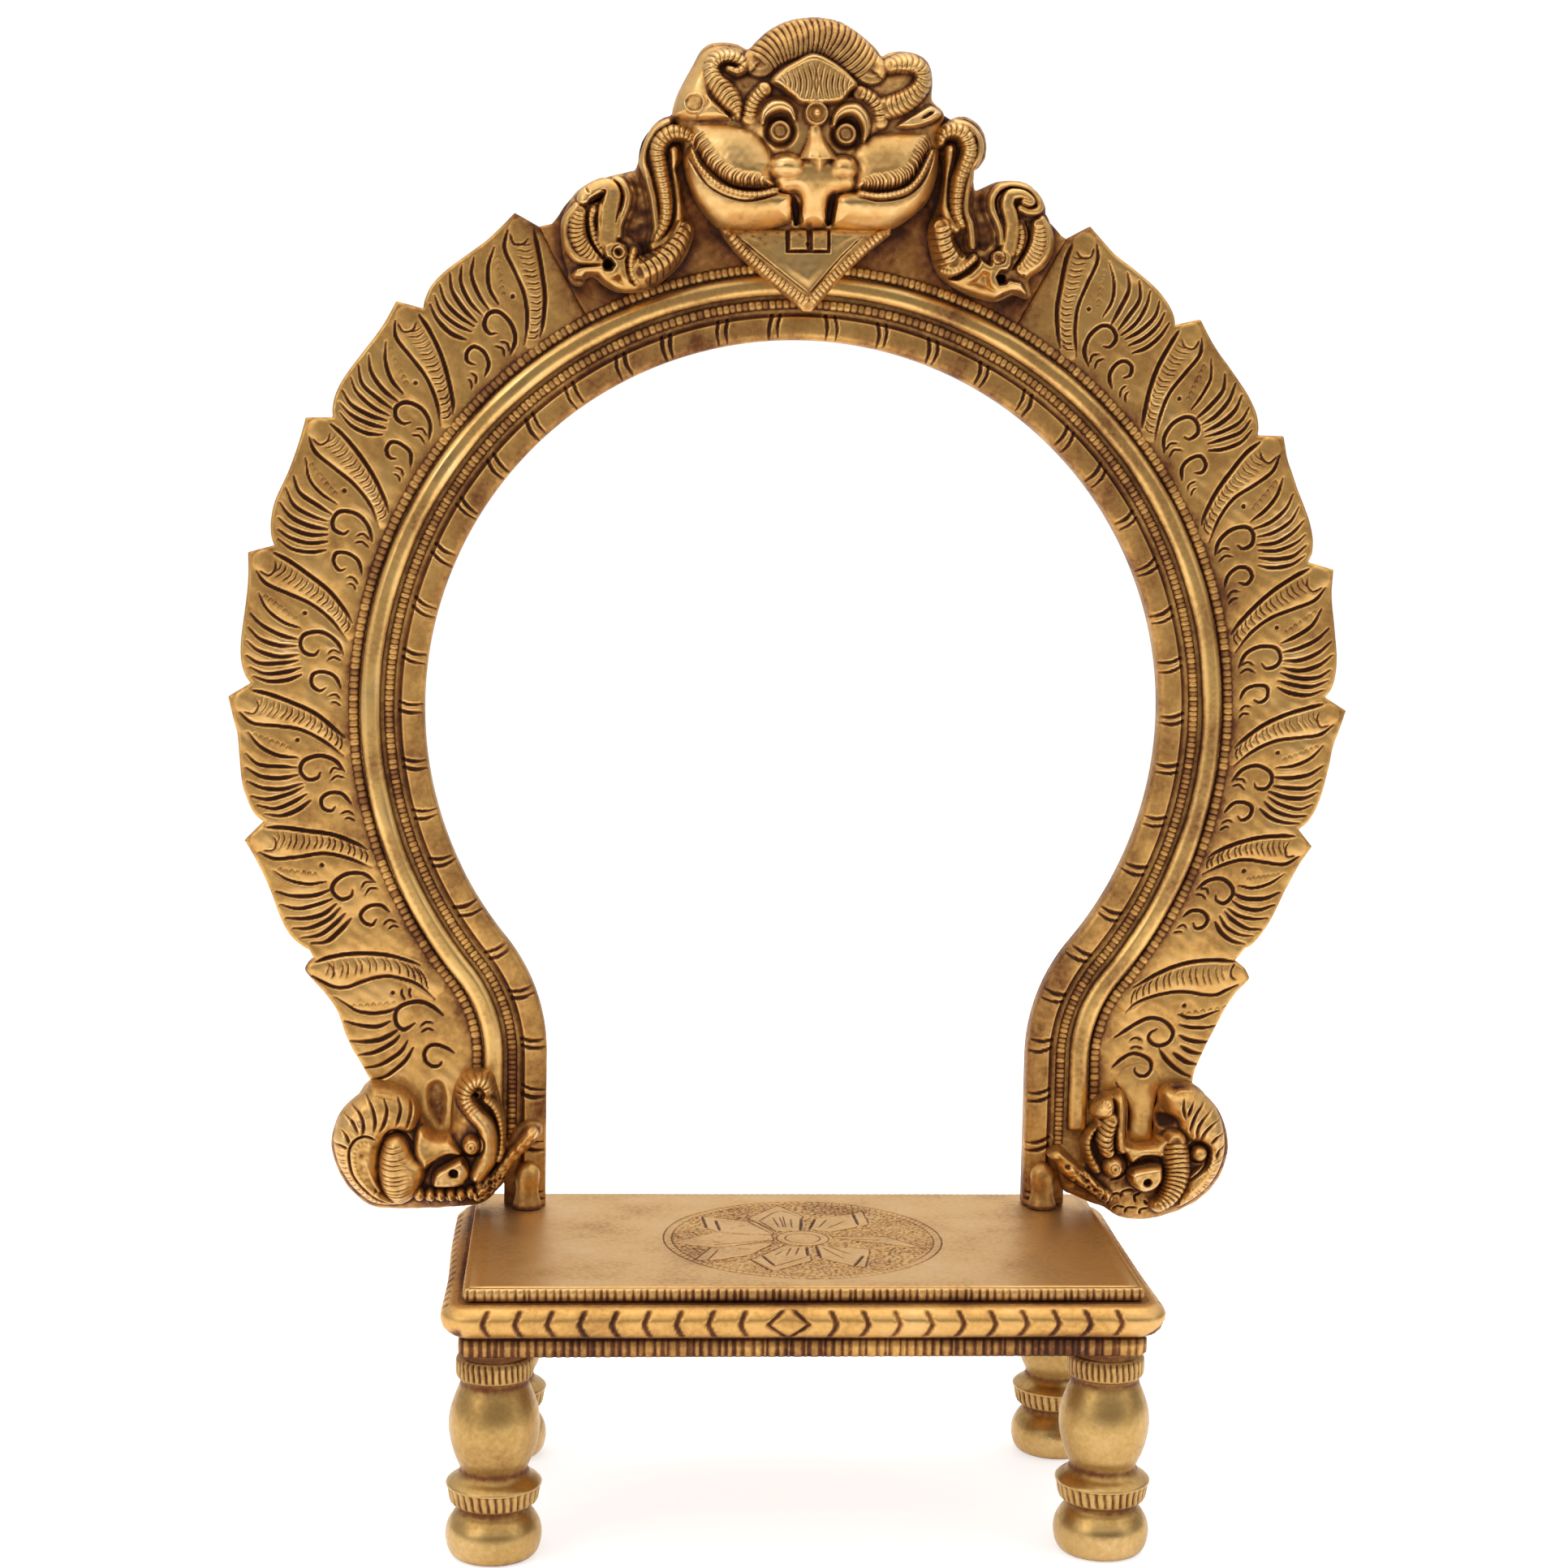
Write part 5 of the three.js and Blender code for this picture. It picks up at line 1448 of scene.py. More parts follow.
BIRD_RIGHT_PIXELS = {
    "outline": [
        (1226.5, 225), (1247.5, 223.5), (1265.5, 227.5), (1281, 242), (1287, 254.5), (1288, 263.5),
        (1294.5, 277.5), (1298, 294.5), (1296, 312.5), (1285, 331), (1269, 342), (1267.5, 351.5),
        (1270.5, 363.5), (1264, 368.5), (1248.5, 363.5), (1229, 372), (1209.5, 369), (1188, 361),
        (1168.5, 349.5), (1155, 336), (1148, 316.5), (1144, 297), (1145, 277.5), (1154, 258),
        (1160, 236.5), (1162.5, 212), (1160, 192.5), (1150.5, 183), (1151.5, 163.5), (1168.5, 149),
        (1188, 143), (1205, 151.5), (1214.5, 168.5), (1214.5, 192.5), (1205, 207.5), (1199, 212),
        (1201, 233), (1209.5, 232),
    ],
    "plume": [
        (1242.5, 309), (1245.5, 294.5), (1247.5, 279), (1244.5, 263), (1241.5, 251),
        (1245.5, 240.5), (1256, 238), (1265.5, 241), (1272, 246.5), (1269, 250.5), (1262, 248.5),
    ],
    "back strand": [
        (1235, 299.5), (1234, 285), (1229.5, 271.5), (1223.5, 258), (1222.5, 245), (1229.5, 232.5),
        (1241, 227), (1253.5, 226.5), (1267.5, 231), (1278, 242), (1283, 252), (1279, 259.5),
        (1268.5, 261), (1258, 256.5),
    ],
    "back groove": [
        (1238, 299.5), (1237, 285), (1232.5, 270.5), (1228.5, 258), (1228, 246), (1234, 236.5),
        (1243.5, 231), (1254.5, 231.5), (1266.5, 235), (1275, 243.5), (1276.5, 251), (1269, 255),
        (1260.5, 252),
    ],
    "fan": [(1280.5, 277.5), (1281, 292), (1277.5, 306.5), (1269.5, 321), (1259.5, 331.5)],
    "fan rim": [
        (1285, 270.5), (1292, 283.5), (1294, 297), (1289.5, 312.5), (1279.5, 326), (1265.5, 336),
    ],
    "bead": [(1256.5, 277.5), (1259.5, 289.5), (1257.5, 302), (1253, 311.5)],
    "dark": [(1264, 271.5), (1269.5, 287.5), (1266, 304), (1258, 319), (1248.5, 332)],
    "head": [
        (1208.5, 318), (1212.5, 322), (1220, 326.5), (1222, 316.5), (1229.5, 308), (1241, 307.5),
        (1247.5, 315), (1246, 327.5), (1241, 334), (1232.5, 335), (1228, 342), (1231.5, 350.5),
        (1238, 349.5), (1242, 345), (1258, 348), (1266.5, 361), (1264, 365), (1256, 361),
        (1247.5, 360), (1236.5, 363.5), (1226.5, 369), (1211, 366), (1192.5, 360), (1178, 355),
        (1168.5, 348), (1166.5, 343.5), (1180.5, 344), (1195, 336), (1203.5, 327.5),
    ],
    "eye": [(1229.5, 317.5)],
    "nostril": [(1234.5, 343)],
    "collar": [(1157, 334), (1171, 336.5), (1183, 332), (1192.5, 325), (1200, 318)],
    "neck": [(1159.5, 279), (1162, 294.5), (1166.5, 309), (1174.5, 322.5)],
    "scarf rib": [
        (1188, 207.5), (1182.5, 220.5), (1179.5, 236.5), (1178.5, 252), (1180.5, 266.5),
        (1185.5, 277.5),
    ],
    "scarf top": [
        (1156.5, 172), (1162.5, 163.5), (1173.5, 160), (1185.5, 163.5), (1192.5, 174.5),
        (1194.5, 188),
    ],
    "scarf in": [
        (1171, 183), (1168.5, 200), (1165, 218), (1164, 236.5), (1164, 254.5), (1169.5, 269),
        (1178.5, 282),
    ],
    "scarf out": [
        (1178, 149), (1195, 155), (1207.5, 169.5), (1208.5, 188), (1200, 207.5), (1193.5, 230.5),
        (1190.5, 248.5), (1191, 262), (1196.5, 277.5), (1199, 302),
    ],
    "pool": [(1209.5, 248.5), (1212, 277.5), (1209.5, 299.5)],
}

YALI_LEFT_PIXELS = {
    "outline": [
        (457.5, 1333.5), (448, 1345), (428.5, 1361), (417, 1375), (410.5, 1392), (408, 1407),
        (409.5, 1422.5), (416.5, 1442), (428.5, 1462.5), (444, 1478), (459.5, 1487.5),
        (482.5, 1489.5), (515, 1489.5), (545.5, 1488.5), (572, 1486.5), (591.5, 1483.5),
        (605.5, 1475), (613.5, 1464.5), (623, 1453), (626.5, 1440.5), (641, 1424.5), (654.5, 1413),
        (668, 1395.5), (665, 1384), (648.5, 1382.5), (631.5, 1395.5), (624, 1407), (623, 1380.5),
        (617, 1357.5), (612.5, 1338.5), (606.5, 1323), (589.5, 1318), (572, 1323.5), (561, 1336.5),
        (556.5, 1355.5), (555, 1372.5), (554, 1390), (548.5, 1398.5), (536, 1396.5), (526.5, 1386),
        (519, 1371), (511, 1355), (495.5, 1341.5), (476.5, 1335.5),
    ],
    "mane": [
        (457.5, 1335.5), (448, 1346), (429, 1362), (418, 1375.5), (411.5, 1392), (409, 1407),
        (410.5, 1422.5), (417, 1441.5), (429.5, 1462), (445, 1477), (460, 1486), (484, 1488.5),
        (490, 1482.5), (472.5, 1468.5), (466, 1449), (466.5, 1430), (468.5, 1415), (476.5, 1400.5),
        (490, 1394.5), (507, 1396.5), (516.5, 1380.5), (516.5, 1369), (507, 1353.5),
        (493.5, 1342.5), (476.5, 1336.5),
    ],
    "shine": [(454.5, 1346), (480.5, 1345.5), (487, 1357.5), (473.5, 1355), (451.5, 1350)],
    "fan": [
        [(450.5, 1350), (459, 1365), (462.5, 1380.5), (461, 1394)],
        [(430, 1362), (442.5, 1371), (448, 1384), (447, 1400)],
        [(422.5, 1373.5), (434.5, 1382.5), (441.5, 1396.5)],
        [(420, 1392), (427, 1399.5), (431, 1409.5)],
        [(473, 1353.5), (477, 1367), (474, 1382.5), (468.5, 1394)],
        [(490, 1352.5), (493.5, 1367), (489, 1386.5)],
        [(504.5, 1355.5), (506.5, 1369), (503.5, 1382.5), (501, 1390.5)],
        [(411, 1410.5), (420.5, 1412), (429, 1415)],
    ],
    "rim out": [
        (411.5, 1418.5), (417, 1440.5), (429, 1461), (444.5, 1476), (459.5, 1485), (482.5, 1488.5),
    ],
    "rim in": [
        (427, 1419.5), (431, 1437), (440.5, 1453), (454.5, 1468.5), (469, 1478), (486, 1484.5),
    ],
    "hook": [
        (458.5, 1409.5), (447, 1407), (438.5, 1415), (437, 1430), (441, 1445.5), (451.5, 1460.5),
        (466, 1473),
    ],
    "hook line": [
        (464, 1404.5), (451.5, 1399.5), (438.5, 1403.5), (431, 1415.5), (431, 1432),
        (435.5, 1448.5), (447, 1463.5), (463, 1477), (484, 1487),
    ],
    "hook pool": [(461, 1413), (446, 1422.5), (446.5, 1437.5), (452.5, 1453), (463, 1466.5)],
    "hook rod": [(450, 1424.5), (454.5, 1439.5), (460.5, 1455), (467, 1466.5)],
    "lobe": [
        (475.5, 1402.5), (490, 1397.5), (501.5, 1407), (509.5, 1422.5), (522.5, 1434),
        (523.5, 1451), (515.5, 1466.5), (507, 1479), (492, 1486.5), (480.5, 1480), (469.5, 1464.5),
        (466, 1445.5), (467, 1424.5),
    ],
    "lobe arc": [(471.5, 1403.5), (481.5, 1393.5), (495.5, 1396.5), (506, 1408), (512, 1417)],
    "lobe ribs left": [
        (469, 1407), (467.5, 1424.5), (467, 1441.5), (469.5, 1459), (475.5, 1473), (484, 1483.5),
    ],
    "lobe ribs right": [
        (495.5, 1407), (503.5, 1424.5), (507, 1441.5), (513, 1453), (515, 1462.5), (513, 1472),
    ],
    "cheek": [
        (513, 1393.5), (524.5, 1392), (537.5, 1400.5), (553, 1401.5), (565.5, 1415),
        (568.5, 1423.5), (551, 1425.5), (534, 1434), (522.5, 1441.5), (510, 1422.5),
    ],
    "trunk": [
        (588.5, 1447.5), (600, 1428), (603, 1407), (598.5, 1388), (584.5, 1371.5), (573, 1355.5),
        (575, 1341), (586.5, 1331.5), (598, 1335.5), (602, 1345),
    ],
    "hollow": [(581.5, 1349), (588.5, 1352.5)],
    "eye": [(581, 1411)],
    "socket": [(569.5, 1422.5), (581.5, 1426.5), (593.5, 1419.5), (596.5, 1406), (588.5, 1395.5)],
    "ear": [
        (568, 1425.5), (576, 1434), (579, 1446.5), (570.5, 1459), (553, 1462), (534.5, 1461),
        (532, 1452), (538, 1440.5), (553, 1432),
    ],
    "ear arc": [(561.5, 1421.5), (545.5, 1424.5), (532, 1434), (526.5, 1447.5)],
    "hole": [(559.5, 1442.5)],
    "bead": [
        (599, 1355), (609, 1365), (616, 1380.5), (619, 1399.5), (617.5, 1418.5), (614, 1428.5),
    ],
    "scales": [
        (516.5, 1472), (530, 1473), (542.5, 1473), (555, 1473), (567.5, 1473), (580, 1470.5),
        (591.5, 1462.5), (601, 1454.5),
    ],
    "scale ticks": [
        (522.5, 1470.5), (534, 1468.5), (546.5, 1468.5), (559, 1468.5), (571, 1467.5),
        (582.5, 1464.5),
    ],
    "arm": [(593, 1473), (610.5, 1456), (626, 1435), (640, 1416.5), (654.5, 1399.5)],
}

YALI_RIGHT_PIXELS = {
    "outline": [
        (1470, 1336.5), (1480.5, 1345), (1497, 1361), (1507, 1378.5), (1513, 1400), (1513, 1421.5),
        (1505.5, 1445), (1491.5, 1466.5), (1471.5, 1482.5), (1450, 1493), (1425, 1500.5),
        (1402, 1503), (1378.5, 1499.5), (1360.5, 1488), (1339.5, 1480.5), (1321.5, 1472),
        (1310.5, 1467), (1305, 1450), (1300.5, 1431), (1289, 1421.5), (1303.5, 1413.5),
        (1318, 1423), (1330.5, 1435.5), (1334, 1425), (1332, 1407), (1339.5, 1393), (1350, 1382),
        (1343, 1369.5), (1347.5, 1357), (1359, 1348), (1371.5, 1347), (1380.5, 1343),
        (1388.5, 1353.5), (1390, 1375), (1389.5, 1393), (1393, 1407), (1419.5, 1407), (1424, 1393),
        (1423, 1375), (1428.5, 1359), (1429.5, 1344.5), (1439.5, 1336.5), (1453.5, 1334),
    ],
    "mane": [
        (1448.5, 1344.5), (1470.5, 1342.5), (1482, 1348.5), (1497.5, 1362), (1507, 1378.5),
        (1512, 1400), (1512, 1421.5), (1505, 1444.5), (1490.5, 1465.5), (1471, 1481.5),
        (1452.5, 1490.5), (1455.5, 1475), (1462.5, 1453.5), (1471.5, 1443), (1487.5, 1432),
        (1491, 1418), (1480.5, 1409), (1467, 1407), (1461.5, 1400), (1455.5, 1393), (1452, 1382),
        (1439.5, 1373), (1432, 1359), (1431, 1347), (1438.5, 1339),
    ],
    "shine": [(1450, 1345.5), (1469.5, 1344), (1471.5, 1349), (1455.5, 1349), (1448, 1353.5)],
    "fan": [
        [(1459, 1354), (1457.5, 1366), (1461, 1379)],
        [(1470.5, 1357), (1465.5, 1368), (1462.5, 1377)],
        [(1484.5, 1359), (1473.5, 1371.5), (1467, 1387.5), (1466, 1395)],
        [(1495.5, 1367), (1482, 1378.5), (1475, 1391), (1474, 1405.5)],
        [(1504.5, 1380.5), (1491, 1387.5), (1482, 1398), (1479.5, 1407.5)],
        [(1509.5, 1397.5), (1498, 1402.5), (1491.5, 1410)],
        [(1511, 1412), (1502, 1418), (1499, 1429)],
    ],
    "rim out": [(1511.5, 1423), (1505, 1443), (1491, 1464), (1471.5, 1479.5), (1453.5, 1489.5)],
    "rim in": [(1498, 1427.5), (1491, 1443), (1480.5, 1457), (1466, 1471.5), (1455.5, 1480.5)],
    "hook": [(1495.5, 1423), (1489.5, 1441), (1477, 1457), (1465, 1469.5)],
    "hook line": [
        (1466.5, 1423), (1469.5, 1411.5), (1480.5, 1409.5), (1490, 1416), (1489.5, 1430.5),
        (1480.5, 1443), (1465.5, 1455),
    ],
    "hook dome": [(1478, 1422)],
    "lobe": [
        (1448, 1407), (1449.5, 1425), (1450.5, 1443), (1446.5, 1460.5), (1438, 1476),
        (1427.5, 1485),
    ],
    "cheek": [
        (1376, 1387.5), (1387.5, 1404.5), (1405.5, 1409.5), (1421.5, 1407), (1439.5, 1400),
        (1452, 1394), (1439.5, 1414.5), (1435, 1427), (1410.5, 1427.5), (1394, 1434),
        (1386.5, 1423), (1377.5, 1414.5),
    ],
    "brow": [(1405.5, 1426.5), (1421.5, 1425), (1430.5, 1428.5), (1435, 1437.5)],
    "trunk": [(1368, 1380.5), (1363, 1396.5), (1362, 1407), (1364.5, 1418)],
    "stem": [(1375, 1344.5), (1382.5, 1360.5), (1382, 1380.5), (1381, 1400), (1382.5, 1416)],
    "knob": [
        (1347.5, 1363), (1357, 1352), (1368, 1349.5), (1374, 1357.5), (1373, 1370), (1364.5, 1379),
        (1350.5, 1380.5), (1345.5, 1372),
    ],
    "eye": [(1371.5, 1437.5)],
    "socket": [
        (1360.5, 1414.5), (1375, 1417), (1386.5, 1427), (1389.5, 1441), (1382, 1452),
        (1369.5, 1455.5),
    ],
    "ear": [
        (1391, 1441.5), (1402, 1437), (1428.5, 1433.5), (1432, 1443), (1430.5, 1454),
        (1421.5, 1464.5), (1407, 1468), (1394.5, 1461), (1389.5, 1452),
    ],
    "ear arc": [(1393, 1436.5), (1405.5, 1433), (1423, 1430.5)],
    "hole": [(1411, 1453.5)],
    "bead": [(1355.5, 1385.5), (1345, 1396.5), (1340, 1410.5), (1343, 1426), (1351, 1441.5)],
    "scale arcs": [
        [(1367, 1488), (1368, 1477), (1377, 1472.5), (1385, 1476)],
        [(1382, 1479), (1384.5, 1470.5), (1393, 1468), (1398, 1469.5)],
        [(1401, 1484), (1399.5, 1476), (1407, 1472)], [(1373, 1495), (1379, 1489.5), (1388, 1491)],
        [(1388, 1498), (1391, 1491.5), (1402, 1490.5)], [(1407, 1500), (1407, 1493), (1416, 1491)],
        [(1410.5, 1480.5), (1416, 1485.5), (1427, 1487.5)],
    ],
    "pocket": [(1436.5, 1384)],
    "arm": [(1299, 1423), (1321.5, 1444.5), (1343, 1460.5), (1364.5, 1476)],
    "arm edge": [(1303.5, 1421.5), (1323, 1436.5), (1341, 1451), (1357, 1467)],
}

# Where the photograph is read for each ornament: its outline's depth and its strokes' depth
MASK_DEPTHS = (22, 17)
JAW_DEPTHS = (21, 19)
BIRD_DEPTHS = (24, 20)
YALI_DEPTHS = (23, 19)

# The plate under each ornament: the spacing of its grid, its thickness at the outline, how
# high its face swells and how far in from the outline
MASK_PLATE = (0.2, 3.8, 5.4, 12.0)
JAW_PLATE = (0.2, 4.6, 1.0, 3.0)
BIRD_PLATE = (0.19, 1.2, 1.8, 3.5)
YALI_PLATE = (0.19, 2.6, 2.8, 5.0)


def ornament_edge(pixels, depths):
    return smooth_path(seen(pixels["outline"], depths[0]), True, 3)


def make_crest_plate():
    """The dark plate that carries the mask and the birds."""
    parts = CREST_PLATE_PIXELS
    left, top, right = (seen(parts[part], BAND_FRONT) for part in ("left", "top", "right"))
    valley = FIRST_FEATHER + 0.1
    arc = polar(1, np.linspace(valley, -valley, 60), BAND_RADIUS - LAP)
    ends = [polar(side, valley, VALLEY_RADIUS) for side in SIDES]
    left, right = smooth_path(left, steps=3), smooth_path(right, steps=3)
    outline = np.vstack([ends[:1], left, top, right, ends[1:], arc])
    relief = plate_relief(outline, 0.4, ARCH_BACK - BAND_FRONT - SUNK)
    relief.height += 0.22 * relief.noise(8, 15) + 0.08 * relief.noise(2.4, 16)
    for pixels, depths in (
        (MASK_PIXELS, MASK_DEPTHS),
        (JAW_PIXELS, JAW_DEPTHS),
        (BIRD_LEFT_PIXELS, BIRD_DEPTHS),
        (BIRD_RIGHT_PIXELS, BIRD_DEPTHS),
    ):
        pick, gap, *_ = relief.near(ornament_edge(pixels, depths), 6.0)
        relief.shade(pick, 0.7 * np.exp(-gap / 2.0))
    grain = 0.08 * relief.noise(9, 17) + 0.05 * relief.noise(2, 18)
    seam = sum(np.exp(-relief.far(end) / 7) for end in ends)
    tone = np.clip(0.04 + relief.ink + grain - 0.35 * seam, -1, 1)
    return relief_object("crest_plate_cast", relief, ARCH_BACK - SUNK, aged_brass, tone)


def start_ornament(outline, pixels, depth, plate):
    """A plate whose face swells from its edge to its middle, and the strokes to lay on it."""
    spacing, base, rise, reach = plate
    relief = plate_relief(outline, spacing, base)
    pick, gap = relief.within(outline, reach)
    relief.rim.flat[pick] = gap
    relief.height.flat[pick] += rise * np.sin(math.pi / 2 * gap / reach) ** 0.8
    relief.body = relief.height.copy()
    px = {}
    for key, points in pixels.items():
        grouped = isinstance(points[0], list)
        px[key] = [seen(p, depth) for p in points] if grouped else seen(points, depth)
    return relief, px


def ornament_tone(relief, lift=0.0):
    """The patina of a casting: brown in its deep places, worn bright on what stands out."""
    h = relief.finished() - relief.body
    small = np.tanh(relief.hollowness(h, 0.35) / 0.25)
    large = np.tanh(relief.hollowness(h, 1.2) / 1.1)
    hollow = 0.45 * np.maximum(small, 0) + 0.42 * np.maximum(large, 0)
    worn = 0.2 * np.minimum(small, 0) + 0.22 * np.minimum(large, 0) - 0.3 * relief.burr
    patina = hollow * smoothstep(relief.rim, 0.0, 1.2) + worn + 0.8 * relief.ink
    return np.clip(patina + 0.08 * relief.noise(3.2, 77) + lift, -1, 1)


def make_mask():
    """The lion face, with its crest, hood, horns, eyes and cheeks."""
    edge = ornament_edge(MASK_PIXELS, MASK_DEPTHS)
    relief, px = start_ornament(edge, MASK_PIXELS, MASK_DEPTHS[1], MASK_PLATE)
    relief.ink += 0.28
    relief.clean_mound(px["face"], 1.2, 2.5)
    relief.shade(np.flatnonzero(relief.rim > 6), 0.2)
    relief.clean_mound(px["hump"], 1.4, 3.0)
    relief.mound(px["flap"], 1.9, 1.4, sharp=True)
    relief.cut(px["slit"], 0.8, 0.8, ink=0.5)
    relief.dots(px["dimple"], 1.9, -0.45, 0.25)
    relief.strand(ring(px["dimple"][0], 1.9), 0.3, 1.9)
    half = [3.4, 4.1, 4.3, 4.3, 4.3, 4.1, 3.4]
    relief.strand(px["crest"], half, 2.1, 0.22, (1.12, 0.42, 0.42, 0.22), lean=0.8)
    relief.ink.flat[relief.around(px["crest"], 4.2)] += 0.12
    relief.clean_mound(px["hood"], 3.0, 1.2)
    foot, rim = (evenly(px[key]) for key in ("hood foot", "hood rim"))
    for part, bow in ((slice(None, 31), -0.09), (slice(29, None), 0.09)):
        relief.rays(foot[part], rim[part], 7, 0.5, 0.4, (0.0, 0.9), bow, ink=0.45)
    relief.cut(px["hood rim"], 0.35, 0.25, ink=0.35)
    for side in SIDES.values():
        relief.strand(px[f"collar {side}"], 1.7, 2.3, 0.5, (1.0, 0.5, 0.42, 0.2), 0.45)
    half = [0.5, 1.8, 2.5, 2.4, 2.1, 1.9, 1.8, 1.7, 1.6, 1.4, 1.1, 0.8]
    ribs = (1.08, 0.45, 0.42, 0.35)
    relief.strand(px["horn left"], half, [2.2, 2.5, 2.7, 3.0], 0.5, ribs, 0.45)
    half, ribs = [2.4, 2.5, 2.3, 2.0, 1.9, 2.1, 2.3, 1.8], (1.15, 0.45, 0.42, -0.35)
    relief.strand(px["horn right"], half, [2.4, 2.6, 3.0], 0.5, ribs, 0.45)
    relief.clean_mound(px["ear"], 1.9, 0.8)
    relief.cut(px["ear slot"], 0.9, 1.0, ink=0.7)
    for side in SIDES.values():
        add_cheek(relief, px, side)
    add_muzzle(relief, px)
    add_eyes(relief, px)
    relief.stain(px["stains"], 1.5, 0.45)
    relief.height += 0.015 * relief.noise(1.4, 52)
    relief.ease(FINE_EASE)
    tone = ornament_tone(relief, -0.08)
    return relief_object("mask_face_cast", relief, MASK_BACK, mask_brass_painted_highlight, tone)


def add_eyes(relief, px):
    """The dot on the brow, and round eyes in dark sockets under thick lids."""
    dot = px["dot"][0]
    relief.dome(dot, (2.9, 2.5), 2.6, 0.3)
    relief.clear(np.flatnonzero(relief.far(dot) < 2.4))
    relief.strand(ring(dot, 2.05), 0.5, 3.0)
    relief.dome(dot, 1.4, 4.0)
    for side in SIDES.values():
        eye, lid = px[f"eye {side}"][0], px[f"lid {side}"]
        far = relief.far(eye)
        socket = bell(far, 3.1, 6)
        relief.height -= 1.8 * socket
        relief.ink = np.maximum(relief.ink, 0.65 * socket)
        relief.strand(lid, [0.5, 1.1, 1.5, 1.6, 1.45, 1.05, 0.5], 3.3, 0.5)
        relief.clear(relief.around(lid, 1.1))
        relief.dome(eye, 2.5, 1.7, 0.4)
        relief.strand(ring(eye, 1.75), 0.5, 2.2)
        relief.strand(ring(eye, 0.8), 0.34, 1.7)
        relief.ink[far < 2.3] = 0.22
        relief.ink[far < 1.3] = 0.45


def add_muzzle(relief, px):
    """The nose with its sharp ridge and three-cornered tip, the nostrils and the upper lip."""
    relief.clean_mound(px["muzzle"], 3.0, 2.4)
    for side, radii, rise in (("left", (4.2, 3.0), 4.9), ("right", (3.4, 2.9), 4.6)):
        relief.dome(px[f"nostril {side}"][0], radii, rise)
    # The tops of the nostrils are lightened: partly wear on their high places, partly painted
    # highlight
    for side in SIDES.values():
        worn = relief.near(ring(px[f"nostril {side}"][0], 0.6), 1.8)[0]
        relief.ink.flat[worn] = -0.8
    top, tip = px["nose"][0], px["facet"][0]
    down = (top[1] - relief.z) / (top[1] - tip[1])
    ridge_x = top[0] + (tip[0] - top[0]) * np.minimum(down, 1)
    aside = np.abs(relief.x - ridge_x)
    below = np.maximum(tip[1] - relief.z, 0)
    wide = 1.1 + 2.9 * np.clip(down, 0, 1) ** 1.5
    flank = 0.35 * aside + 0.55 * np.maximum(aside - 0.55 * wide, 0) ** 1.3
    fall = np.maximum(flank, 0.85 * aside * (below > 0)) + 0.62 * below
    level = relief.body + 2.0 + 2.6 * smoothstep(down, 0.1, 1.0) - fall
    pick = np.flatnonzero((down > 0) & (below < 3.2) & (aside < wide))
    raised = pick[level.flat[pick] > relief.height.flat[pick]]
    relief.clear(raised)
    relief.join(pick, level.flat[pick], 0.12)
    relief.ink.flat[raised[below.flat[raised] > 0.1]] = 0.3
    relief.cut(px["gap left"], 1.9, 2.2, (0.3, 0.05), 0.5)
    relief.cut(px["gap right"], 2.0, 2.0, (0.3, 0.05), 0.5)
    relief.cut(px["mouth fold"], 0.5, 0.5, (0.1, 0.4), 0.4)


def add_cheek(relief, px, side):
    """An upper cheek with lashes along it, two dark lines with beads between, and the jowl."""
    relief.clean_mound(px[f"jowl {side}"], 3.2, 4.2)
    cheek = relief.clean_mound(px[f"cheek {side}"], 2.9, 4.6, fall=0.2)
    # Painted highlight: the cheek is lightened round a spot a little above its middle
    middle = px[f"cheek {side}"].mean(0)
    aside = (relief.x.flat[cheek] - middle[0]) / 6.5
    above = (relief.z.flat[cheek] - middle[1] - 1.5) / 4.5
    relief.ink.flat[cheek] = -0.8 * bell(np.hypot(aside, above), 1)
    lashes, bow = (px[f"lash {row} {side}"] for row in ("inner", "outer")), 0.16
    if side == "left":
        bow = -bow
    relief.rays(*lashes, 25, 0.55, 0.6, (0.0, 0.95), bow, (0.5, 0.05), 0.8)
    relief.cut(px[f"upper line {side}"], 0.6, 0.6, (0.05, 0.15), 0.5)
    bead, half = px[f"bead {side}"], [0.6, 0.85, 0.95, 0.95, 0.8]
    relief.clear(relief.around(bead, 0.6))
    relief.strand(bead, half, 3.2, 0.4, (0.95, 0.35, 0.4, 0.3))
    relief.cut(px[f"lower line {side}"], 0.6, 0.6, (0.05, 0.15), 0.55)


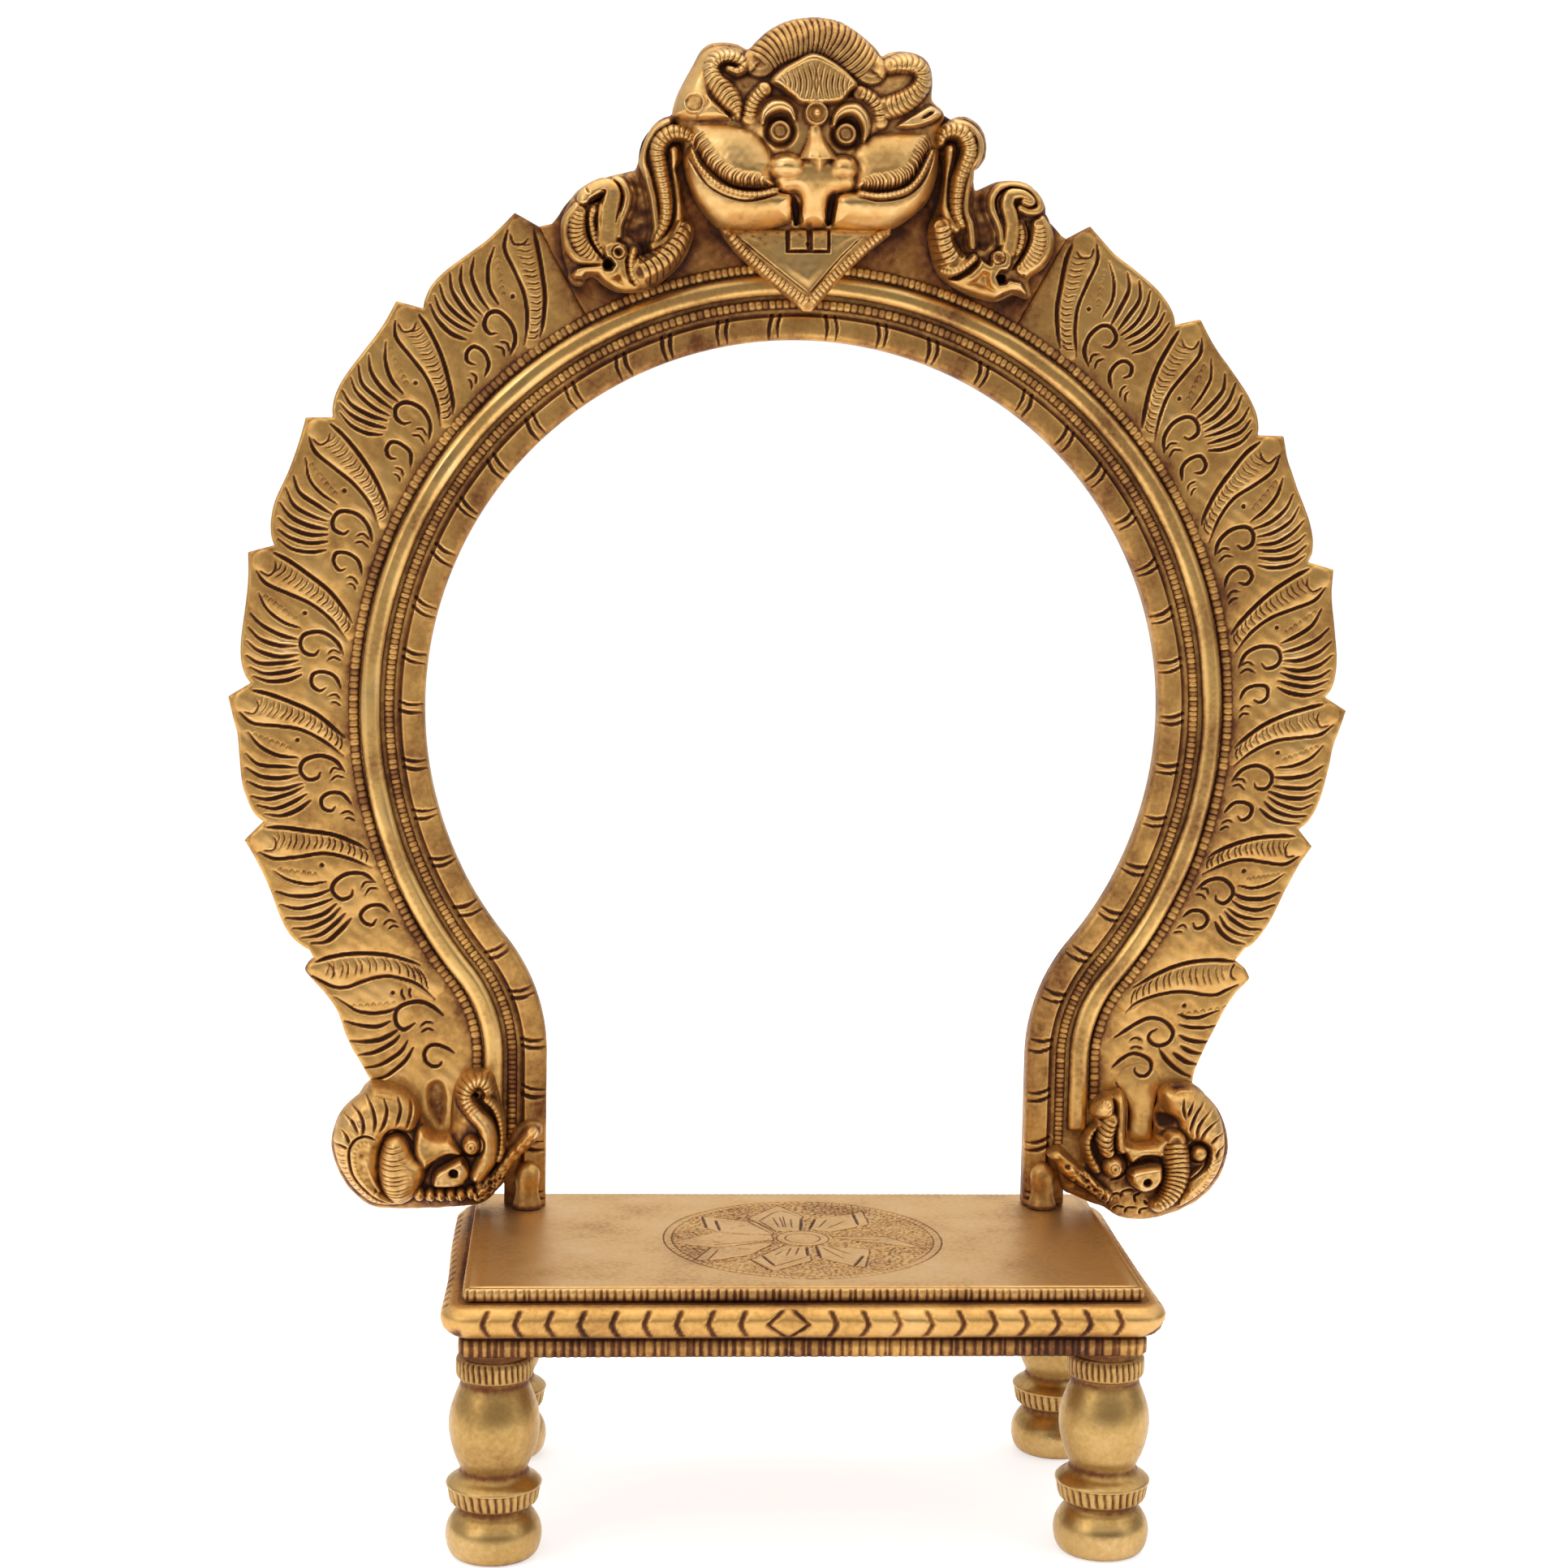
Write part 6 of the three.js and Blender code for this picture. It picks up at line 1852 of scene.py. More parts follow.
def make_jaw():
    """The pointed lower jaw: a beaded border round a bright panel with two teeth."""
    edge = seen(JAW_PIXELS["outline"], JAW_DEPTHS[0])
    relief, px = start_ornament(edge, JAW_PIXELS, JAW_DEPTHS[1], JAW_PLATE)
    for side in SIDES.values():
        relief.strand(px[f"rim {side}"], 1.15, 1.0, 0.4, (1.0, 0.4, 0.4, 0.15))
        relief.cut(px[f"line {side}"], 0.5, 0.3, (0.1, 0.05), 0.25)
    pick, depth = relief.within(px["panel"], 2.0)
    slope = 0.1 * (relief.z.flat[pick] - px["panel"][:, 1].mean())
    relief.height.flat[pick] -= slope * smoothstep(depth, 0, 2.0)
    # The panel is lightened: partly its polish, partly painted highlight
    relief.ink.flat[pick] -= 0.25 * smoothstep(depth, 0, 2.0)
    pick, depth = relief.within(px["gum"], 0.6)
    relief.height.flat[pick] -= 0.6 * smoothstep(depth, 0, 0.3)
    relief.shade(pick, 0.32)
    for side in SIDES.values():
        tooth = relief.mound(px[f"tooth {side}"], 0.3, 0.35, sharp=True)
        relief.ink.flat[tooth] = 0.15
    relief.dots(px["nick"], 0.5, -0.5, 0.6)
    relief.ink += 0.25 * np.maximum(relief.noise(1.1, 54), 0) * smoothstep(relief.z, 254, 260)
    relief.height += 0.012 * relief.noise(1.8, 53)
    tone = ornament_tone(relief, -0.05)
    return relief_object("mask_jaw_cast", relief, JAW_BACK, mask_brass_painted_highlight, tone)


# What differs between the birds: the widths and rises of the neck, its ribs, and the plume
BIRD_NECKS = {
    "left": ([3.4, 3.1, 2.8, 2.4, 2.0, 1.5], [2.8, 2.8, 2.6, 2.3, 2.0], (1.5, 0.6, 0.5, 0.35)),
    "right": ([2.2, 2.6, 2.9, 3.1], [2.0, 2.4, 2.7], (1.35, 0.5, 0.5, 0.35)),
}
PLUME_WIDTHS = {
    "left": [2.1, 2.15, 2.2, 2.2, 1.95, 1.65, 1.5, 1.45, 1.3],
    "right": [1.6, 1.55, 1.5, 1.45, 1.35, 1.15, 0.95, 0.7],
}


def make_bird(side):
    """A crested bird on a ribbed neck, tied to the mouth by a ribbed scarf."""
    name = SIDES[side]
    pixels = BIRD_LEFT_PIXELS if side < 0 else BIRD_RIGHT_PIXELS
    edge = ornament_edge(pixels, BIRD_DEPTHS)
    relief, px = start_ornament(edge, pixels, BIRD_DEPTHS[1], BIRD_PLATE)
    px["scarf"] = np.vstack([px["scarf top"], px["scarf rib"]])
    relief.height += 0.15 * relief.noise(3, 54)
    relief.ink += 0.5 + 0.12 * relief.noise(2, 55)

    def lay(key, half, rise, power=0.4, ribs=None, ink=0.4):
        """A strand that wipes off most of the ink under it."""
        pick, gap, *_ = relief.near(smooth_path(px[key]), np.max(half))
        relief.ink.flat[pick] *= smoothstep(gap, 0.8 * np.min(half), np.max(half))
        relief.strand(px[key], half, rise, power, ribs, ink)

    crown = ("fan", "fan rim", "bead", "plume", "back strand", "head", "neck", "collar")
    relief.swell([px[key] for key in crown], 2.4, 1.7)
    relief.swell([px[key] for key in ("scarf", "scarf in", "scarf out")], 2.0, 1.2)
    half, rise, ribs = BIRD_NECKS[name]
    lay("neck", half, rise, 0.45, ribs, 0.45)
    lay("scarf out", 0.85, 1.5)
    lay("scarf in", 0.95, 1.6)
    half = [1.6, 1.8, 1.8, 1.7, 1.6, 1.5, 1.3, 0.9]
    lay("scarf", half, [2.8, 3.0, 2.8, 2.6], ribs=(1.1, 0.42, 0.4, 0.2))
    lay("fan rim", 0.95, 1.5)
    lay("fan", [1.4, 1.95, 2.0, 1.9, 1.3], 1.8, 0.35, (0.86, 0.4, 0.38, 0.25))
    lay("back strand", 0.9, 1.4)
    lay("bead", 0.85, 1.3, ribs=(0.95, 0.35, 0.38, 0))
    lay("plume", PLUME_WIDTHS[name], 2.0, 0.16)
    if side < 0:
        relief.cut(px["plume hook"], 0.6, 1.4, ink=0.5)
        relief.cut(px["plume nick"], 0.45, 0.7, ink=0.4)
    relief.cut(px["back groove"], 0.5, 1.0, ink=0.5)
    relief.cut(px["dark"], 0.7, 1.4, ink=0.6)
    relief.clean_mound(px["head"], 2.4, 0.7, sharp=True)
    eye = px["eye"][0]
    relief.cut(ring(eye, 1.45), 0.35, 0.4, (0, 0), 0.6, smooth=False)
    relief.strand(ring(eye, 1.05), 0.35, 2.9)
    relief.dots(eye, 0.7, -0.4, 0.4)
    relief.dots(px["nostril"], 1.0, -2.0, 0.7)
    lay("collar", 0.95, 2.8, 0.5, (0.85, 0.35, 0.36, 0.3))
    relief.stain(px["pool"], 2.4, 0.8)
    relief.height += 0.03 * relief.noise(1.6, 56)
    relief.ease(FINE_EASE)
    tone = ornament_tone(relief)
    return relief_object(f"bird_{name}_cast", relief, MASK_BACK, cast_brass, tone)


# Where crumbs of old casting crust lie along each yali's arm, as shares of its length
CRUST_SHARES = {-1: (0.0, 0.4), 1: (0.35, 0.95)}
CRUMBS = 60


def make_yali(side):
    """A beast's head at the foot of the arch: mane, ribbed lobe, trunk, eye and ear."""
    pixels = YALI_LEFT_PIXELS if side < 0 else YALI_RIGHT_PIXELS
    edge = ornament_edge(pixels, YALI_DEPTHS)
    relief, px = start_ornament(edge, pixels, YALI_DEPTHS[1], YALI_PLATE)
    relief.height += 0.15 * relief.noise(4, 57)
    relief.ink += 0.32
    relief.clean_mound(px["mane"], 2.4, 2.6)
    relief.mound(px["shine"], 2.9, 1.2)
    for stroke in px["fan"]:
        relief.cut(stroke, 0.9, 0.75, (0.5, 0.25), 0.5)
    relief.rays(px["rim in"], px["rim out"], 17, 0.4, 0.4, (0.1, 0.95), 0.08, ink=0.4)
    relief.strand(px["hook"], 0.9, 2.6, 0.5, (0.95, 0.3, 0.38, 0), 0.35)
    relief.cut(px["hook line"], 0.7, 0.8, (0.05, 0.1), 0.5)
    relief.clean_mound(px["cheek"], 3.4, 2.0)
    relief.strand(px["arm"], [2.1, 2.0, 1.6, 1.3, 1.5], [2.8, 3.0, 2.2, 2.0], 0.35)
    relief.ink.flat[relief.around(px["arm"], 1.6)] *= 0.35
    arm = smooth_path(px["arm"])
    pick, gap, *_ = relief.near(arm, 2.0)
    rough = noise_field(relief.x.flat[pick], relief.z.flat[pick], 2.4, 59)
    relief.height.flat[pick] += 0.25 * rough * smoothstep(2.0 - gap, 0, 1)
    shape = shape_left_yali if side < 0 else shape_right_yali
    shape(relief, px)
    crust = np.random.default_rng(61)
    for share in crust.uniform(*CRUST_SHARES[side], CRUMBS):
        place = arm[int(share * (len(arm) - 1))] + crust.uniform(-1.4, 1.4, 2)
        radius, rise = crust.uniform(0.3, 0.7), crust.choice([-0.45, 0.35])
        relief.dots(place, radius, rise, crust.uniform(0.1, 0.6))
    relief.height += 0.03 * relief.noise(1.6, 58)
    relief.ease(FINE_EASE)
    tone = ornament_tone(relief, -0.04)
    return relief_object(f"yali_{SIDES[side]}_cast", relief, MASK_BACK, cast_brass, tone)


def shape_left_yali(relief, px):
    """The left head's own forms: a ribbed lobe, scales, a curled trunk, an eye and an ear."""
    relief.stain(px["hook pool"], 0.9, 0.7)
    relief.strand(px["hook rod"], 0.55, 2.4)
    relief.clean_mound(px["lobe"], 4.2, 3.0)
    sides = px["lobe ribs left"], px["lobe ribs right"]
    relief.rays(*sides, 13, 0.5, 0.42, (0.0, 0.92), -0.09, (0.15, 0.5), 0.45)
    relief.cut(px["lobe arc"], 0.7, 0.7, (0.1, 0.3), 0.5)
    for k, place in enumerate(px["scales"]):
        relief.dome(place, (1.25, 1.7), 3.2 - 0.15 * k, 0.45)
    for place in px["scale ticks"]:
        relief.cut([place, place + (0.9, -1.2), place + (1.2, -2.8)], 0.55, 0.7, (0.15, 0.3), 0.5)
    trunk = px["trunk"]
    relief.clear(relief.around(trunk, 2.0))
    relief.strand(trunk[:6], [1.8, 2.2, 2.1, 2.0, 1.9, 1.7], [4.2, 4.3, 3.6])
    half, ribs = [1.5, 1.9, 2.0, 2.1, 2.0, 1.8, 1.4], (0.95, 0.6, 0.45, 0.2)
    relief.strand(trunk[3:], half, [3.4, 4.2, 4.3, 4.3], 0.5, ribs, 0.5)
    relief.cut(px["hollow"], 1.0, 2.6, ink=0.7)
    relief.strand(px["bead"], 0.95, 3.0, 0.5, (0.98, 0.35, 0.38, 0.2), 0.35)
    relief.cut(px["socket"], 0.7, 0.8, (0.1, 0.1), 0.6)
    add_yali_eye(relief, px["eye"][0], (1.95, 2.15))
    relief.clean_mound(px["ear"], 4.4, 1.2)
    relief.cut(px["ear arc"], 0.6, 0.6, (0.1, 0.2), 0.5)
    relief.dots(px["hole"], 1.05, -2.0, 0.9)


def shape_right_yali(relief, px):
    """The right head's own forms: a boss, scales, a ribbed lobe and trunk, a knob, eye and ear."""
    dome = px["hook dome"][0]
    relief.cut(ring(dome, 2.0), 0.6, 0.6, (0, 0), 0.5, smooth=False)
    relief.dome(dome, 1.7, 2.9, 0.3)
    relief.stain(px["pocket"], 3.0, 0.8)
    pocket = px["pocket"][0]
    far = np.hypot((relief.x - pocket[0]) / 2.4, (relief.z - pocket[1]) / 1.5)
    relief.height -= 2.2 * bell(far, 1, 4)
    for arc in px["scale arcs"]:
        relief.cut(arc, 0.7, 0.7, (0.15, 0.15), 0.5)
    relief.clear(relief.around(px["lobe"], 2.2))
    half, ribs = [2.6, 3.1, 3.0, 2.8, 2.4, 1.8], (1.0, 0.6, 0.45, -0.3)
    relief.strand(px["lobe"], half, [3.9, 4.3, 4.2, 3.8], 0.5, ribs, 0.5)
    relief.strand(px["stem"], [1.5, 1.2, 1.2, 1.3, 1.4], [2.4, 2.9, 3.4])
    relief.strand(px["bead"], 1.15, 3.0, 0.5, (1.1, 0.45, 0.45, 0.2))
    relief.clear(relief.around(px["trunk"], 1.6))
    relief.strand(px["trunk"], [1.9, 2.0, 2.0, 1.7], 4.0, 0.5, (1.15, 0.6, 0.5, 0.4), 0.5)
    relief.clean_mound(px["knob"], 4.0, 1.5)
    knob = px["knob"].mean(0)
    for turn in np.radians(np.arange(20, 200, 30)):
        way = np.array([math.cos(turn), math.sin(turn)])
        relief.cut([knob + 0.5 * way, knob + 1.9 * way], 0.4, 0.3, (0.3, 0.3), 0.35)
    relief.cut(px["socket"], 0.75, 0.8, (0.1, 0.1), 0.6)
    add_yali_eye(relief, px["eye"][0], (2.3, 2.4))
    relief.clean_mound(px["ear"], 4.4, 1.3)
    relief.cut(px["ear arc"], 0.55, 0.5, (0.1, 0.2), 0.45)
    relief.cut(px["brow"], 0.6, 0.6, (0.1, 0.2), 0.5)
    relief.dots(px["hole"], 0.95, -1.9, 0.9)
    relief.strand(px["arm edge"], 0.85, 3.2)


def add_yali_eye(relief, eye, radii):
    relief.clear(np.flatnonzero(relief.far(eye) < min(radii)))
    relief.dome(eye, radii, 4.4, 0.4)
    relief.cut(ring(eye, 0.95), 0.35, 0.35, (0, 0), 0.6, smooth=False)
    relief.dots(eye, 0.45, -0.35, 0.7)


# Stool


def rectangle_places(half_x, half_y, radius, spacing):
    """Places round a rectangle with round corners, from the front's middle.

    Gives their x and y, their outward directions, and the length along."""
    sides = [
        ((0, -half_y), (half_x - radius, -half_y)),
        ((half_x, -half_y + radius), (half_x, half_y - radius)),
        ((half_x - radius, half_y), (-half_x + radius, half_y)),
        ((-half_x, half_y - radius), (-half_x, -half_y + radius)),
        ((-half_x + radius, -half_y), (0, -half_y)),
    ]
    outward = [(0, -1), (1, 0), (0, 1), (-1, 0), (0, -1)]
    arc = max(3, round(radius * math.pi / 2 / spacing))
    points, normals = [], []
    for k, ((a, b), out) in enumerate(zip(sides, outward)):
        a, b, out = (np.array(v, float) for v in (a, b, out))
        count = max(2, round(np.hypot(*(b - a)) / spacing))
        t = np.linspace(0, 1, count, endpoint=False)[:, None]
        points.append(a + t * (b - a))
        normals.append(np.tile(out, (count, 1)))
        if k < len(sides) - 1:
            turn = np.linspace(0, math.pi / 2, arc, endpoint=False) + math.atan2(out[1], out[0])
            normals.append(np.stack([np.cos(turn), np.sin(turn)], 1))
            points.append(b - radius * out + radius * normals[-1])
    points = np.vstack(points)
    return points, np.vstack(normals), lengths_along(points)


def ring_shell(shells, places, out, height, tone):
    """A ring round the seat, whose section goes out and up by grids or rows of numbers."""
    points, normals, _ = places
    shape = (len(points), out.shape[-1])
    out, height, tone = (np.broadcast_to(v, shape)[:, ::-1] for v in (out, height, tone))
    xy = points[:, None] + normals[:, None] * out[..., None]
    shells.tube(np.concatenate([xy, height[..., None]], -1), tone, wrap_rings=True)


def ticks(length, pitch, width, seed, jitter):
    """How deep a row of uneven ticks is cut at each place, from 0 to 1, as a column."""
    r = np.random.default_rng(seed)
    total = length[-1] + (length[1] - length[0])
    count = int(total / pitch)
    middles = (np.arange(count) + 0.5) * total / count + r.uniform(-jitter, jitter, count) * pitch
    depth = np.zeros_like(length)
    for middle in middles:
        tick = channel(np.abs(length - middle), width / 2)
        depth = np.maximum(depth, tick * r.uniform(0.75, 1))
    return depth[:, None]


# The seat plate's edge: how far out of its box and how high, the share of the ticks' depth
# there, and its tone
PLATE_INSET = 2.2
PLATE_EDGE = [
    (-PLATE_INSET, plate_high[2] - 0.2, 0, 0),
    (-1.3, plate_high[2] - 0.03, 0, -0.1),
    (-0.75, plate_high[2] - 0.01, 0.1, -0.15),
    (-0.32, plate_high[2] - 0.07, 0.7, -0.2),
    (-0.1, plate_high[2] - 0.3, 1, -0.1),
    (0.0, plate_high[2] - 0.8, 1, 0.08),
    (0.02, (plate_low[2] + plate_high[2]) / 2, 1, 0.12),
    (0.0, plate_low[2] + 0.8, 1, 0.22),
    (-0.1, plate_low[2] + 0.35, 0.9, 0.4),
    (-0.35, plate_low[2], 0.3, 0.55),
    (-PLATE_INSET, plate_low[2], 0, 0.6),
]


def make_seat_plate():
    """The flat seat with its ticked edge and the chased medallion."""
    places = rectangle_places(SEAT_HALF_X, SEAT_HALF_Y, 1.3, 0.3)
    length = places[2]
    out, up, share, tone = np.array(PLATE_EDGE).T
    cut = ticks(length, 1.5, 0.72, 11, 0.2) * share
    wave = 0.1 * noise_along(length, 34, 13)
    tone = np.clip(0.62 * cut + tone + 0.5 * wave, -1, 1)
    shells = Shells()
    ring_shell(shells, places, out - 0.45 * cut + wave * (share > 0.5), up, tone)
    add_seat_top(shells, PLATE_INSET - 0.9)
    return shells.make("seat_plate_chased", hammered)


MEDALLION_X = 1.8
MEDALLION_RADIUS = 28.7
MEDALLION_STEP = 0.26


def add_seat_top(shells, inset):
    """The top of the seat: a fine grid under the medallion, coarse beside it."""
    low, high = plate_low[2], plate_high[2]
    reach = MEDALLION_RADIUS + 1.5
    fine = np.arange(-reach, reach + MEDALLION_STEP / 2, MEDALLION_STEP)
    half_x, half_y = SEAT_HALF_X - inset, SEAT_HALF_Y - inset

    def with_margins(middle, half, count):
        left = np.linspace(-half, middle - reach, count)[:-1]
        right = np.linspace(middle + reach, half, count)[1:]
        return np.concatenate([left, middle + fine, right])

    xs, ys = with_margins(MEDALLION_X, half_x, 14), with_margins(0, half_y, 4)
    x, y = np.meshgrid(xs, ys, indexing="ij")
    relief = Relief(x, y, MEDALLION_STEP)
    edge = np.minimum(half_x - np.abs(x), half_y - np.abs(y))
    relief.height += 0.05 * relief.noise(30, 8) * smoothstep(edge, 0, 6)
    chase_medallion(relief)
    inside = np.hypot(x - MEDALLION_X, y) < MEDALLION_RADIUS + 1
    tone = np.where(inside, relief.tone(broad_gain=0.1), -0.05)
    top = np.stack([x, y, high + relief.finished()], -1).reshape(-1, 3)

    # The top's border, in order, and a copy of it on the underside
    rows, columns = x.shape
    index = np.arange(rows * columns).reshape(rows, columns)
    border = [*index[:, 0], *index[-1, 1:], *index[-2::-1, -1], *index[0, -2:0:-1]]
    first, count = rows * columns, len(border)
    faces = grid_faces(rows, columns)
    flat = range(len(faces), len(faces) + count + 1)
    for k in range(count):
        n = (k + 1) % count
        faces.append((int(border[n]), int(border[k]), first + k, first + n))
    faces.append(tuple(first + k for k in reversed(range(count))))
    under = top[border] * (1, 1, 0) + (0, 0, low)
    tones = np.concatenate([tone.ravel(), np.full(count, 0.1)])
    shells.add(np.vstack([top, under]), faces, tones, flat)


# The medallion's strokes, drawn over the photograph
MEDALLION_PIXELS = {
    "petals": [
        [(921.5, 1500.5), (958, 1485), (989, 1498.5), (986.5, 1517), (956, 1517)],
        [(925, 1551.5), (953.5, 1566), (1000.5, 1553), (994.5, 1536.5), (965, 1535), (939, 1546)],
        [
            (865, 1498.5), (881.5, 1500), (932, 1506), (953.5, 1518.5), (951, 1522),
            (882.5, 1517.5), (871, 1513),
        ],
        [(826, 1531), (882.5, 1517.5), (951, 1522), (953.5, 1528), (881.5, 1537)],
        [
            (854.5, 1553), (875, 1537.5), (941.5, 1530.5), (954.5, 1531.5), (925, 1545.5),
            (881.5, 1551.5),
        ],
        [
            (997, 1514.5), (1004, 1501.5), (1050, 1496), (1062, 1491.5), (1071, 1508),
            (1058.5, 1510.5), (1022, 1518),
        ],
        [(1026.5, 1523.5), (1092.5, 1523.5), (1141, 1539), (1083, 1531), (1026.5, 1525.5)],
        [
            (1005.5, 1534), (1071.5, 1539), (1071.5, 1544), (1066.5, 1561), (1052.5, 1559.5),
            (1011, 1550),
        ],
    ],
    "thick": [
        [(865, 1498.5), (871, 1513)], [(881.5, 1503), (887.5, 1516.5)],
        [(939, 1546.5), (955.5, 1560)], [(925, 1551.5), (952, 1566)],
        [(994, 1537), (995.5, 1547.5)], [(1005.5, 1535), (1011.5, 1549.5)],
        [(1051, 1496), (1057.5, 1509)], [(1064, 1546.5), (1052.5, 1559.5)],
        [(987.5, 1500), (986, 1517)], [(1004, 1502), (997, 1514.5)],
    ],
    "thin": [
        [(935.5, 1504), (960.5, 1492), (987.5, 1500.5)], [(935.5, 1504), (956, 1516.5)],
        [(955.5, 1560), (996, 1548)], [(939, 1546.5), (966.5, 1535)],
        [(872.5, 1551.5), (886, 1538.5)], [(1062, 1491.5), (1071, 1508)],
        [(1092.5, 1523.5), (1130.5, 1517.5)], [(1071.5, 1544.5), (1130.5, 1543.5)],
        [(952, 1500), (960.5, 1513)], [(960.5, 1499.5), (966.5, 1514)],
        [(964.5, 1498.5), (968, 1512.5)], [(974, 1501.5), (976, 1513)],
        [(1018.5, 1503), (1008, 1513)], [(1040.5, 1504.5), (1018.5, 1514)],
        [(900.5, 1513.5), (905.5, 1512.5)], [(909.5, 1511), (917, 1510)],
        [(885, 1523.5), (889.5, 1524)], [(879, 1529), (887.5, 1531)],
        [(963, 1542), (954.5, 1546.5)], [(974.5, 1538), (968.5, 1547.5)],
        [(984.5, 1537), (980, 1546.5)], [(1013.5, 1537.5), (1040.5, 1551)],
        [(1019.5, 1535), (1048, 1545.5)], [(908.5, 1537.5), (925, 1539)],
    ],
    "dotted": [
        [(922.5, 1505.5), (951, 1520)], [(892, 1520), (951, 1521)], [(881.5, 1533), (946.5, 1528)],
        [(1026.5, 1517.5), (1057, 1512.5), (1085.5, 1510.5)], [(1027.5, 1525.5), (1083, 1527.5)],
        [(882.5, 1553), (932, 1550)],
    ],
}

# The medallion's rings with their widths, and how many pits fill its ground
EYE_RING = 5.4
INNER_RING = MEDALLION_RADIUS - 1.7
MEDALLION_RINGS = [(MEDALLION_RADIUS, 0.5), (INNER_RING, 0.45), (EYE_RING, 0.5), (3.6, 0.42)]
PITS = 5200


def chase_medallion(relief):
    """A flower of eight unlike petals on a stippled ground, inside a double ring."""
    middle = np.array([MEDALLION_X, 0.0])

    def at(degrees, radius):
        turn = np.radians(degrees)
        return middle + np.stack([np.cos(turn) * radius, np.sin(turn) * radius], -1)

    for radius, width in MEDALLION_RINGS:
        relief.cut(at(np.linspace(0, 360, 90), radius), width, 0.2, (0, 0), 0.6)
    for turn in range(0, 360, 3):
        tick = [at(turn, MEDALLION_RADIUS - 1.5), at(turn + 1.0, MEDALLION_RADIUS - 0.3)]
        relief.cut(tick, 0.34, 0.12, (0.1, 0.1), 0.5)
    petals, thick, thin, dotted = (
        [seen(points, SEAT_TOP, 2) for points in MEDALLION_PIXELS[key]]
        for key in ("petals", "thick", "thin", "dotted")
    )
    for petal in petals:
        relief.cut(np.vstack([petal, petal[:1]]), 0.45, 0.18, (0, 0), 0.62, smooth=False)
    for stroke in thick:
        relief.cut(stroke, 0.95, 0.3, (0.1, 0.2), 0.75)
    for stroke in thin:
        relief.cut(stroke, 0.45, 0.18, (0.1, 0.3), 0.65)
    for line in dotted:
        path = smooth_path(line, steps=12) if len(line) > 2 else np.linspace(*line, 24)
        relief.dots(path, 0.3, -0.12, 0.55)

    def bare(x, y):
        """Whether each place lies outside all the petals."""
        return ~sum(inside_outline(x, y, petal) for petal in petals).astype(bool)

    far = relief.far(middle)
    ground = (far > EYE_RING) & (far < INNER_RING) & bare(relief.x, relief.z)
    relief.ink = np.maximum(relief.ink, 0.12 * ground)
    r = np.random.default_rng(21)
    spots = at(r.uniform(0, 360, PITS), MEDALLION_RADIUS * np.sqrt(r.uniform(0.04, 0.88, PITS)))
    clear_of_eye = np.hypot(*(spots - middle).T) > EYE_RING + 0.2
    relief.dots(spots[bare(*spots.T) & clear_of_eye], 0.36, -0.14, 0.36)


# The moulding's profile: how far out of the seat's box, and how far under the frame's top
MOULDING_HEIGHT = 6.6
MOULDING = [
    (-4, 0), (0.6, 0), (1.2, 0), (2.6, 0.45), (3.9, 1.6), (4.2, 2.9), (3.7, 4.6), (2.3, 6.0),
    (0.7, MOULDING_HEIGHT - 0.05), (0.15, MOULDING_HEIGHT + 0.1),
]

# The ticked band under it: how far out and how high, the share of the ticks' depth there,
# and its tone, which holds painted shade at the top, under the moulding's bulge, and grows
# darker again towards the bottom edge
FRAME_LOW = frame_low[2]
BAND_TOP = frame_high[2] - MOULDING_HEIGHT
FRAME_BAND = [
    (0.15, BAND_TOP - 0.3, 0.2, 0.75),
    (0.35, BAND_TOP - 0.5, 0.8, 0.6),
    (0.8, BAND_TOP - 0.8, 1, 0.32),
    (0.85, (FRAME_LOW + BAND_TOP) / 2, 1, 0.2),
    (0.8, FRAME_LOW + 0.5, 1, 0.3),
    (0.35, FRAME_LOW + 0.1, 0.8, 0.45),
    (-0.2, FRAME_LOW, 0.1, 0.55),
    (-4.0, FRAME_LOW, 0, 0.55),
]


def make_seat_frame():
    """The bulging moulding of chevrons and the ticked band under it."""
    places = rectangle_places(SEAT_HALF_X, SEAT_HALF_Y, 1.6, 0.42)
    length = places[2]
    wave = 0.14 * noise_along(length, 40, 14)

    out, down = smooth_path(MOULDING, steps=5).T
    share = np.clip(down / MOULDING_HEIGHT, 0, 1)
    depth = chevron_cuts(places[0], length, share)
    bulge = np.clip((out - 0.8) / 1.2, 0, 1)
    out = out - (0.75 * depth + wave) * bulge
    # Painted shade: the moulding is darker beside its bulge and on its lower quarter, which faces
    # down under the bulge; the brown in the chevron cuts is patina and the slightly lighter bulge
    # is wear
    tone = 0.07 + 0.68 * depth * bulge + 0.42 * (1 - bulge) + 0.4 * smoothstep(share, 0.75, 1)
    tone = tone - 0.08 * bulge * (1 - depth) + 0.6 * wave

    band_out, band_up, ticked, band_tone = np.array(FRAME_BAND).T
    cut = ticks(length, 1.6, 0.9, 12, 0.25) * ticked
    outs = np.concatenate([out, band_out - 0.45 * cut], 1)
    ups = np.concatenate([frame_high[2] - down, band_up])
    tones = np.concatenate([tone, band_tone + 0.6 * cut + 0.8 * wave], 1)
    shells = Shells()
    ring_shell(shells, places, outs, ups, np.clip(tones, -1, 1))
    add_corner_blocks(shells)
    return shells.make("seat_frame_cast", cast_brass)


# The diamond between the chevrons lies a little left of the middle, and the chevrons bend a
# little above the middle of the moulding
DIAMOND_X = -3.7
BEND_SHARE = 0.46
CHEVRON_PITCH = 6.2
SLANT_PITCH = 4.3


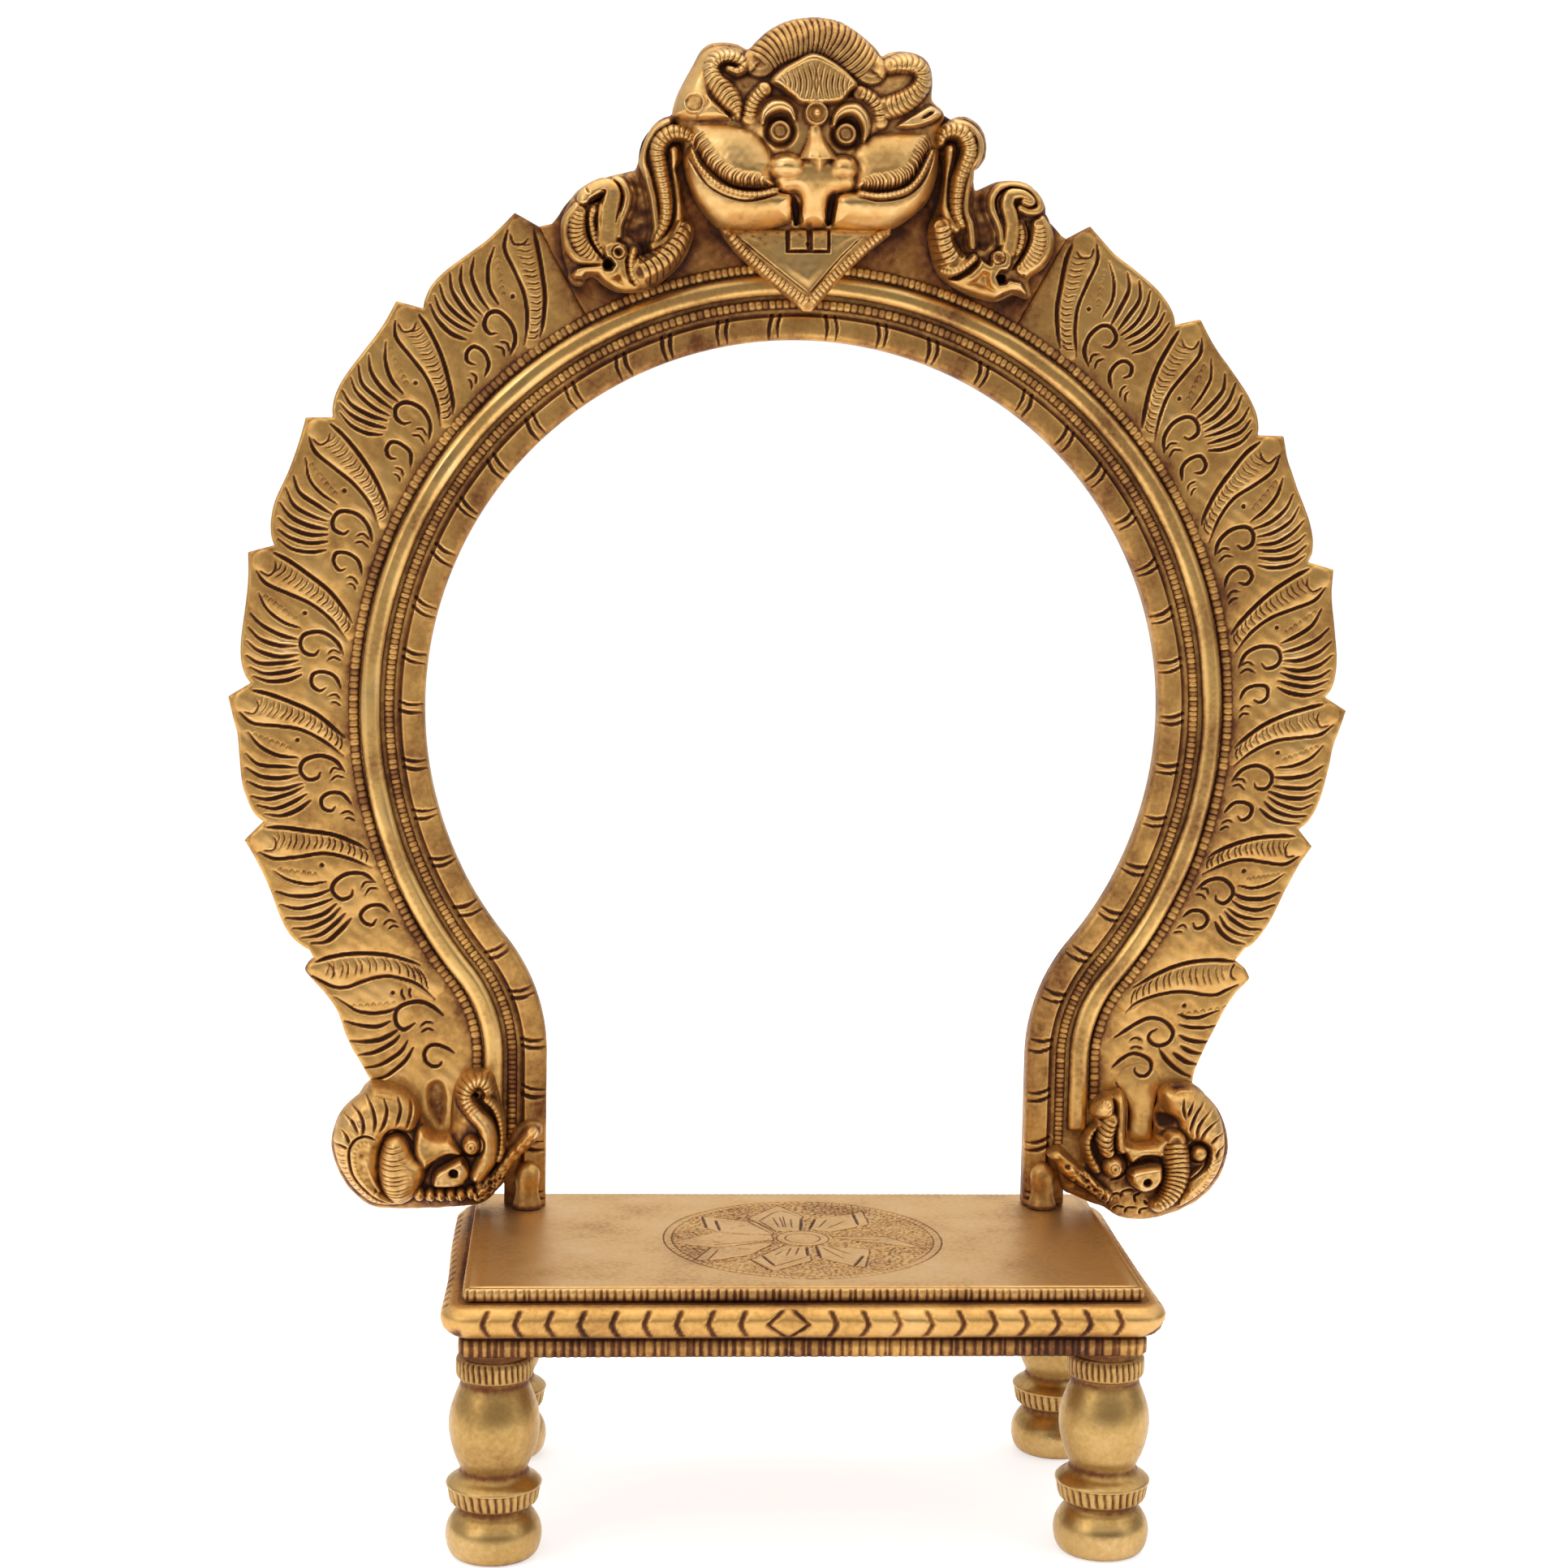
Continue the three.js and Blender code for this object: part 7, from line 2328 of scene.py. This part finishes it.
def chevron_cuts(points, length, share):
    """Cuts on the moulding: chevrons that meet in the front's middle, slanted cuts elsewhere."""
    x, y = points[:, :1], points[:, 1:]
    aside, above = np.abs(x - DIAMOND_X), share - BEND_SHARE
    chevron = (aside + 3.4 * np.sqrt(above**2 + 0.006) - 3.3) / CHEVRON_PITCH
    front = channel(to_whole(chevron) * CHEVRON_PITCH, 0.7) * (aside > 5.8)
    diamond = np.abs(aside / 4.0 + np.abs(above) / 0.5 - 1)
    front = np.maximum(front, channel(diamond, 0.17) * (aside < 4.8))
    slant = (length[:, None] + share * 3.2) / SLANT_PITCH
    slanted = channel(to_whole(slant) * SLANT_PITCH, 0.75)
    ends = smoothstep(share, 0.04, 0.16) * (1 - smoothstep(share, 0.82, 0.97))
    return np.where(y < -SEAT_HALF_Y + 0.1, front, slanted) * ends


BLOCK_HALF = 8.5
BLOCK_THICKNESS = 2.8


def add_corner_blocks(shells):
    """The block in each corner of the frame, which holds a leg's tenon."""
    bevel, top = 0.3, FRAME_LOW + BLOCK_THICKNESS
    levels = [(FRAME_LOW + 0.05, bevel), (FRAME_LOW + 0.35, 0), (top - bevel, 0), (top, bevel)]
    middle_x, middle_y = SEAT_HALF_X - 0.8 - BLOCK_HALF, SEAT_HALF_Y - 0.8 - BLOCK_HALF
    for side in SIDES:
        for end in SIDES:
            rings = []
            for z, inset in levels:
                b = BLOCK_HALF - inset
                square = [(-b, -b), (b, -b), (b, b), (-b, b)]
                rings.append([(side * (middle_x + x), end * (middle_y + y), z) for x, y in square])
            rings = np.array(rings)
            shells.tube(rings if side * end > 0 else rings[:, ::-1], 0.4)


# A leg's profile: radius and height
LEG_PROFILE = [
    (7.2, 0), (8.1, 0.35), (8.9, 1.4), (9.35, 3.0), (9.45, 4.6), (9.1, 6.4), (8.1, 8.2),
    (7.2, 9.2), (7.05, 9.9), (7.5, 10.5), (8.3, 10.9), (8.7, 11.6), (8.95, 12.9), (9.15, 14.0),
    (9.4, 14.5), (9.3, 14.95), (8.5, 15.6), (7.4, 16.3), (6.8, 17.1), (6.65, 17.8),
    (6.9, 18.6), (7.7, 20.4), (8.45, 22.9), (8.88, 25.4), (8.9, 27.6), (8.5, 30.0),
    (7.7, 32.4), (6.95, 34.2), (6.7, 35.1), (6.8, 35.8), (7.3, 36.3), (7.55, 37.0),
    (7.6, 38.3), (7.55, 39.6), (7.2, 40.3), (6.8, 40.7), (6.8, LEG_TOP - 2.8),
]

# Its dark necks: height and width
LEG_NECKS = [(9.9, 0.75), (17.5, 0.75), (35.3, 0.8), (41.2, 1.1), (0, 0.5)]
LEG_SEGMENTS = 180


def make_leg(name, centre, seed):
    """A turned leg: foot, ticked ring, bulb and ticked collar."""
    r, z = smooth_path(LEG_PROFILE, steps=5).T[..., None]
    turn = np.linspace(0, 2 * math.pi, LEG_SEGMENTS, endpoint=False)
    noise = np.random.default_rng(seed)

    def tick_row(pitch, low, high):
        count = round(2 * math.pi * 8 / pitch)
        around = turn * count / (2 * math.pi) + 0.08 * np.sin(3 * turn + noise.uniform(0, 6))
        lean = 0.25 * (z - low) / (high - low)
        window = smoothstep(z, low, low + 0.7) * (1 - smoothstep(z, high - 0.7, high))
        return channel(to_whole(around + lean), 0.24) * window

    cut = tick_row(1.5, 10.6, 14.6) + tick_row(1.4, 36.2, 40.4)
    neck = sum(bell(z - height, width) for height, width in LEG_NECKS)
    ridge = np.clip((r - 8.3) / 1.2, 0, 1)
    tone = np.clip(0.7 * cut + 0.5 * np.clip(neck, 0, 1) - 0.15 * ridge, -1, 1)
    uneven = 0.03 * np.sin(2 * turn + seed) * (r / 9.5)
    shells = Shells()
    shells.lathe(r - 0.5 * cut + uneven, z, tone, centre, LEG_SEGMENTS)
    return shells.make(name, turned)


# Building


def place_piece(piece, body, slot, *nodes):
    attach(piece, body)
    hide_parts(*nodes)


LEGS = ("leg_front_left", "leg_front_right", "leg_back_left", "leg_back_right")


def build_stool():
    place_piece(make_seat_plate(), "stool", "gold_brass", "seat_plate")
    place_piece(make_seat_frame(), "stool", "gold_brass", "seat_frame")
    for seed, name in enumerate(LEGS):
        low, high = box_mm(name)
        leg = make_leg(f"{name}_turned", (low[:2] + high[:2]) / 2, seed)
        place_piece(leg, "stool", "polished_brass", name)


def build_arch():
    place_piece(make_band(), "arch", "gold_brass", "arch_band")
    for name, numbers in RIMS.items():
        place_piece(make_rim(name, *numbers), "arch", "gold_brass", f"{name}_bead_rim")
    place_piece(make_roll(), "arch", "polished_brass", "arch_roll")
    for side, name in SIDES.items():
        place_piece(make_peg(side), "arch", "gold_brass", f"arch_peg_{name}")
        place_piece(make_feathers(side), "arch", "gold_brass", f"feather_plate_{name}")
    place_piece(make_crest_plate(), "arch", "dark_brass", "crest_plate")
    place_piece(make_mask(), "arch", "gold_brass", "mask_face")
    place_piece(make_jaw(), "arch", "polished_brass", "mask_jaw")
    for side, name in SIDES.items():
        place_piece(make_bird(side), "arch", "gold_brass", f"bird_{name}")
        place_piece(make_yali(side), "arch", "gold_brass", f"yali_head_{name}")


def dress_carried_nodes():
    """A better material for each CAD node that shows as it is."""
    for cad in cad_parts.values():
        cad.data.materials.clear()
        cad.data.materials.append(aged_brass)


# Floor, light and camera

FLOOR_RADII = (270, 540, 900)
FLOOR_TURNS = 96


def make_stage():
    """A pale flat floor, far wider than the object."""
    turn = np.linspace(0, 2 * math.pi, FLOOR_TURNS, endpoint=False)
    rings = [np.stack([r * np.cos(turn), r * np.sin(turn), 0 * turn], 1) for r in FLOOR_RADII]
    vertices = np.vstack([(0, 0, 0), *rings])
    faces = [(0, 1 + k, 1 + (k + 1) % FLOOR_TURNS) for k in range(FLOOR_TURNS)]
    quads = grid_faces(len(FLOOR_RADII), FLOOR_TURNS, wrap_columns=True)
    faces += [tuple(1 + v for v in quad) for quad in quads]
    material = bpy.data.materials.new("pale_floor")
    material.use_nodes = True
    shader = material.node_tree.nodes["Principled BSDF"]
    shader.inputs["Base Color"].default_value = (0.72, 0.72, 0.74, 1)
    shader.inputs["Roughness"].default_value = 0.7
    shader.inputs["Emission Color"].default_value = (1, 1, 1, 1)
    shader.inputs["Emission Strength"].default_value = 0.62
    tone = np.zeros(len(vertices))
    floor = new_object("floor", vertices, faces, tone, range(len(faces)), material)


# The light of the room: an axis, where along it the light starts and is full, and its
# strength there; and the strength that is left everywhere
ROOM_LIGHT = [
    ("Z", 0.2, 0.7, 1.0),
    ("X", 0.25, 0.9, 0.2),
    ("X", -0.2, -0.85, 0.42),
    ("Y", 0.0, 0.9, 0.75),
]
DIM_LIGHT = 0.11


def make_world():
    """A studio: white to the eye, and darker in front, where the camera stands in the room."""
    world = bpy.data.worlds.new("studio")
    bpy.context.scene.world = world
    world.use_nodes = True
    tree = world.node_tree
    tree.nodes.clear()
    link = tree.links.new
    output = node(tree, "ShaderNodeOutputWorld")
    place = node(tree, "ShaderNodeTexCoord")
    split = node(tree, "ShaderNodeSeparateXYZ")
    link(place.outputs["Generated"], split.inputs["Vector"])
    level = None
    for axis, low, high, gain in ROOM_LIGHT:
        ends = map_range(low, high, 0, gain)
        ramp = node(tree, "ShaderNodeMapRange", ends, interpolation_type="SMOOTHSTEP")
        link(split.outputs[axis], ramp.inputs["Value"])
        if level is None:
            level = ramp.outputs["Result"]
            continue
        larger = node(tree, "ShaderNodeMath", operation="MAXIMUM")
        link(level, larger.inputs[0])
        link(ramp.outputs["Result"], larger.inputs[1])
        level = larger.outputs[0]
    room = node(tree, "ShaderNodeMath", {1: DIM_LIGHT}, operation="ADD")
    link(level, room.inputs[0])
    lit = node(tree, "ShaderNodeBackground", {"Color": (1, 1, 1, 1)})
    link(room.outputs[0], lit.inputs["Strength"])
    white = node(tree, "ShaderNodeBackground", {"Color": (1, 1, 1, 1), "Strength": 1.05})
    rays = node(tree, "ShaderNodeLightPath")
    mix = node(tree, "ShaderNodeMixShader")
    link(rays.outputs["Is Camera Ray"], mix.inputs["Fac"])
    link(lit.outputs["Background"], mix.inputs[1])
    link(white.outputs["Background"], mix.inputs[2])
    link(mix.outputs["Shader"], output.inputs["Surface"])


# The lights, in metres and watts: name, place, size and power; and what all of them face
LIGHTS = [
    ("key_left", (-0.9, -0.75, 0.75), (0.7, 0.9), 2.7),
    ("fill_right", (1.0, -0.6, 0.55), (0.6, 0.9), 1.0),
    ("top", (0.0, 0.1, 1.3), (1.2, 0.8), 3.2),
]
LIGHT_TARGET = (0, 0, 0.16)


def add_light(name, place, size, power):
    data = bpy.data.lights.new(name, "AREA")
    data.shape = "RECTANGLE"
    data.size, data.size_y = size
    data.energy = power
    light = bpy.data.objects.new(name, data)
    bpy.context.scene.collection.objects.link(light)
    away = np.array(place) - LIGHT_TARGET
    back = away / np.linalg.norm(away)
    side = np.cross((0, 0, 1), back)
    side /= np.linalg.norm(side)
    turn = Matrix(np.stack([side, np.cross(back, side), back], 1).tolist()).to_4x4()
    light.matrix_world = Matrix.Translation(place) @ turn


def make_camera():
    forward, right, up = camera_axes()
    data = bpy.data.cameras.new("camera")
    data.sensor_width = SENSOR_MM
    data.lens = SENSOR_MM * FOCAL_PIXELS / FRAME_PIXELS
    camera = bpy.data.objects.new("camera", data)
    bpy.context.scene.collection.objects.link(camera)
    turn = Matrix(np.stack([right, up, -forward], 1).tolist()).to_4x4()
    camera.matrix_world = Matrix.Translation([v * MM for v in CAMERA_PLACE]) @ turn
    bpy.context.scene.camera = camera


dress_carried_nodes()
build_stool()
build_arch()
make_stage()
make_world()
for light in LIGHTS:
    add_light(*light)
make_camera()
bpy.context.scene.view_settings.view_transform = "Standard"
